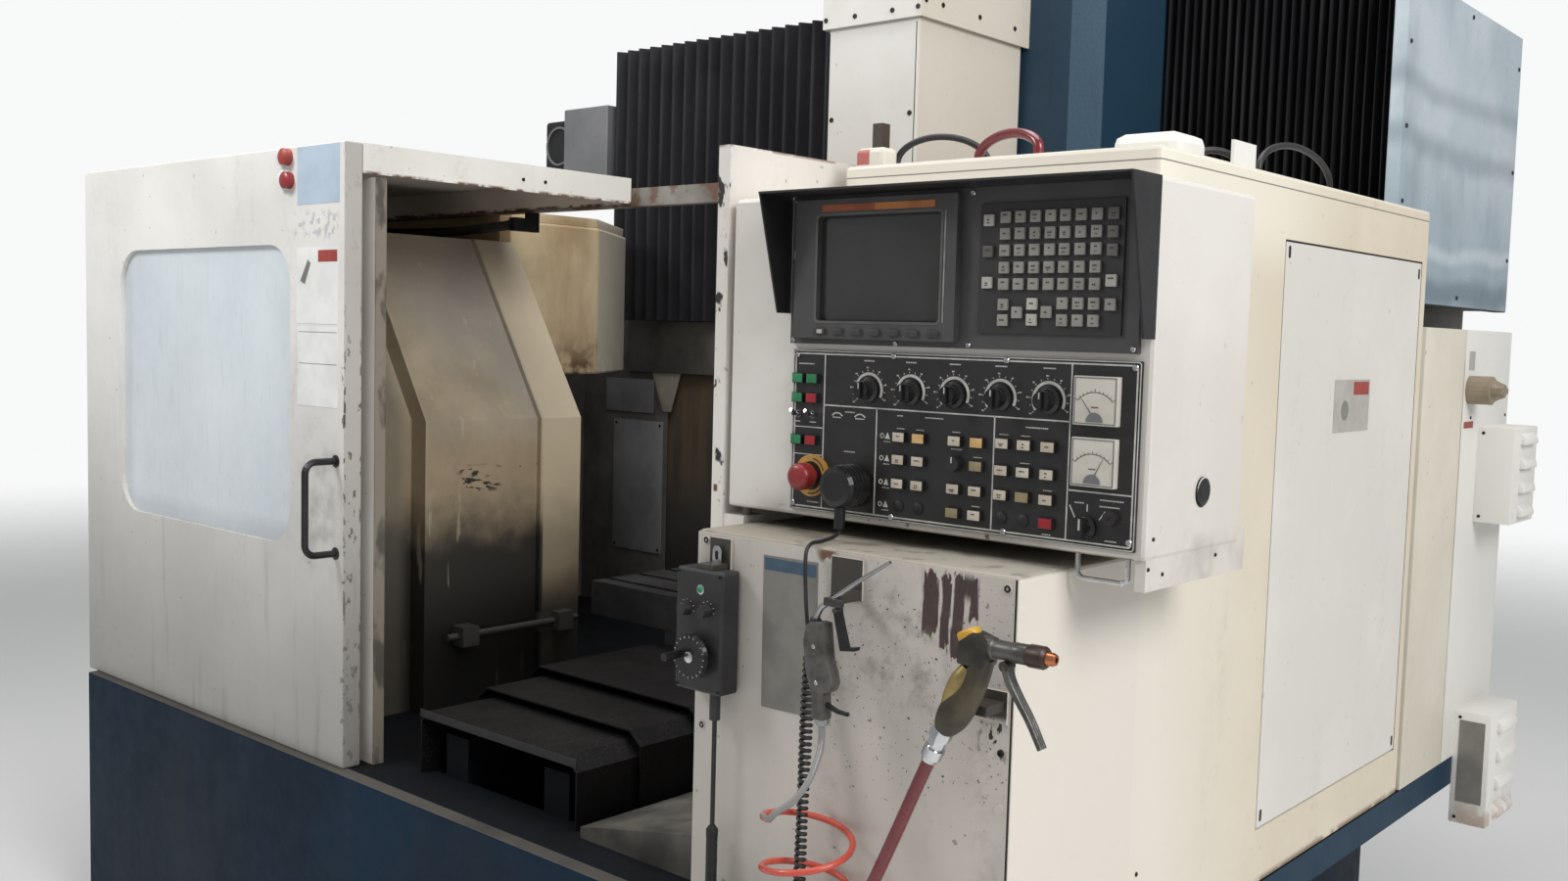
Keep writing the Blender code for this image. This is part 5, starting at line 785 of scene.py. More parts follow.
    KEY_DARK = Finish("key_dark", (104, 101, 95), (92, 89, 84), 0.5, cloud=30.0, grime=0.3)
    INK = Finish("dark_ink", (52, 50, 48), (64, 61, 58), 0.6, cloud=60.0, grime=0.0)
    BEZEL = Finish("bezel_line", (92, 90, 88), (80, 78, 76), 0.4, cloud=20.0, grime=0.3)
    STRIP_RED = Finish("brown_strip", (164, 88, 52), (136, 70, 44), 0.45, cloud=14.0, grime=0.4)
    BRIGHT_LINE = Finish("screen_edge", (150, 149, 146), (120, 119, 116), 0.3, cloud=40.0, grime=0.3)
    SOFT_KEY = Finish("soft_key", (62, 61, 60), (50, 49, 48), 0.45, cloud=60.0, grime=0.3)
    STICKER = Finish("white_sticker", (226, 226, 224), (214, 214, 211), 0.35, cloud=12.0, grime=0.25)
    GAP = Finish("dark_gap", (30, 28, 26), (22, 20, 19), 0.8, cloud=20.0, grime=0.0)
    GRIP = Finish(
        "grip_olive", (78, 70, 52), (58, 52, 42), 0.4, metallic=0.3, cloud=34.0, grime=0.6, dirt=(40, 36, 32)
    )
    GUN_DARK = Finish(
        "gun_dark", (62, 58, 52), (46, 43, 39), 0.4, metallic=0.4, cloud=34.0, grime=0.5, dirt=(96, 86, 66)
    )


MADE: dict[Stock, bpy.types.Material] = {}


def paint(stock: Stock) -> bpy.types.Material:
    """Return the material of a finish, made once."""
    if stock not in MADE:
        MADE[stock] = stock.value.make()
    return MADE[stock]


def blank(x0: float, z0: float, x1: float, z1: float) -> Outline:
    """Return a rectangle's outline."""
    return [(x0, z0), (x1, z0), (x1, z1), (x0, z1)]


def rounded(x0: float, z0: float, x1: float, z1: float, radius: float, steps: int = 8) -> Outline:
    """Return the outline of a rectangle with round corners.

    Args:
        x0: Left edge.
        z0: Lower edge.
        x1: Right edge.
        z1: Upper edge.
        radius: The corners' radius.
        steps: Points per corner, less one.

    Returns:
        The outline's points in order.
    """
    centres = ((x1 - radius, z1 - radius), (x0 + radius, z1 - radius),
               (x0 + radius, z0 + radius), (x1 - radius, z0 + radius))
    points = []
    for corner, (x, z) in enumerate(centres):
        for step in range(steps + 1):
            angle = math.radians(90.0 * (corner + step / steps))
            points.append((x + radius * math.cos(angle), z + radius * math.sin(angle)))
    return points


def arc(x: float, z: float, radius: float, first: float, last: float, steps: int = 20) -> Outline:
    """Return points along an arc, with its angles in degrees."""
    angles = [math.radians(first + (last - first) * n / steps) for n in range(steps + 1)]
    return [(x + radius * math.cos(a), z + radius * math.sin(a)) for a in angles]


def smooth(points: Sequence[Place], steps: int = 6) -> list[Vector]:
    """Return a curve through the points.

    Args:
        points: The points it passes through.
        steps: Parts per stretch.

    Returns:
        The curve's points.
    """
    knots = [Vector(point) for point in points]
    knots = [knots[0] * 2 - knots[1], *knots, knots[-1] * 2 - knots[-2]]
    line = []
    for n in range(1, len(knots) - 2):
        a, b, c, d = knots[n - 1:n + 3]
        for step in range(steps):
            t = step / steps
            line.append(0.5 * (
                2 * b + (c - a) * t + (2 * a - 5 * b + 4 * c - d) * t ** 2 + (3 * b - a - 3 * c + d) * t ** 3
            ))
    return [*line, knots[-2]]


def spoke(degrees: float) -> Vector:
    """Return the direction at an angle on an upright face, in X and Z."""
    angle = math.radians(degrees)
    return Vector((math.cos(angle), 0.0, math.sin(angle)))


def taper(first: float, last: float, count: int) -> list[float]:
    """Return radii that change evenly from the first to the last."""
    return [first + (last - first) * n / (count - 1) for n in range(count)]


def place_object(name: str, data: bpy.types.ID) -> bpy.types.Object:
    """Make an object of some data and put it into the scene."""
    made = bpy.data.objects.new(name, data)
    bpy.context.scene.collection.objects.link(made)
    return made


class Shape:
    """A mesh of several closed forms, each in its own finish."""

    def __init__(self, name: str, stock: Stock) -> None:
        """Start an empty mesh."""
        self.name = name
        self.mesh = bmesh.new()
        self.stocks = [stock]
        self.index = 0

    def use(self, stock: Stock) -> "Shape":
        """Make the next forms of a finish."""
        if stock not in self.stocks:
            self.stocks.append(stock)
        self.index = self.stocks.index(stock)
        return self

    def join(self, form: bmesh.types.BMesh, bevel: float = 0.0, steps: int = 2) -> "Shape":
        """Bevel a form's sharp edges and add it to the mesh.

        Args:
            form: The form, which is used up.
            bevel: The bevel's width.
            steps: The bevel's parts.

        Returns:
            This shape.
        """
        bmesh.ops.recalc_face_normals(form, faces=form.faces)
        if bevel:
            sharp = [edge for edge in form.edges if edge.is_manifold and edge.calc_face_angle() > 0.6]
            bmesh.ops.bevel(form, geom=sharp, offset=bevel, segments=steps, affect="EDGES", profile=0.6)
        for face in form.faces:
            face.material_index = self.index
            face.smooth = True
        data = bpy.data.meshes.new("form")
        form.to_mesh(data)
        form.free()
        self.mesh.from_mesh(data)
        bpy.data.meshes.remove(data)
        return self

    def prism(self, axis: Axis, outline: Outline, low: float, high: float, bevel: float = 0.0) -> "Shape":
        """Add an outline swept along an axis.

        Args:
            axis: The axis.
            outline: The outline across it.
            low: Where it starts.
            high: Where it ends.
            bevel: The bevel's width.

        Returns:
            This shape.
        """
        form = bmesh.new()
        across, up, along = axis.value
        rings = []
        for level in (low, high):
            rings.append([])
            for a, b in outline:
                point = [0.0, 0.0, 0.0]
                point[across], point[up], point[along] = a, b, level
                rings[-1].append(form.verts.new(point))
        form.faces.new(rings[0])
        form.faces.new(rings[1])
        for n, corner in enumerate(rings[0]):
            after = (n + 1) % len(outline)
            form.faces.new((corner, rings[0][after], rings[1][after], rings[1][n]))
        return self.join(form, bevel)

    def slab(self, low: Place, high: Place, bevel: float = 0.0) -> "Shape":
        """Add a block between two corners."""
        return self.prism(Axis.Z, blank(low[0], low[1], high[0], high[1]), low[2], high[2], bevel)

    def ring(self, axis: Axis, outer: Outline, inner: Outline, low: float, high: float) -> "Shape":
        """Add a frame between two outlines with as many points each.

        Args:
            axis: The axis it is swept along.
            outer: The outer outline.
            inner: The inner outline.
            low: Where it starts.
            high: Where it ends.

        Returns:
            This shape.
        """
        form = bmesh.new()
        across, up, along = axis.value
        loops = []
        for outline, level in ((outer, low), (outer, high), (inner, high), (inner, low)):
            loops.append([])
            for a, b in outline:
                point = [0.0, 0.0, 0.0]
                point[across], point[up], point[along] = a, b, level
                loops[-1].append(form.verts.new(point))
        for n in range(len(outer)):
            after = (n + 1) % len(outer)
            for first, second in zip(loops, loops[1:] + loops[:1]):
                form.faces.new((first[n], first[after], second[after], second[n]))
        return self.join(form)

    def band(self, centre: Place, radii: Place, turn: Place, steps: int, low: float, high: float) -> "Shape":
        """Add part of a flat ring round X and Z, from one angle to another in degrees."""
        outer, inner = (arc(*centre, radius, *turn, steps) for radius in radii)
        return self.prism(Axis.Y, [*outer, *reversed(inner)], low, high)

    def tile(self, centre: Place, half: Place, front: float, back: float, bevel: float = 0.0) -> "Shape":
        """Add a small block round X and Z, with half its width and height given."""
        (x, z), (wide, tall) = centre, half
        return self.slab((x - wide, front, z - tall), (x + wide, back, z + tall), bevel)

    def turn(self, centre: Place, line: Place, profile: Outline, sides: int = 28) -> "Shape":
        """Add a turned form.

        Args:
            centre: The point its lengths are counted from.
            line: Its axis.
            profile: Pairs of length along the axis and radius.
            sides: Points round it.

        Returns:
            This shape.
        """
        axis = Vector(line).normalized()
        points = [Vector(centre) + axis * along for along, _ in profile]
        return self.pipe(points, [radius for _, radius in profile], sides, axis)

    def pipe(
        self, points: Sequence[Place], radii: Union[float, Sequence[float]], sides: int = 12,
        axis: Optional[Vector] = None
    ) -> "Shape":
        """Add a round form along points.

        Args:
            points: The points of its middle.
            radii: Its radius, or one per point.
            sides: Points round it.
            axis: Its axis, where it is straight.

        Returns:
            This shape.
        """
        form = bmesh.new()
        middle = [Vector(point) for point in points]
        if isinstance(radii, float):
            radii = [radii] * len(middle)
        side = None
        rings = []
        for n, place in enumerate(middle):
            way = axis or (middle[min(n + 1, len(middle) - 1)] - middle[max(n - 1, 0)]).normalized()
            side = (way.orthogonal() if side is None else side - way * side.dot(way)).normalized()
            up = way.cross(side)
            turns = [math.tau * k / sides for k in range(sides)]
            rings.append([
                form.verts.new(place + (side * math.cos(t) + up * math.sin(t)) * radii[n]) for t in turns
            ])
        form.faces.new(rings[0])
        form.faces.new(rings[-1])
        for first, second in zip(rings, rings[1:]):
            for n in range(sides):
                after = (n + 1) % sides
                form.faces.new((first[n], first[after], second[after], second[n]))
        return self.join(form)

    def screw(self, place: Place, line: Place, radius: float, rise: float = 0.003) -> "Shape":
        """Add a socket screw's head that stands on a place."""
        profile = [(-0.0006, radius), (rise * 0.6, radius), (rise, radius * 0.82),
                   (rise, radius * 0.5), (rise * 0.35, radius * 0.44)]
        return self.turn(place, line, profile, 16)

    def piece(self, body: Optional[Body] = None, sharp: float = 35.0) -> bpy.types.Object:
        """Make the object and let it ride.

        Args:
            body: The body it rides on, if it rides at all.
            sharp: The angle above which an edge stays sharp, in degrees.

        Returns:
            The object.
        """
        data = bpy.data.meshes.new(self.name)
        self.mesh.to_mesh(data)
        self.mesh.free()
        data.set_sharp_from_angle(angle=math.radians(sharp))
        for stock in self.stocks:
            data.materials.append(paint(stock))
        made = place_object(self.name, data)
        if body:
            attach(made, body.value)
        log.info("%s: %d faces", self.name, len(data.polygons))
        return made


def dress(stock: Stock, *names: str) -> None:
    """Give the frame's nodes a finish."""
    for name in names:
        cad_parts[name].data.materials.clear()
        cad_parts[name].data.materials.append(paint(stock))
        log.info("%s: %s", name, stock.name)


@dataclass
class Studio:
    """The camera at the photograph's place, soft light and a pale floor.

    Attributes:
        eye: Where the camera stands.
        yaw: Its turn to the left of Y, as a negative angle in degrees.
        pitch: Its tilt down, as a negative angle in degrees.
        roll: Its roll in degrees.
        lens: Its focal length in millimetres.
        sky: The strength of the even light.
        floor_size: The floor's edge.
    """

    eye: Place = (2.3, -1.65, 1.5)
    yaw: float = -41.27
    pitch: float = -4.27
    roll: float = 1.54
    lens: float = 32.816
    sky: float = 0.42
    floor_size: float = 60.0

    def camera(self) -> None:
        """Set the camera."""
        yaw, pitch, roll = (math.radians(value) for value in (self.yaw, self.pitch, self.roll))
        ahead = Vector((math.sin(yaw) * math.cos(pitch), math.cos(yaw) * math.cos(pitch), math.sin(pitch)))
        right = Vector((math.cos(yaw), -math.sin(yaw), 0.0))
        up = right.cross(ahead)
        level, tilt = math.cos(roll), math.sin(roll)
        across, rise = right * level + up * tilt, up * level - right * tilt
        data = bpy.data.cameras.new("photo_camera")
        data.lens = self.lens
        made = place_object("photo_camera", data)
        turn = Matrix((across, rise, -ahead)).transposed()
        made.matrix_world = Matrix.Translation(self.eye) @ turn.to_4x4()
        bpy.context.scene.camera = made

    def light(self, name: str, place: Place, target: Place, size: float, power: float) -> None:
        """Add a soft area light.

        Args:
            name: Its name.
            place: Where it hangs.
            target: What it is turned to.
            size: Its diameter.
            power: Its power in watts.
        """
        data = bpy.data.lights.new(name, "AREA")
        data.size, data.energy, data.shape = size, power, "DISK"
        made = place_object(name, data)
        made.location = place
        made.rotation_euler = (Vector(place) - Vector(target)).to_track_quat("Z", "Y").to_euler()
        made.visible_camera = False

    def world(self) -> None:
        """Light the room evenly, and show white to the camera."""
        world = bpy.data.worlds.new("room")
        world.use_nodes = True
        bpy.context.scene.world = world
        tree = world.node_tree
        tree.nodes.clear()
        shades = []
        for strength, tone in ((self.sky, (0.96, 0.98, 1.0, 1.0)), (1.0, (0.94, 0.945, 0.95, 1.0))):
            shades.append(tree.nodes.new("ShaderNodeBackground"))
            shades[-1].inputs["Color"].default_value = tone
            shades[-1].inputs["Strength"].default_value = strength
        path = tree.nodes.new("ShaderNodeLightPath")
        mix = tree.nodes.new("ShaderNodeMixShader")
        out = tree.nodes.new("ShaderNodeOutputWorld")
        tree.links.new(path.outputs["Is Camera Ray"], mix.inputs[0])
        tree.links.new(shades[0].outputs[0], mix.inputs[1])
        tree.links.new(shades[1].outputs[0], mix.inputs[2])
        tree.links.new(mix.outputs[0], out.inputs["Surface"])

    def floor(self) -> None:
        """Lay the floor, which fades into the white far away."""
        half = self.floor_size / 2.0
        data = bpy.data.meshes.new("stage_floor")
        data.from_pydata([
            (-half, -half, -0.0005), (half, -half, -0.0005), (half, half, -0.0005), (-half, half, -0.0005)
        ], [], [(0, 1, 2, 3)])
        graph = Graph("stage_floor")
        far = graph.rise(
            graph.node("ShaderNodeVectorMath", {"operation": "LENGTH"}, {0: graph.place}, output="Value"),
            5.0, 12.0
        )
        tone = graph.blend(graph.noise(1.2, 4.0), (0.74, 0.74, 0.73), (0.7, 0.7, 0.69))
        shader = graph.node("ShaderNodeBsdfPrincipled", None, {"Base Color": tone, "Roughness": 0.7})
        clear = graph.node("ShaderNodeBsdfTransparent")
        mix = graph.node("ShaderNodeMixShader", None, {0: far, 1: shader, 2: clear})
        graph.node("ShaderNodeOutputMaterial", None, {"Surface": mix})
        data.materials.append(graph.material)
        made = place_object("stage_floor", data)

    def build(self) -> None:
        """Set up the camera, light and floor."""
        self.camera()
        self.world()
        self.floor()
        bpy.context.scene.view_settings.view_transform = "Standard"
        self.light("key", (5.6, -0.9, 4.4), (1.2, 0.4, 1.1), 3.0, 225.0)
        self.light("door", (-0.9, -1.5, 3.1), (-0.8, -0.1, 1.75), 0.9, 38.0)
        self.light("top", (0.4, 0.6, 5.6), (0.4, 0.6, 1.0), 4.0, 150.0)
        self.light("bounce", (0.45, 0.5, 0.8), (0.4, 0.5, 2.0), 0.5, 4.0)
        log.info("studio")


@dataclass
class Course:
    """The course of one cord.

    Attributes:
        name: The cord's name.
        points: Its centreline.
        radius: Its radius.
        stock: Its finish.
        nodes: The frame's nodes it replaces.
        stiffness: How stiff it is; not used.
        lay: How it lies; not used.
    """

    name: str
    points: Sequence[Vector]
    radius: float
    stock: Stock
    nodes: Sequence[str]
    stiffness: str = "medium"
    lay: str = "hanging"

    def build(self, *extra: bpy.types.Object) -> None:
        data = bpy.data.curves.new(self.name, "CURVE")
        data.dimensions = "3D"
        line = data.splines.new("POLY")
        line.points.add(len(self.points) - 1)
        for knot, point in zip(line.points, self.points):
            knot.co = (*point, 1.0)
        data.bevel_depth = self.radius
        data.bevel_resolution = 3
        data.use_fill_caps = True
        data.materials.append(paint(self.stock))
        made = place_object(self.name, data)
        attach(made, Body.ROOT.value)
        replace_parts(made, *self.nodes)
        length = sum((b - a).length for a, b in zip(self.points, self.points[1:]))
        self.radius * 2
        log.info("%s: %.2f m", self.name, length)


@dataclass
class Cords:
    """The cords and hoses on the front panel and on the cabinet's top.

    Attributes:
        wire: The curly lead's radius.
        coil: The radius of its coils.
        pitch: The distance between them.
        turn_points: Points per coil.
        spiral: The radius of the air hose's spiral.
        spiral_pitch: The distance between its turns.
        spiral_turns: How many there are.
        spiral_start: The share of a turn where it starts.
    """

    wire: float = 0.0027
    coil: float = 0.007
    pitch: float = 0.0085
    turn_points: int = 16
    spiral: float = 0.06
    spiral_pitch: float = 0.068
    spiral_turns: float = 2.2
    spiral_start: float = 0.3

    def curly(self) -> None:
        """Hang the hand unit's lead, which winds into a curly cord."""
        lead = smooth([
            (1.056, -0.1106, 1.2312), (1.056, -0.1106, 1.2275), (1.0565, -0.121, 1.2215),
            (1.0575, -0.148, 1.2172), (1.06, -0.178, 1.2155), (1.063, -0.19, 1.196), (1.07, -0.194, 1.135),
            (1.079, -0.195, 1.078)
        ])
        middle = smooth([(1.079, -0.195, 1.078), (1.079, -0.195, 1.048), (1.087, -0.208, 0.94),
                         (1.1, -0.228, 0.76), (1.105, -0.235, 0.69)], 60)
        points = list(lead)
        lengths = [0.0]
        for a, b in zip(middle, middle[1:]):
            lengths.append(lengths[-1] + (b - a).length)
        last = lengths[-1]
        count = int(last / self.pitch * self.turn_points)
        spot = 0
        for n in range(1, count + 1):
            travelled = last * n / count
            while spot < len(lengths) - 2 and lengths[spot + 1] < travelled:
                spot += 1
            share = (travelled - lengths[spot]) / (lengths[spot + 1] - lengths[spot])
            before = middle[spot].lerp(middle[spot + 1], share)
            angle = math.tau * n / self.turn_points
            grown = min(1.0, n / (self.turn_points * 1.5), (count - n) / (self.turn_points * 1.5))
            swell = self.coil * grown * (0.9 + 0.1 * math.sin(n * 0.011))
            points.append(before + Vector((math.cos(angle), math.sin(angle), 0.0)) * swell)
        points.append(Vector((1.105, -0.235, SHELF_Z)))
        Course("curly_lead", points, self.wire, Stock.CORD, ("hand_lead", "curly_cord"),
               "limp", "coiled").build()

    def pendant(self) -> None:
        """Hang the pendant's thin cable, with its braided sleeve lower down."""
        x, y = 0.903, -0.1928
        sleeve = Shape("pendant_sleeve", Stock.RUBBER)
        rings = [(0.785 - 0.0012 * n, 0.008 + 0.0005 * (n % 2)) for n in range(100)]
        sleeve.pipe([(x, y, z) for z, _ in rings], [radius for _, radius in rings], 14)
        sleeve.turn((x, y, 0.79), DOWN, [(0.0, 0.0045), (0.006, 0.0088), (0.016, 0.0088)], 14)
        top, steps = 0.9447, 24
        points = [Vector((x, y, top - (top - SHELF_Z) * n / steps)) for n in range(steps + 1)]
        cord = Course("pendant_cord", points, 0.0035, Stock.CORD, ("pendant_cable",))
        cord.build(sleeve.piece(Body.ROOT))

    def hoses(self) -> None:
        """Hang the coolant hose and the spiral air hose."""
        line = Vector((-0.021, 0.0, -0.046)).normalized()
        start = Vector((1.305, GUN_Y, 0.982)) + line * 0.0003
        route = [start, start + line * 0.02]
        falls = (
            (1.286, 0.94), (1.254, 0.868), (1.222, 0.798), (1.193, 0.735), (1.165, 0.6853), (1.165, SHELF_Z)
        )
        route += [(x, GUN_Y, z) for x, z in falls]
        Course("coolant_supply_hose", smooth(route, 5), 0.0085, Stock.HOSE, ("coolant_hose",)).build()
        bend = smooth([(1.133, GUN_Y, 0.986), (1.133, GUN_Y, 0.97), (1.138, -0.24, 0.955),
                       (1.14, -0.262, 0.925), (1.13, -0.28, 0.9), (1.11, -0.292, 0.882)], 5)
        coil = []
        steps = 88
        for n in range(steps + 1):
            wound = self.spiral_turns * n / steps
            angle = -math.tau * (wound + self.spiral_start)
            spot = Vector((math.cos(angle), math.sin(angle), 0.0)) * self.spiral
            coil.append(Vector((1.12, -0.237, 0.872 - self.spiral_pitch * wound)) + spot)
        end = coil[-1]
        tail = [Vector((end.x, end.y, z)) for z in (0.69, SHELF_Z)]
        points = [Vector((1.133, GUN_Y, 0.9897)), *bend, *coil, *tail]
        Course("air_supply_hose", points, 0.0045, Stock.AIR_HOSE, ("air_hose",)).build()

    def top(self) -> None:
        """Lay the black cables and the red hose over the cabinet's top."""
        cable, hose = (0.0055, Stock.CORD), (0.008, Stock.HOSE)
        arches = {
            "top_cable_1": ((0.875, 0.235), (0.99, 0.33), 0.045, *cable),
            "top_cable_2": ((1.29, 0.435), (1.335, 0.5), 0.02, *cable),
            "top_cable_3": ((1.345, 0.56), (1.345, 0.86), 0.05, *cable),
            "top_hose": ((1.01, 0.27), (1.15, 0.22), 0.03, *hose)
        }
        steps = 28
        for name, ((x0, y0), (x1, y1), rise, radius, stock) in arches.items():
            points = [Vector((x0, y0, CABINET_TOP))]
            for step in range(steps + 1):
                angle = math.pi * step / steps
                share = (1.0 - math.cos(angle)) / 2.0
                spot = (x0 + (x1 - x0) * share, y0 + (y1 - y0) * share)
                points.append(Vector((*spot, CABINET_TOP + radius * 2 + rise * math.sin(angle))))
            points.append(Vector((x1, y1, CABINET_TOP)))
            Course(name + "_line", points, radius, stock, (name,), lay="loose").build()

    def build(self) -> None:
        """Make every cord."""
        self.curly()
        self.pendant()
        self.hoses()
        self.top()


@dataclass
class Bellows:
    """One pleated bellows, stretched between the beam and the saddle.

    Attributes:
        name: The frame's node.
        fixed: X of its end on the beam.
        moving: X of its end on the saddle.
        low: Its lower edge.
        high: Its upper edge.
        tip: Y of the folds' tips.
        valley: Y of the folds' valleys.
        back: Y of its back.
        pleats: How many folds it has.
        rows: Rows of faces over its height.
    """

    name: str
    fixed: float
    moving: float
    low: float
    high: float
    tip: float = 1.3502
    valley: float = 1.3785
    back: float = 1.3945
    pleats: int = 26
    rows: int = 18

    def front(self) -> Outline:
        """Return the folded front, from the lesser X to the greater."""
        left, right = sorted((self.fixed, self.moving))
        step = (right - left) / self.pleats
        line = [(left, self.valley)]
        for n in range(self.pleats):
            middle = left + (n + 0.5) * step
            for shift, depth in (
                (-0.3, 0.62), (-0.12, 0.1), (-0.05, 0.0), (0.05, 0.0), (0.12, 0.1), (0.3, 0.62)
            ):
                line.append((middle + shift * step, self.tip + (self.valley - self.tip) * depth))
            line.append((left + (n + 1) * step, self.valley))
        return line

    def build(self) -> None:
        """Make the folded cloth and stretch it between the beam and the saddle."""
        draw = random.Random(7)
        front = self.front()
        shape = Shape(self.name + "_cloth", Stock.CLOTH)
        form = bmesh.new()
        sag = [draw.uniform(-0.0016, 0.0016) for _ in front]
        rows = []
        for row in range(self.rows + 1):
            share = row / self.rows
            z = self.low + (self.high - self.low) * share
            ring = []
            for (x, y), slack in zip(front, sag):
                wave = slack * math.sin(math.pi * share * 2.0 + slack * 900.0)
                ring.append(form.verts.new((x + wave * (0 < row < self.rows), max(y, self.tip), z)))
            for x, _ in reversed(front):
                ring.append(form.verts.new((x, self.back, z)))
            rows.append(ring)
        for below, above in zip(rows, rows[1:]):
            for n in range(len(below)):
                after = (n + 1) % len(below)
                form.faces.new((below[n], below[after], above[after], above[n]))
        count = len(front)
        for ring in (rows[0], rows[-1]):
            for n in range(count - 1):
                form.faces.new((ring[n], ring[n + 1], ring[2 * count - 2 - n], ring[2 * count - 1 - n]))
        shape.join(form)
        made = shape.piece(sharp=50.0)
        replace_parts(made, self.name)
        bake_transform(made)


@dataclass
class Console:
    """The swivelling console: screen, keys, operator panel and hand unit.

    Attributes:
        plate: Y of the operator panel's face.
        knobs_z: Height of the override knobs.
        first_knob: X of the first of them.
        knob_pitch: Distance between them.
        knobs: How many there are.
        screen_plate: Y of the face round the screen.
        bezel: Y of the screen's bezel.
        key_face: Y of the keys' faces.
        cap_face: Y of the push buttons' faces.
        cap_half: Half the width and height of a button's cap.
        key_half: Half the width and height of a key's cap.
        left: X where the printed fields begin.
        edges: The operator panel's left, lower, right and upper edge.
        opening: The screen opening's edges, in the same order.
        dice: The draws for the printed marks.
    """

    plate: float = -0.0743
    screen_plate: float = -0.0783
    bezel: float = -0.0903
    key_face: float = -0.0851
    cap_face: float = -0.0803
    cap_half: Place = (0.0092, 0.0062)
    key_half: Place = (0.0074, 0.0074)
    knobs_z: float = 1.425
    first_knob: float = 1.072
    knob_pitch: float = 0.072
    knobs: int = 5
    left: float = 0.938
    edges: Place = (0.932, 1.246, 1.487, 1.478)
    opening: Place = (0.985, 1.52, 1.197, 1.667)
    dice: random.Random = field(default_factory=lambda: random.Random(11))

    def line(self, shape: Shape, first: Place, second: Place, width: float = 0.0019) -> None:
        """Add a thin printed line on the operator panel.

        Args:
            shape: The shape it is added to.
            first: One end, as x and z.
            second: The other end.
            width: Its width.
        """
        along = Vector((second[0] - first[0], second[1] - first[1]))
        side = Vector((-along.y, along.x)).normalized() * (width / 2)
        corners = [(first[0] + side.x, first[1] + side.y), (first[0] - side.x, first[1] - side.y),
                   (second[0] - side.x, second[1] - side.y), (second[0] + side.x, second[1] + side.y)]
        shape.prism(Axis.Y, corners, self.plate + SUNK, self.plate - 0.0004)

    def dashes(
        self, shape: Shape, x: float, z: float, width: float, y: float, height: float = 0.0016
    ) -> None:
        """Add a row of short bare dashes.

        Args:
            shape: The shape they are added to.
            x: Their middle.
            z: Their height.
            width: The row's width.
            y: The face they lie on.
            height: A dash's height.
        """
        at = x - width / 2
        while at < x + width / 2 - 0.001:
            step = min(self.dice.uniform(0.0014, 0.0034), x + width / 2 - at)
            shape.prism(
                Axis.Y, blank(at, z - height / 2, at + step * 0.7, z + height / 2), y + SUNK, y - 0.0003
            )
            at += step

    def print_lines(self) -> None:
        """Print the frame, the fields, the scales and the marks on the operator panel."""
        y0, y1 = self.plate + SUNK, self.plate - 0.0005
        shape = Shape("panel_print", Stock.PRINT)
        left, low, right, high = self.edges
        for inset, width in ((0.0042, 0.002), (0.0006, 0.0012)):
            outer, inner = (
                rounded(left + edge, low + edge, right - edge, high - edge, radius, 4)
                for edge, radius in ((inset, 0.004), (inset + width, 0.003))
            )
            shape.ring(Axis.Y, outer, inner, y0, y1)
        fields = (((0.992, 1.252), (0.992, 1.472)), ((1.0875, 1.252), (1.0875, 1.4)),
                  ((1.281, 1.252), (1.281, 1.4)), ((1.392, 1.252), (1.392, 1.472)),
                  ((0.992, 1.4), (1.392, 1.4)), ((self.left, 1.3665), (0.992, 1.3665)),
                  ((1.392, 1.3145), (1.481, 1.3145)), ((self.left, 1.327), (0.992, 1.327)))
        for first, second in fields:
            self.line(shape, first, second, 0.0013 if first[0] == self.left else 0.0019)
        for n in range(self.knobs):
            self.dial(shape, self.first_knob + self.knob_pitch * n)
        for x, z, width in (
            (0.958, 1.458, 0.03), (0.944, 1.374, 0.01), (0.972, 1.374, 0.012), (1.185, 1.392, 0.03),
            (1.345, 1.389, 0.034), (1.04, 1.392, 0.018), (1.128, 1.392, 0.01), (1.455, 1.306, 0.034),
            (1.452, 1.298, 0.028), (1.41, 1.3, 0.014), (1.223, 1.353, 0.018), (1.455, 1.256, 0.016),
            (1.041, 1.336, 0.02), (1.365, 1.2545, 0.014), (0.976, 1.2585, 0.022)
        ):
            self.dashes(shape, x, z, width, self.plate)
        for z in (1.363, 1.332, 1.299, 1.268):
            shape.prism(Axis.Y, [(1.103, z - 0.004), (1.112, z - 0.004), (1.1075, z + 0.005)], y0, y1)
            self.dashes(shape, 1.1075, z - 0.008, 0.012, self.plate, 0.0012)
            outer, inner = (arc(1.098, z, radius, 0, 340, 10) for radius in (0.0036, 0.0024))
            shape.ring(Axis.Y, outer, inner, y0, y1)
        for x, z in ((1.13, 1.363), (1.163, 1.363), (1.222, 1.364), (1.257, 1.333), (1.296, 1.366),
                     (1.329, 1.331), (1.364, 1.299), (1.257, 1.268), (1.329, 1.366)):
            self.dashes(shape, x, z + 0.0115, 0.014, self.plate, 0.0012)
        for x in (1.017, 1.058):
            shape.band((x, 1.378), (0.013, 0.0112), (40, 140), 8, y0, y1)
            self.dashes(shape, x, 1.3835, 0.016, self.plate)
        for ends in (((1.404, 1.281), (1.396, 1.296)), ((1.421, 1.29), (1.421, 1.299)),
                     ((1.438, 1.281), (1.446, 1.292))):
            self.line(shape, *ends, 0.0014)
        shape.piece(Body.CONSOLE)

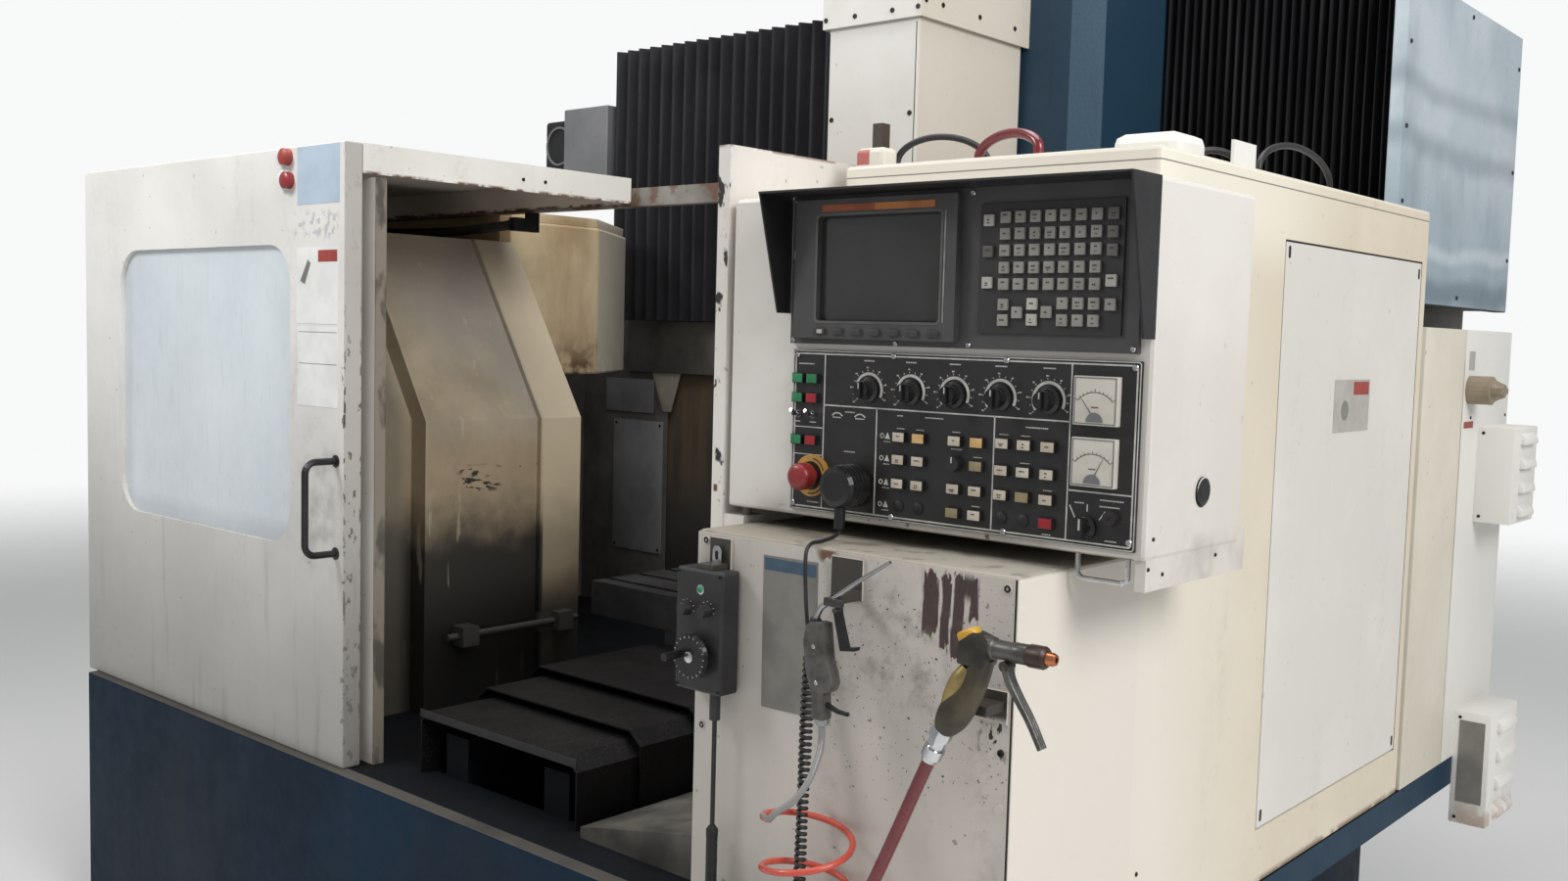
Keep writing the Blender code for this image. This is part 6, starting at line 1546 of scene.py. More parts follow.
    def dial(self, shape: Shape, x: float) -> None:
        """Print the scale round an override knob."""
        y0, y1 = self.plate + SUNK, self.plate - 0.0005
        shape.band((x, self.knobs_z), (0.0246, 0.0208), (-25, 215), 22, y0, y1)
        ticks = 12
        at = Vector((x, self.knobs_z))
        for n in range(ticks + 1):
            way = spoke(-25 + 240 * n / ticks).xz
            self.line(shape, at + way * 0.0262, at + way * 0.0285, 0.0009)
            mark = at + way * 0.0312
            if n % 2 == 0:
                self.dashes(shape, mark.x, mark.y, 0.004, self.plate, 0.002)
        self.dashes(shape, x, 1.4655, 0.018, self.plate, 0.0018)

    def caps(self) -> None:
        """Lay the coloured caps on the push buttons and set the unlit lamps between them."""
        green, red, cream = Stock.GREEN, Stock.CRIMSON, Stock.BUTTON
        rows = {
            green: ((0.945, 1.437), (0.972, 1.437), (0.945, 1.409), (0.945, 1.348)),
            red: ((0.972, 1.409), (0.972, 1.348), (1.365, 1.269)),
            Stock.LIT: ((1.163, 1.363), (1.257, 1.364)),
            Stock.OLIVE: ((1.222, 1.268), (1.329, 1.299), (1.257, 1.333)),
            cream: ((1.13, 1.363), (1.13, 1.332), (1.163, 1.332), (1.13, 1.299), (1.163, 1.299),
                    (1.222, 1.364), (1.222, 1.3), (1.257, 1.3), (1.257, 1.268), (1.296, 1.366),
                    (1.329, 1.366), (1.364, 1.366), (1.296, 1.331), (1.329, 1.331), (1.364, 1.331),
                    (1.296, 1.299), (1.364, 1.299)),
        }
        shape = Shape("button_caps", cream)
        marks = Shape("button_marks", Stock.INK)
        front = self.cap_face - 0.0012
        for stock, places in rows.items():
            shape.use(stock)
            for x, z in places:
                shape.tile((x, z), self.cap_half, front, self.cap_face + 0.001, 0.0006)
                if stock is cream:
                    self.dashes(
                        marks, x, z + self.dice.uniform(-0.001, 0.002), self.dice.uniform(0.003, 0.009),
                        front
                    )
                    if self.dice.random() < 0.5:
                        self.dashes(marks, x, z - 0.003, self.dice.uniform(0.003, 0.007), front)
        shape.use(Stock.RUBBER)
        for x, z in ((1.13, 1.268), (1.163, 1.268), (1.296, 1.269), (1.329, 1.269)):
            shape.turn((x, self.plate, z), FRONT, [
                (-0.0005, 0.0085), (0.0016, 0.0085), (0.002, 0.007), (0.0032, 0.0055), (0.004, 0.0028),
                (0.0042, 0.0004)
            ], 20)
        shape.use(Stock.CHROME)
        for x in (0.945, 0.972):
            shape.turn((x, self.plate, 1.385), FRONT, [
                (0.0, 0.0056), (0.0022, 0.0056), (0.0024, 0.004), (0.006, 0.0034), (0.0068, 0.003)
            ], 12)
            shape.pipe([(x, self.plate - 0.005, 1.385), (x, self.plate - 0.014, 1.389),
                        (x, self.plate - 0.019, 1.391)], [0.0016, 0.0024, 0.0028], 10)
        shape.turn((1.455, self.plate - 0.001, 1.285), FRONT, [
            (0.0, 0.0072), (0.0045, 0.007), (0.005, 0.006), (0.005, 0.004), (0.0036, 0.0036)
        ], 20)
        for x, z in ((1.1143, 1.4732), (1.2957, 1.4737), (1.118, 1.2512), (0.9385, 1.2542), (1.4797, 1.2574),
                     (1.4785, 1.4705), (0.9402, 1.4707), (1.3, 1.2512)):
            shape.screw((x, self.plate, z), FRONT, 0.0042, 0.0024)
        shape.piece(Body.CONSOLE)
        marks.piece(Body.CONSOLE)

    def meters(self) -> None:
        """Make the two panel meters' faces, scales and needles."""
        shape = Shape("panel_meters", Stock.METER)
        x, y = 1.431, -0.0847
        for low, swing in ((1.398, 128.0), (1.322, 62.0)):
            shape.use(Stock.METER).slab(
                (x - 0.0304, y, low - 0.0004), (x + 0.0304, self.plate, low + 0.0604), 0.0012
            )
            shape.use(Stock.GREY)
            edge = [blank(x - n, low + 0.03 - n, x + n, low + 0.03 + n) for n in (0.0288, 0.0276)]
            shape.ring(Axis.Y, edge[0], edge[1], y + SUNK, y - 0.0004)
            shape.prism(Axis.Y, [*arc(x, low + 0.004, 0.0115, 0, 180, 16)], y + SUNK, y - 0.001)
            shape.use(Stock.INK).band((x, low + 0.008), (0.033, 0.0322), (42, 138), 16, y + SUNK, y - 0.0003)
            for n in range(11):
                way = spoke(42 + 9.6 * n)
                at = Vector((x, y - 0.0002, low + 0.008))
                shape.pipe([at + way * 0.033, at + way * (0.0368 if n % 5 == 0 else 0.035)], 0.0003, 5)
            way = spoke(swing)
            at = Vector((x, y - 0.0006, low + 0.008))
            shape.pipe([at + way * 0.008, at + way * 0.0315], [0.0005, 0.0002], 6)
            self.dashes(shape, x, low + 0.022, 0.01, y)
        shape.piece(Body.CONSOLE)

    def stop(self) -> None:
        """Make the emergency stop's yellow ring and mushroom head."""
        x, z = 0.976, 1.297
        ring = Shape("stop_ring", Stock.YELLOW)
        circle = [arc(x, z, radius, 0, 352.5, 47) for radius in (0.0303, 0.0206, 0.029, 0.0212)]
        ring.ring(Axis.Y, circle[0], circle[1], self.plate, self.cap_face - 0.0006)
        ring.ring(Axis.Y, circle[2], circle[3], self.cap_face, self.cap_face - 0.0012)
        ring.use(Stock.INK)
        for n in range(3):
            start = 20 + 120 * n
            ring.band(
                (x, z), (0.0268, 0.0248), (start, start + 60), 8, self.cap_face, self.cap_face - 0.0015
            )
        ring.piece(Body.CONSOLE)
        head = Shape("stop_head", Stock.STOP)
        head.turn((x, -0.0789, z), FRONT, [
            (0.0, 0.012), (0.0104, 0.0122), (0.0106, 0.017), (0.0112, 0.0185), (0.0128, 0.0194),
            (0.025, 0.0196), (0.029, 0.0192), (0.0325, 0.0178), (0.035, 0.015), (0.0362, 0.0105),
            (0.0366, 0.005), (0.0367, 0.0005)], 40)
        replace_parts(head.piece(Body.STOP), "estop_button")

    def screen(self) -> None:
        """Dress the screen, its strip, soft keys and side keys."""
        shape = Shape("screen_parts", Stock.SCREEN)
        plate = self.screen_plate
        x0, z0, x1, z1 = self.opening
        glass, outer, inner = (
            rounded(x0 + n, z0 + n, x1 - n, z1 - n, 0.006, 5) for n in (0.0012, -0.0035, 0.0)
        )
        shape.prism(Axis.Y, glass, -0.0812, -0.0822, 0.0004)
        shape.use(Stock.BEZEL)
        behind = self.bezel + SUNK
        shape.ring(Axis.Y, outer, inner, behind, self.bezel - 0.0006)
        for stock, left, right in ((Stock.STRIP_RED, 0.992, 1.085), (Stock.STRIP, 1.0855, 1.186)):
            shape.use(stock).slab((left, self.bezel - 0.0007, 1.6728), (right, behind, 1.6822))
        shape.use(Stock.BRIGHT_LINE).slab((1.2025, self.bezel - 0.0005, 1.52), (1.2048, behind, 1.668))
        shape.use(Stock.SOFT_KEY)
        for n in range(7):
            spot = (0.994 + 0.0325 * n, 1.505)
            shape.tile(spot, (0.0092, 0.0043), self.bezel - 0.0036, self.bezel - 0.0026, 0.0004)
        shape.use(Stock.KEY_PALE).slab(
            (0.9905, self.bezel - 0.004, 1.5022), (0.9995, self.bezel - 0.0034, 1.5078)
        )
        shape.tile((0.9375, 1.6145), (0.0037, 0.006), plate - 0.003, plate + SUNK, 0.0006)
        shape.use(Stock.BLACK)
        for z in (1.588, 1.566):
            shape.tile((0.9375, z), (0.0037, 0.005), plate - 0.0022, plate + SUNK, 0.0006)
        shape.use(Stock.CHROME)
        for x, z in (
            (0.934, 1.492), (0.934, 1.69), (1.119, 1.4905), (1.238, 1.69), (1.238, 1.4915),
            (1.476, 1.4925), (1.476, 1.69)
        ):
            shape.screw((x, plate, z), FRONT, 0.0036, 0.002)
        shape.piece(Body.CONSOLE)

    def keys(self) -> None:
        """Cap the keys and print their marks."""
        wide, narrow = (1.2925, 1.3145, 1.3365, 1.3585), (1.3795, 1.4015, 1.4235)
        rows = (1.656, 1.635, 1.614, 1.592, 1.571)
        places = [(x, z) for x in wide for z in rows] + [
            (x, z) for x in narrow for z in (*rows, 1.547, 1.526)
        ]
        places += [(1.446, z) for z in (1.656, 1.634, 1.612, 1.575, 1.546)]
        places += [(1.2675, 1.653), (1.2675, 1.613), (1.2675, 1.573)]
        places += [
            (1.293, 1.545), (1.293, 1.525), (1.314, 1.535), (1.336, 1.546), (1.336, 1.526), (1.357, 1.536)
        ]
        dark = {(1.446, 1.634), (1.446, 1.612), (1.2675, 1.613), (1.446, 1.656)}
        pale = {(1.2675, 1.653), (1.2675, 1.573), (1.446, 1.575), (1.336, 1.526), (1.336, 1.546)}
        shape = Shape("key_caps", Stock.KEY)
        marks = Shape("key_marks", Stock.INK)
        front = self.key_face - 0.0009
        for x, z in places:
            shape.use(Stock.KEY_DARK if (x, z) in dark else Stock.KEY_PALE if (x, z) in pale else Stock.KEY)
            shape.tile((x, z), self.key_half, front, self.key_face + 0.0034, 0.0009)
            self.dashes(
                marks, x, z + self.dice.uniform(-0.001, 0.003), self.dice.uniform(0.003, 0.008), front, 0.002
            )
            if self.dice.random() < 0.4:
                self.dashes(marks, x, z - 0.0035, self.dice.uniform(0.002, 0.006), front, 0.0014)
        shape.piece(Body.CONSOLE)
        marks.piece(Body.CONSOLE)

    def pointers(self) -> None:
        """Mark the override knobs, the small knob and the selector."""
        for n in range(self.knobs):
            shape = Shape(f"knob_{n + 1}_pointer", Stock.PRINT)
            spot = (self.first_knob + self.knob_pitch * n, self.knobs_z + 0.006)
            shape.tile(spot, (0.0008, 0.004), -0.0989, -0.0978)
            made = shape.piece()
            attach(made, f"knob_{n + 1}_body")
        shape = Shape("selector_pointer", Stock.KEY_PALE)
        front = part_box("selector_knob")[0][1]
        shape.tile((1.421, 1.275), (0.0012, 0.007), front - 0.0006, front + 0.0012)
        shape.piece(Body.SELECTOR)
        small = Shape("small_knob_line", Stock.PRINT)
        small.tile((1.223, 1.339), (0.0008, 0.004), -0.0868, -0.086)
        small.piece(Body.CONSOLE)

    def body(self) -> None:
        """Add the black plug, the hand unit's rings and the housing's screws."""
        shape = Shape("console_fittings", Stock.RUBBER)
        shape.turn((1.5002, 0.077, 1.313), RIGHT, [
            (-0.001, 0.0186), (0.0022, 0.0186), (0.0034, 0.017), (0.0036, 0.012), (0.0024, 0.011)
        ], 32)
        shape.use(Stock.SCREW)
        for y, z in ((-0.052, 1.262), (-0.058, 1.225), (-0.02, 1.2155), (0.13, 1.225)):
            shape.screw((1.4982 if z < 1.235 else 1.5002, y, z), RIGHT, 0.0026, 0.0014)
        shape.use(Stock.GLOSS)
        for along in (0.01, 0.018, 0.026, 0.034):
            shape.turn((1.056, self.plate - along, 1.29), FRONT, [
                (0.0, 0.0285), (0.0008, 0.0306), (0.0034, 0.0306), (0.0042, 0.0285)
            ], 36)
        shape.piece(Body.CONSOLE)

    def build(self) -> None:
        """Make everything on the console."""
        dress(Stock.CONSOLE, "console_housing")
        dress(Stock.VISOR, "console_visor")
        dress(Stock.CRT, "crt_unit")
        dress(Stock.KEY_MAT, "keypad")
        dress(Stock.OPERATOR, "operator_panel")
        dress(Stock.CHROME, "console_bar")
        dress(
            Stock.GLOSS, *(f"override_knob_{n + 1}" for n in range(self.knobs)), "selector_knob", "hand_unit"
        )
        self.print_lines()
        self.caps()
        self.meters()
        self.stop()
        self.screen()
        self.keys()
        self.pointers()
        self.body()


@dataclass
class Door:
    """The sliding door with its bare plates, marks and handle.

    Attributes:
        face: Y of its front.
        roof_right: X of its roof's right edge.
    """

    face: float = -0.13
    roof_right: float = -0.175

    def build(self) -> None:
        """Make the door's small parts."""
        dress(Stock.DOOR, "door_panel")
        dress(Stock.ROOF, "door_roof")
        dress(Stock.PANE, "door_window")
        dress(Stock.DARK_STEEL, "door_handle")
        behind, plate = self.face + SUNK, self.face - 0.0006
        mark = plate - 0.0003
        shape = Shape("door_plates", Stock.PLATE_BLUE)
        shape.prism(Axis.Y, blank(-0.347, 1.731, -0.192, 1.845), behind, plate)
        shape.use(Stock.STICKER).prism(Axis.Y, blank(-0.349, 1.495, -0.197, 1.646), behind, plate)
        shape.prism(Axis.Y, blank(-0.345, 1.331, -0.196, 1.49), behind, plate)
        shape.use(Stock.RED_MARK).prism(Axis.Y, blank(-0.268, 1.617, -0.199, 1.64), behind, mark)
        shape.use(Stock.SHEET_GREY).prism(
            Axis.Y, [(-0.335, 1.58), (-0.318, 1.573), (-0.296, 1.615), (-0.306, 1.622)], behind, mark
        )
        for z in (1.478, 1.415):
            shape.prism(Axis.Y, blank(-0.341, z, -0.2, z + 0.0012), behind, mark)
        for x, z, stock in ((-0.386, 1.83, Stock.RED_MARK), (-0.38, 1.783, Stock.STOP)):
            shape.use(Stock.STICKER).turn(
                (x - 0.012, self.face, z), FRONT, [(-0.0005, 0.019), (0.01, 0.019), (0.012, 0.016)], 28
            )
            shape.use(stock).turn((x + 0.004, self.face, z - 0.002), FRONT, [
                (-0.0005, 0.017), (0.014, 0.017), (0.017, 0.013), (0.018, 0.004)
            ], 28)
        shape.use(Stock.DARK_STEEL)
        for z in (1.044, 1.227):
            shape.turn(
                (-0.202, self.face, z), FRONT, [(-0.0005, 0.0125), (0.002, 0.0125), (0.0032, 0.0105)], 24
            )
        shape.piece(Body.DOOR)
        screws = Shape("roof_screws", Stock.SCREW)
        for y in (0.3, 0.36):
            screws.screw((self.roof_right, y, 1.815), RIGHT, 0.004, 0.0018)
        screws.piece(Body.DOOR)


@dataclass
class Cabinet:
    """The electrical cabinets' gaps, bare plates, screws and vent hoods.

    Attributes:
        side: X of their right side.
        gap_depth: How deep a dark gap line lies under it.
        panel_face: Y of the front panel's face.
    """

    side: float = 1.385
    gap_depth: float = 0.004
    panel_face: float = -0.1702

    def build(self) -> None:
        """Make the cabinet's small parts."""
        dress(Stock.CABINET, "electrical_cabinet")
        dress(Stock.COVER, "cabinet_side_cover")
        dress(Stock.PANEL, "front_lower_panel")
        dress(Stock.TAN, "main_switch")
        x = self.side
        shape = Shape("side_cover_gap", Stock.GAP)
        for y0, y1, z0, z1 in (
            (0.5855, 1.2475, 1.6655, 1.6708), (1.2452, 1.2478, 0.7105, 1.67), (0.5853, 0.5863, 0.7105, 1.67)
        ):
            shape.slab((x - self.gap_depth, y0, z0), (x - 0.0004, y1, z1))
        shape.piece(Body.ROOT)
        shape = Shape("side_cover_parts", Stock.SCREW)
        for y, z in ((0.603, 1.652), (1.232, 1.647), (0.603, 0.732), (1.232, 0.732)):
            lock = rounded(y - 0.0042, z - 0.01, y + 0.0042, z + 0.01, 0.004, 4)
            shape.prism(Axis.X, lock, x - 0.0006, x + 0.0004)
        marks = (
            (Stock.PLATE, blank(0.828, 1.354, 0.998, 1.446), 0.0006, 0.0004),
            (Stock.RED_MARK, blank(0.918, 1.419, 0.992, 1.442), 0.0006, 0.0007),
            (Stock.SHEET_GREY, arc(0.88, 1.392, 0.0175, 0, 352, 40), 0.0006, 0.0007)
        )
        for stock, outline, sunk, rise in marks:
            shape.use(stock).prism(Axis.X, outline, x - sunk, x + rise)
        shape.use(Stock.SCREW)
        for y, z in ((0.173, 0.75), (0.052, 1.222), (0.2, 1.222), (1.62, 1.36), (1.88, 1.36)):
            shape.screw((x, y, z), RIGHT, 0.0035, 0.0016)
        shape.use(Stock.PLATE).prism(Axis.X, blank(1.588, 1.462, 1.628, 1.502), x - 0.0004, x + 0.0005)
        shape.use(Stock.RED_MARK).prism(Axis.X, blank(1.575, 1.338, 1.64, 1.352), x - 0.0004, x + 0.0007)
        shape.piece(Body.ROOT)
        self.rear()
        self.panel_parts()

    def rear(self) -> None:
        """Make the rear cabinet with its two boxes under small vent hoods."""
        x = self.side
        shape = Shape("rear_cabinet_sheet", Stock.REAR)
        shape.slab((1.24, 1.2985, 0.6153), (x, 1.9, 1.547), 0.003)
        for near, far, low, high in ((1.68, 1.86, 1.13, 1.34), (1.64, 1.84, 0.47, 0.72)):
            shape.use(Stock.REAR).slab((x - 0.001, near, low), (x + 0.0755, far, high), 0.004)
            pitch = (high - low) / 4.0
            for n in range(4):
                foot = low + pitch * (n + 0.28)
                hood = [(x + 0.0745, foot), (x + 0.0875, foot), (x + 0.0885, foot + 0.006),
                        (x + 0.086, foot + 0.016), (x + 0.0745, foot + 0.026)]
                shape.prism(Axis.Y, hood, near + 0.048, far - 0.04, 0.0025)
            shape.use(Stock.SCREW)
            for z in (low + 0.014, high - 0.014):
                shape.screw((x + 0.012, near, z), FRONT, 0.0035, 0.0014)
        shape.use(Stock.SHEET_GREY).slab((x + 0.012, 1.6388, 0.52), (x + 0.064, 1.6402, 0.7))
        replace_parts(shape.piece(Body.ROOT), "rear_cabinet")

    def panel_parts(self) -> None:
        """Add the front panel's bare plate, its screws and the gap at its right end."""
        shape = Shape("front_plate", Stock.SHEET_GREY)
        y0, y1 = self.panel_face + 0.0004, self.panel_face - 0.0006
        shape.prism(Axis.Y, [(0.972, 0.974), (1.071, 0.976), (1.069, 1.191), (0.97, 1.19)], y0, y1)
        shape.use(Stock.HEADER).prism(Axis.Y, blank(0.9725, 1.17, 1.0665, 1.187), y0, y1 - 0.0003)
        shape.use(Stock.SCREW)
        for x, z in ((0.857, 1.198), (0.856, 0.924), (1.371, 1.197), (1.37, 0.992), (1.098, 1.1425)):
            shape.screw((x, self.panel_face, z), FRONT, 0.0048, 0.0022)
        shape.use(Stock.GAP).slab((1.3812, -0.1692, 0.622), (1.3828, -0.1668, 1.209))
        shape.piece(Body.ROOT)


@dataclass
class Hangers:
    """What hangs on the front panel: the pendant, the air gun and the coolant gun.

    Attributes:
        gun_y: Y of the middle of both guns.
        pendant_front: Y of the pendant's front.
        wheel: The middle of its wheel's face.
        lamp: X and Z of its lamp.
    """

    gun_y: float = GUN_Y
    pendant_front: float = -0.2113
    wheel: Place = (0.884, -0.2298, 1.038)
    lamp: Place = (0.888, 1.134)

    def pendant(self) -> None:
        """Dress the pendant with its hook, lamp, knobs and hand wheel."""
        dress(Stock.BLACK, "pendant_box")
        dress(Stock.GLOSS, "pendant_wheel")
        front = self.pendant_front
        lamp = (self.lamp[0], front, self.lamp[1])
        shape = Shape("pendant_parts", Stock.GREEN)
        shape.turn(lamp, FRONT, [(-0.001, 0.005), (0.003, 0.005), (0.0048, 0.0032), (0.0052, 0.0006)], 18)
        shape.use(Stock.CHROME).turn(lamp, FRONT, [(-0.001, 0.0072), (0.0014, 0.0072), (0.0018, 0.006)], 18)
        shape.use(Stock.PRINT)
        for x, z in ((0.861, 1.103), (0.901, 1.105)):
            for n in range(7):
                way = spoke(-10 + 200 * n / 6)
                at = Vector((x, front - 0.0002, z))
                shape.pipe([at + way * 0.0125, at + way * 0.0142], 0.0005, 5)
        shape.use(Stock.SCREW)
        for x, z in ((0.843, 1.156), (0.925, 1.156), (0.843, 0.991), (0.925, 0.991)):
            shape.screw((x, front, z), FRONT, 0.0026, 0.0014)
        shape.use(Stock.CHROME)
        strap = [
            (0.88, 1.1625), (0.897, 1.1625), (0.897, 1.188), (0.893, 1.194), (0.884, 1.194), (0.88, 1.188)
        ]
        shape.prism(Axis.Y, strap, -0.1815, -0.179, 0.0006)
        shape.use(Stock.SCREW).prism(
            Axis.Y, rounded(0.8855, 1.174, 0.8915, 1.187, 0.0028, 4), -0.1818, -0.1814
        )
        shape.piece(Body.ROOT)
        wheel = Shape("wheel_marks", Stock.PRINT)
        for n in range(20):
            way = spoke(360 * n / 20)
            at = Vector(self.wheel)
            wheel.pipe([at + way * 0.0275, at + way * 0.0305], 0.0004, 5)
        wheel.use(Stock.CHROME).turn(
            Vector(self.wheel) - Vector(FRONT) * SUNK, FRONT,
            [(-0.001, 0.008), (0.001, 0.008), (0.0016, 0.006)], 20
        )
        wheel.piece(Body.WHEEL)

    def grip(self, shape: Shape, outline: Outline, half: float, bevel: float) -> None:
        """Add a rounded flat form of a gun."""
        shape.prism(Axis.Y, outline, self.gun_y - half, self.gun_y + half, bevel)

    def air(self) -> None:
        """Make the air gun, with its nozzle rod and couplings."""
        dress(Stock.DARK_STEEL, "air_gun_lever")
        y = self.gun_y
        shape = Shape("air_gun_body", Stock.OLD_GREY)
        self.grip(shape, [
            (1.104, 1.1), (1.108, 1.122), (1.116, 1.127), (1.139, 1.128), (1.145, 1.08), (1.152, 1.062),
            (1.156, 1.049), (1.15, 1.038), (1.14, 1.034), (1.142, 0.998), (1.122, 0.998), (1.121, 1.03),
            (1.11, 1.06)
        ], 0.0108, 0.0045)
        shape.use(Stock.BARE)
        rod = smooth([
            (1.112, y, 1.114), (1.124, y, 1.142), (1.14, y, 1.155), (1.185, y, 1.187), (1.236, y, 1.219)
        ], 5)
        shape.pipe(rod, taper(0.0052, 0.0022, len(rod)), 12)
        shape.turn(
            (1.133, y, 1.0), DOWN, [(0.0, 0.0105), (0.006, 0.0105), (0.0066, 0.0085), (0.0095, 0.0072)], 6
        )
        shape.use(Stock.DARK_STEEL).turn(
            (1.114, y, 1.118), (0.38, 0, 0.92), [(0.0, 0.0082), (0.012, 0.0078), (0.014, 0.0062)], 6
        )
        shape.pipe([(1.138, y, 1.02), (1.158, y, 1.014), (1.176, y, 1.013)], [0.004, 0.0034, 0.0028], 10)
        shape.use(Stock.OLD_GREY).slab((1.134, y - 0.006, 1.1498), (1.16, y + 0.006, 1.161), 0.0015)
        shape.pipe([(1.154, y - 0.0075, 1.146), (1.154, y + 0.0075, 1.146)], 0.0036, 12)
        shape.use(Stock.CHROME)
        for x, z in ((1.124, 1.095), (1.13, 1.048)):
            shape.screw((x, y - 0.0108, z), FRONT, 0.0032, 0.0014)
        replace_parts(shape.piece(Body.ROOT), "air_gun")

    def coolant(self) -> None:
        """Make the coolant gun: yellow cap, dark body, barrel and copper tip."""
        y = self.gun_y
        blade = Shape("coolant_lever_blade", Stock.OLD_GREY)
        bend = smooth([
            (1.411, y, 1.1185), (1.417, y, 1.102), (1.429, y, 1.083), (1.446, y, 1.059), (1.463, y, 1.029)
        ], 5)
        for side in (-0.0042, 0.0, 0.0042):
            track = [(point[0], y + side, point[2]) for point in bend]
            blade.pipe(track, taper(0.0052, 0.0036, len(track)), 12)
        blade.turn((1.411, y - 0.0085, 1.1185), (0, 1, 0), [(0.0, 0.0062), (0.017, 0.0062)], 20)
        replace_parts(blade.piece(Body.COOLANT_LEVER), "coolant_lever")
        shape = Shape("coolant_gun_body", Stock.GRIP)
        line = smooth([
            (1.378, y, 1.124), (1.372, y, 1.104), (1.362, y, 1.083), (1.35, y, 1.063), (1.338, y, 1.044),
            (1.33, y, 1.032), (1.325, y, 1.025)
        ], 4)
        widths = smooth([(width, 0, 0) for width in (0.015, 0.016, 0.0185, 0.021, 0.0205, 0.017, 0.013)], 4)
        shape.pipe(line, [float(width[0]) for width in widths], 24)
        shape.use(Stock.BRASS)
        inlay = smooth([(1.362, y - 0.004, 1.108), (1.353, y - 0.006, 1.092), (1.342, y - 0.007, 1.074),
                        (1.33, y - 0.006, 1.055)], 4)
        shape.pipe(inlay, [
            0.0105, 0.0115, 0.0125, 0.0135, 0.014, 0.014, 0.0135, 0.013, 0.012, 0.011, 0.0095, 0.008, 0.006
        ], 18)
        shape.use(Stock.GUN_DARK)
        self.grip(shape, [
            (1.349, 1.112), (1.388, 1.112), (1.392, 1.128), (1.39, 1.146), (1.368, 1.153), (1.35, 1.14)
        ], 0.0162, 0.005)
        shape.use(Stock.CAP).turn((1.362, y, 1.138), (-0.42, 0, 0.9), [
            (0.0, 0.015), (0.014, 0.015), (0.0165, 0.013), (0.017, 0.008)
        ], 12)
        shape.use(Stock.OLD_GREY).turn((1.38, y, 1.136), RIGHT, [
            (0.0, 0.0135), (0.014, 0.0135), (0.016, 0.0115), (0.04, 0.0112), (0.042, 0.0124), (0.06, 0.0124),
            (0.062, 0.0115)
        ], 24)
        shape.use(Stock.NOZZLE).turn(
            (1.44, y, 1.136), RIGHT, [(0.0, 0.0125), (0.002, 0.0138), (0.022, 0.0138), (0.0255, 0.0105)], 12
        )
        shape.use(Stock.COPPER).turn((1.464, y, 1.136), RIGHT, [
            (0.0, 0.0084), (0.009, 0.008), (0.0125, 0.0064), (0.013, 0.0034), (0.006, 0.0028)
        ], 20)
        shape.use(Stock.GUN_DARK).pipe([(1.412, y - 0.009, 1.1185), (1.412, y + 0.009, 1.1185)], 0.0058, 14)
        down = Vector((-0.021, 0.0, -0.046)).normalized()
        top = Vector((1.326, y, 1.028))
        shape.use(Stock.CHROME).turn(top, down, [
            (0.0, 0.0125), (0.005, 0.015), (0.016, 0.015), (0.0175, 0.012), (0.026, 0.012)
        ], 6)
        shape.turn(top + down * 0.026, down, [
            (0.0, 0.0105), (0.004, 0.0105), (0.0045, 0.0135), (0.018, 0.0135), (0.0195, 0.011),
            (0.0245, 0.01)
        ], 20)
        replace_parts(shape.piece(Body.ROOT), "coolant_gun")

    def build(self) -> None:
        """Make everything that hangs on the panel."""
        self.pendant()
        self.air()
        self.coolant()


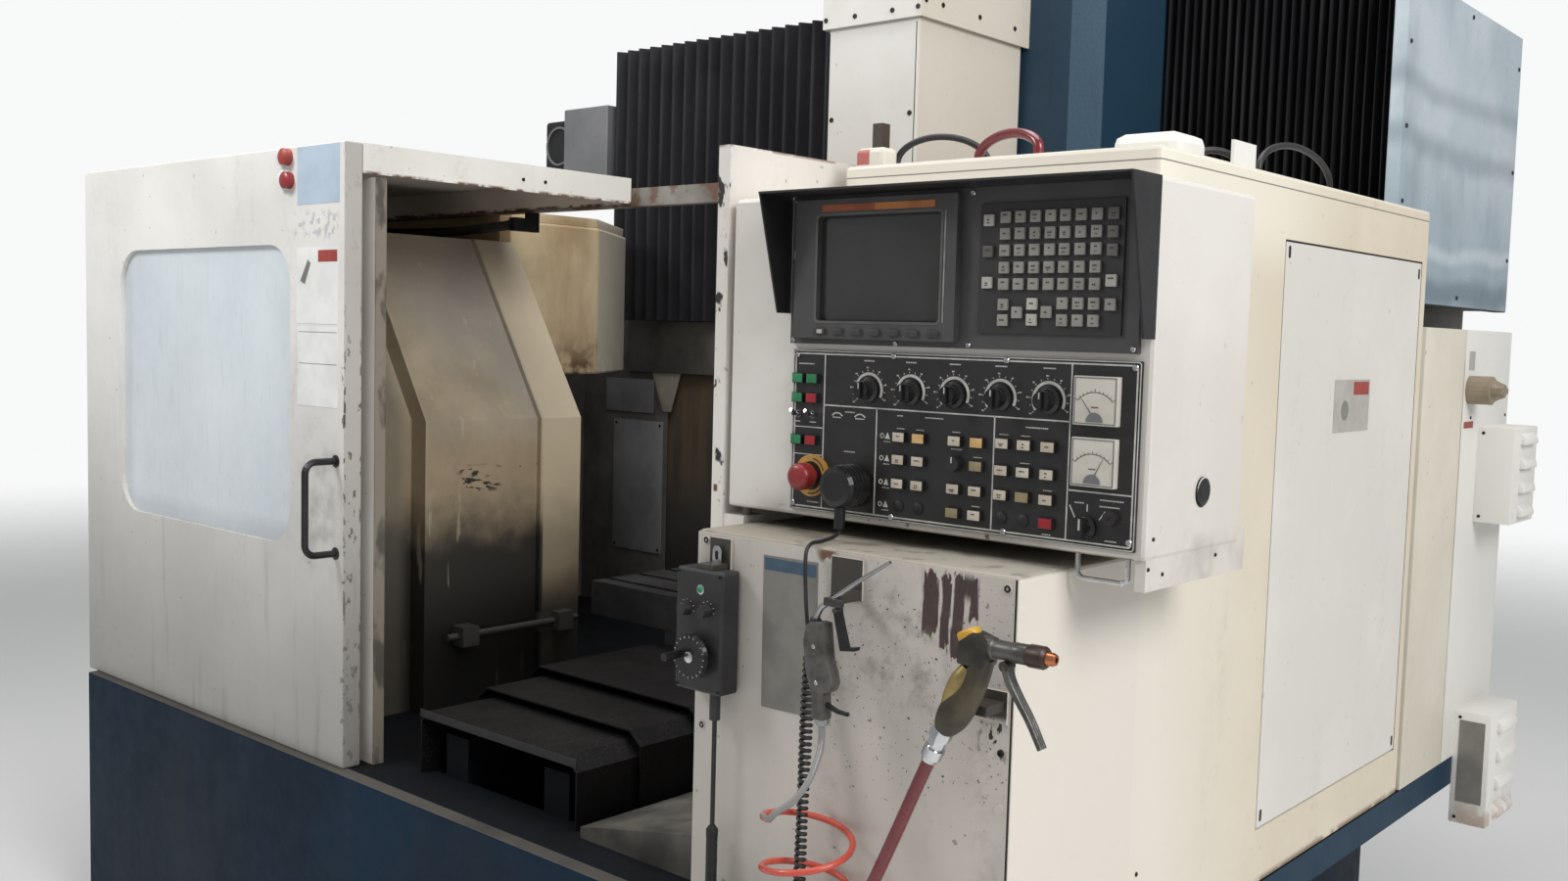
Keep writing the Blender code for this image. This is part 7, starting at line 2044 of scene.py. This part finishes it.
@dataclass
class Head:
    """The head between the bellows, with its seams and screws, and the beam's covers.

    Attributes:
        upper_front: Y of the upper cover's front.
        upper_side: X of its right side.
        front: Y of the ram cover's front.
        end_side: X of the end cover's right side.
        screw: The radius of a cover screw's head.
        motor: X and Z of the drive motor's axis.
    """

    upper_front: float = 0.65
    upper_side: float = 0.608
    front: float = 0.66
    end_side: float = 1.3183
    screw: float = 0.0052
    motor: Place = (-1.35, 2.085)

    def build(self) -> None:
        """Make the head's small parts and dress the portal."""
        dress(Stock.SADDLE, "saddle")
        dress(Stock.HEAD, "upper_head_cover", "ram_cover")
        dress(Stock.CHROME, "spindle")
        dress(Stock.DARK_STEEL, "spindle_housing")
        dress(Stock.PORTAL, "portal")
        dress(Stock.BRIGHT, "end_cover")
        dress(Stock.GREY, "x_drive_box")
        shape = Shape("upper_cover_screws", Stock.SCREW)
        for x in (0.366, 0.442, 0.537, 0.6):
            shape.screw((x, self.upper_front, 2.146), FRONT, self.screw, 0.002)
        for y in (0.665, 0.722, 0.853, 0.986):
            shape.screw((self.upper_side, y, 2.16), RIGHT, self.screw, 0.002)
        shape.piece(Body.SADDLE)
        shape = Shape("ram_cover_parts", Stock.SCREW)
        for x, z in ((0.38, 1.944), (0.58, 1.943), (0.38, 1.76), (0.58, 1.76), (0.38, 1.575), (0.58, 1.575)):
            shape.screw((x, self.front, z), FRONT, self.screw, 0.002)
        shape.use(Stock.GAP)
        for left, right in ((0.5905, 0.5919), (0.37, 0.3708)):
            shape.slab((left, self.front - 0.0006, 1.502), (right, self.front + SUNK, 2.12))
        shape.piece(Body.RAM)
        motor = Shape("drive_motor", Stock.RUBBER)
        motor.prism(Axis.Y, rounded(-1.417, 2.0055, -1.288, 2.1645, 0.012), 1.371, 1.529, 0.003)
        motor.use(Stock.GREY)
        outer, inner = (arc(*self.motor, radius, 0, 352, 40) for radius in (0.062, 0.056))
        motor.ring(Axis.Y, outer, inner, 1.366, 1.372)
        motor.slab((-1.2985, 1.369, 1.96), (-1.286, 1.379, 2.17), 0.0015)
        motor.piece(Body.ROOT)
        shape = Shape("end_cover_screws", Stock.SCREW)
        columns = {1.313: (1.945, 1.797, 1.64, 2.11, 2.225), 2.07: (1.928, 2.17, 1.72), 1.7: (2.225, 1.618)}
        for y, heights in columns.items():
            for z in heights:
                shape.screw((self.end_side, y, z), RIGHT, 0.005, 0.002)
        shape.piece(Body.ROOT)


@dataclass
class Interior:
    """The working space: guards, table, way covers and the bed.

    Attributes:
        left: X of the rear sheet's left face.
        back: Y of its back.
        sheet: Its thickness.
        foot: Z of its foot.
        head: Z of its upper edge.
        plate_y: Y of the access plates' faces.
        links: Rings of the hose under the roof.
    """

    left: float = -1.296
    back: float = 1.447
    sheet: float = 0.006
    foot: float = 0.6156
    head: float = 1.6
    plate_y: float = 1.438
    links: int = 158

    def build(self) -> None:
        """Dress the working space and add its small parts."""
        dress(Stock.WALL, "left_enclosure", "right_wall", "roof_rail")
        dress(Stock.GUARD, "left_guard")
        dress(Stock.MAGAZINE, "magazine_housing")
        dress(Stock.FLOOR, "floor_guard")
        dress(Stock.TABLE, "table")
        dress(Stock.STEEL, "way_cover_front", "way_cover_middle", "way_cover_rear")
        dress(Stock.BLUE, "base_casting")
        self.rear_sheet()
        self.top_sheet()
        self.chain()
        wipers = Shape("way_wiper", Stock.RUBBER)
        wipers.slab((-0.055, -0.032, 0.728), (0.415, -0.0302, 0.7445), 0.0006)
        wipers.piece(Body.ROOT)

    def rear_sheet(self) -> None:
        """Make the sheet behind the guard, with its band, plates and wedge."""
        front = self.back - self.sheet
        rear = Shape("rear_splash_sheet", Stock.SHADE)
        low = (self.left, 1.031, self.foot)
        rear.slab(low, (self.left + self.sheet, self.back, self.head), 0.0008)
        rear.slab((self.left, front, self.foot), (-0.9, self.back, self.head), 0.0008)
        rear.slab((-1.07, 1.43, 1.37), (-0.501, 1.44, 1.5285), 0.001)
        rear.use(Stock.ACCESS).slab((-1.14, self.plate_y, 0.8), (-0.915, front + SUNK, 1.215), 0.0008)
        rear.slab((-1.18, self.plate_y + 0.0005, 1.24), (-0.96, front + SUNK, 1.345), 0.0008)
        wedge = [(-0.966, 1.372), (-0.839, 1.372), (-0.88, 1.249), (-0.916, 1.249)]
        rear.use(Stock.MAGAZINE).prism(Axis.Y, wedge, self.plate_y - 0.0008, front + SUNK, 0.0006)
        rear.use(Stock.SCREW)
        for x, z in ((-1.128, 0.812), (-0.927, 0.812), (-1.128, 1.203), (-0.927, 1.203)):
            rear.screw((x, self.plate_y, z), FRONT, 0.0045, 0.002)
        rear.piece(Body.ROOT)

    def top_sheet(self) -> None:
        """Make the narrow sheet over the magazine and the lid behind it."""
        top = Shape("rear_top_sheet", Stock.MAGAZINE)
        top.slab((-1.275, 0.6405, 1.716), (-0.7, 0.6435, 1.8), 0.0008)
        lid = [(-1.27, 0.682), (-0.706, 0.682), (-0.706, 0.975), (-0.918, 1.262), (-1.27, 1.262)]
        top.prism(Axis.Z, lid, 1.7755, 1.8, 0.002)
        top.piece(Body.ROOT)

    def chain(self) -> None:
        """Hang the ringed hose under the roof, with its bracket."""
        chain = Shape("chain_hose", Stock.RUBBER)
        points = []
        for n in range(self.links):
            sag = 0.012 * math.sin(math.pi * n / (self.links - 1))
            points.append((-1.25 + 0.0045 * n, 0.575, 1.752 - sag))
        chain.pipe(points, [0.0105 + 0.0022 * (n % 2) for n in range(self.links)], 12)
        chain.use(Stock.DARK_STEEL).slab((-0.56, 0.56, 1.735), (-0.536, 0.611, 1.768), 0.002)
        chain.slab((-0.556, 0.606, 1.735), (-0.54, 0.64, 1.783), 0.001)
        chain.piece(Body.ROOT)


def main() -> None:
    """Build every sub-assembly in order."""
    logging.basicConfig(level=logging.INFO, format="%(message)s")
    Studio().build()
    Cords().build()
    Bellows("bellows_left", -1.08, 0.1987, 1.53, 2.35).build()
    Bellows("bellows_right", 1.29, 0.7673, 1.56, 2.35).build()
    Interior().build()
    Head().build()
    Door().build()
    Cabinet().build()
    Console().build()
    Hangers().build()


if __name__ == "__main__":
    main()
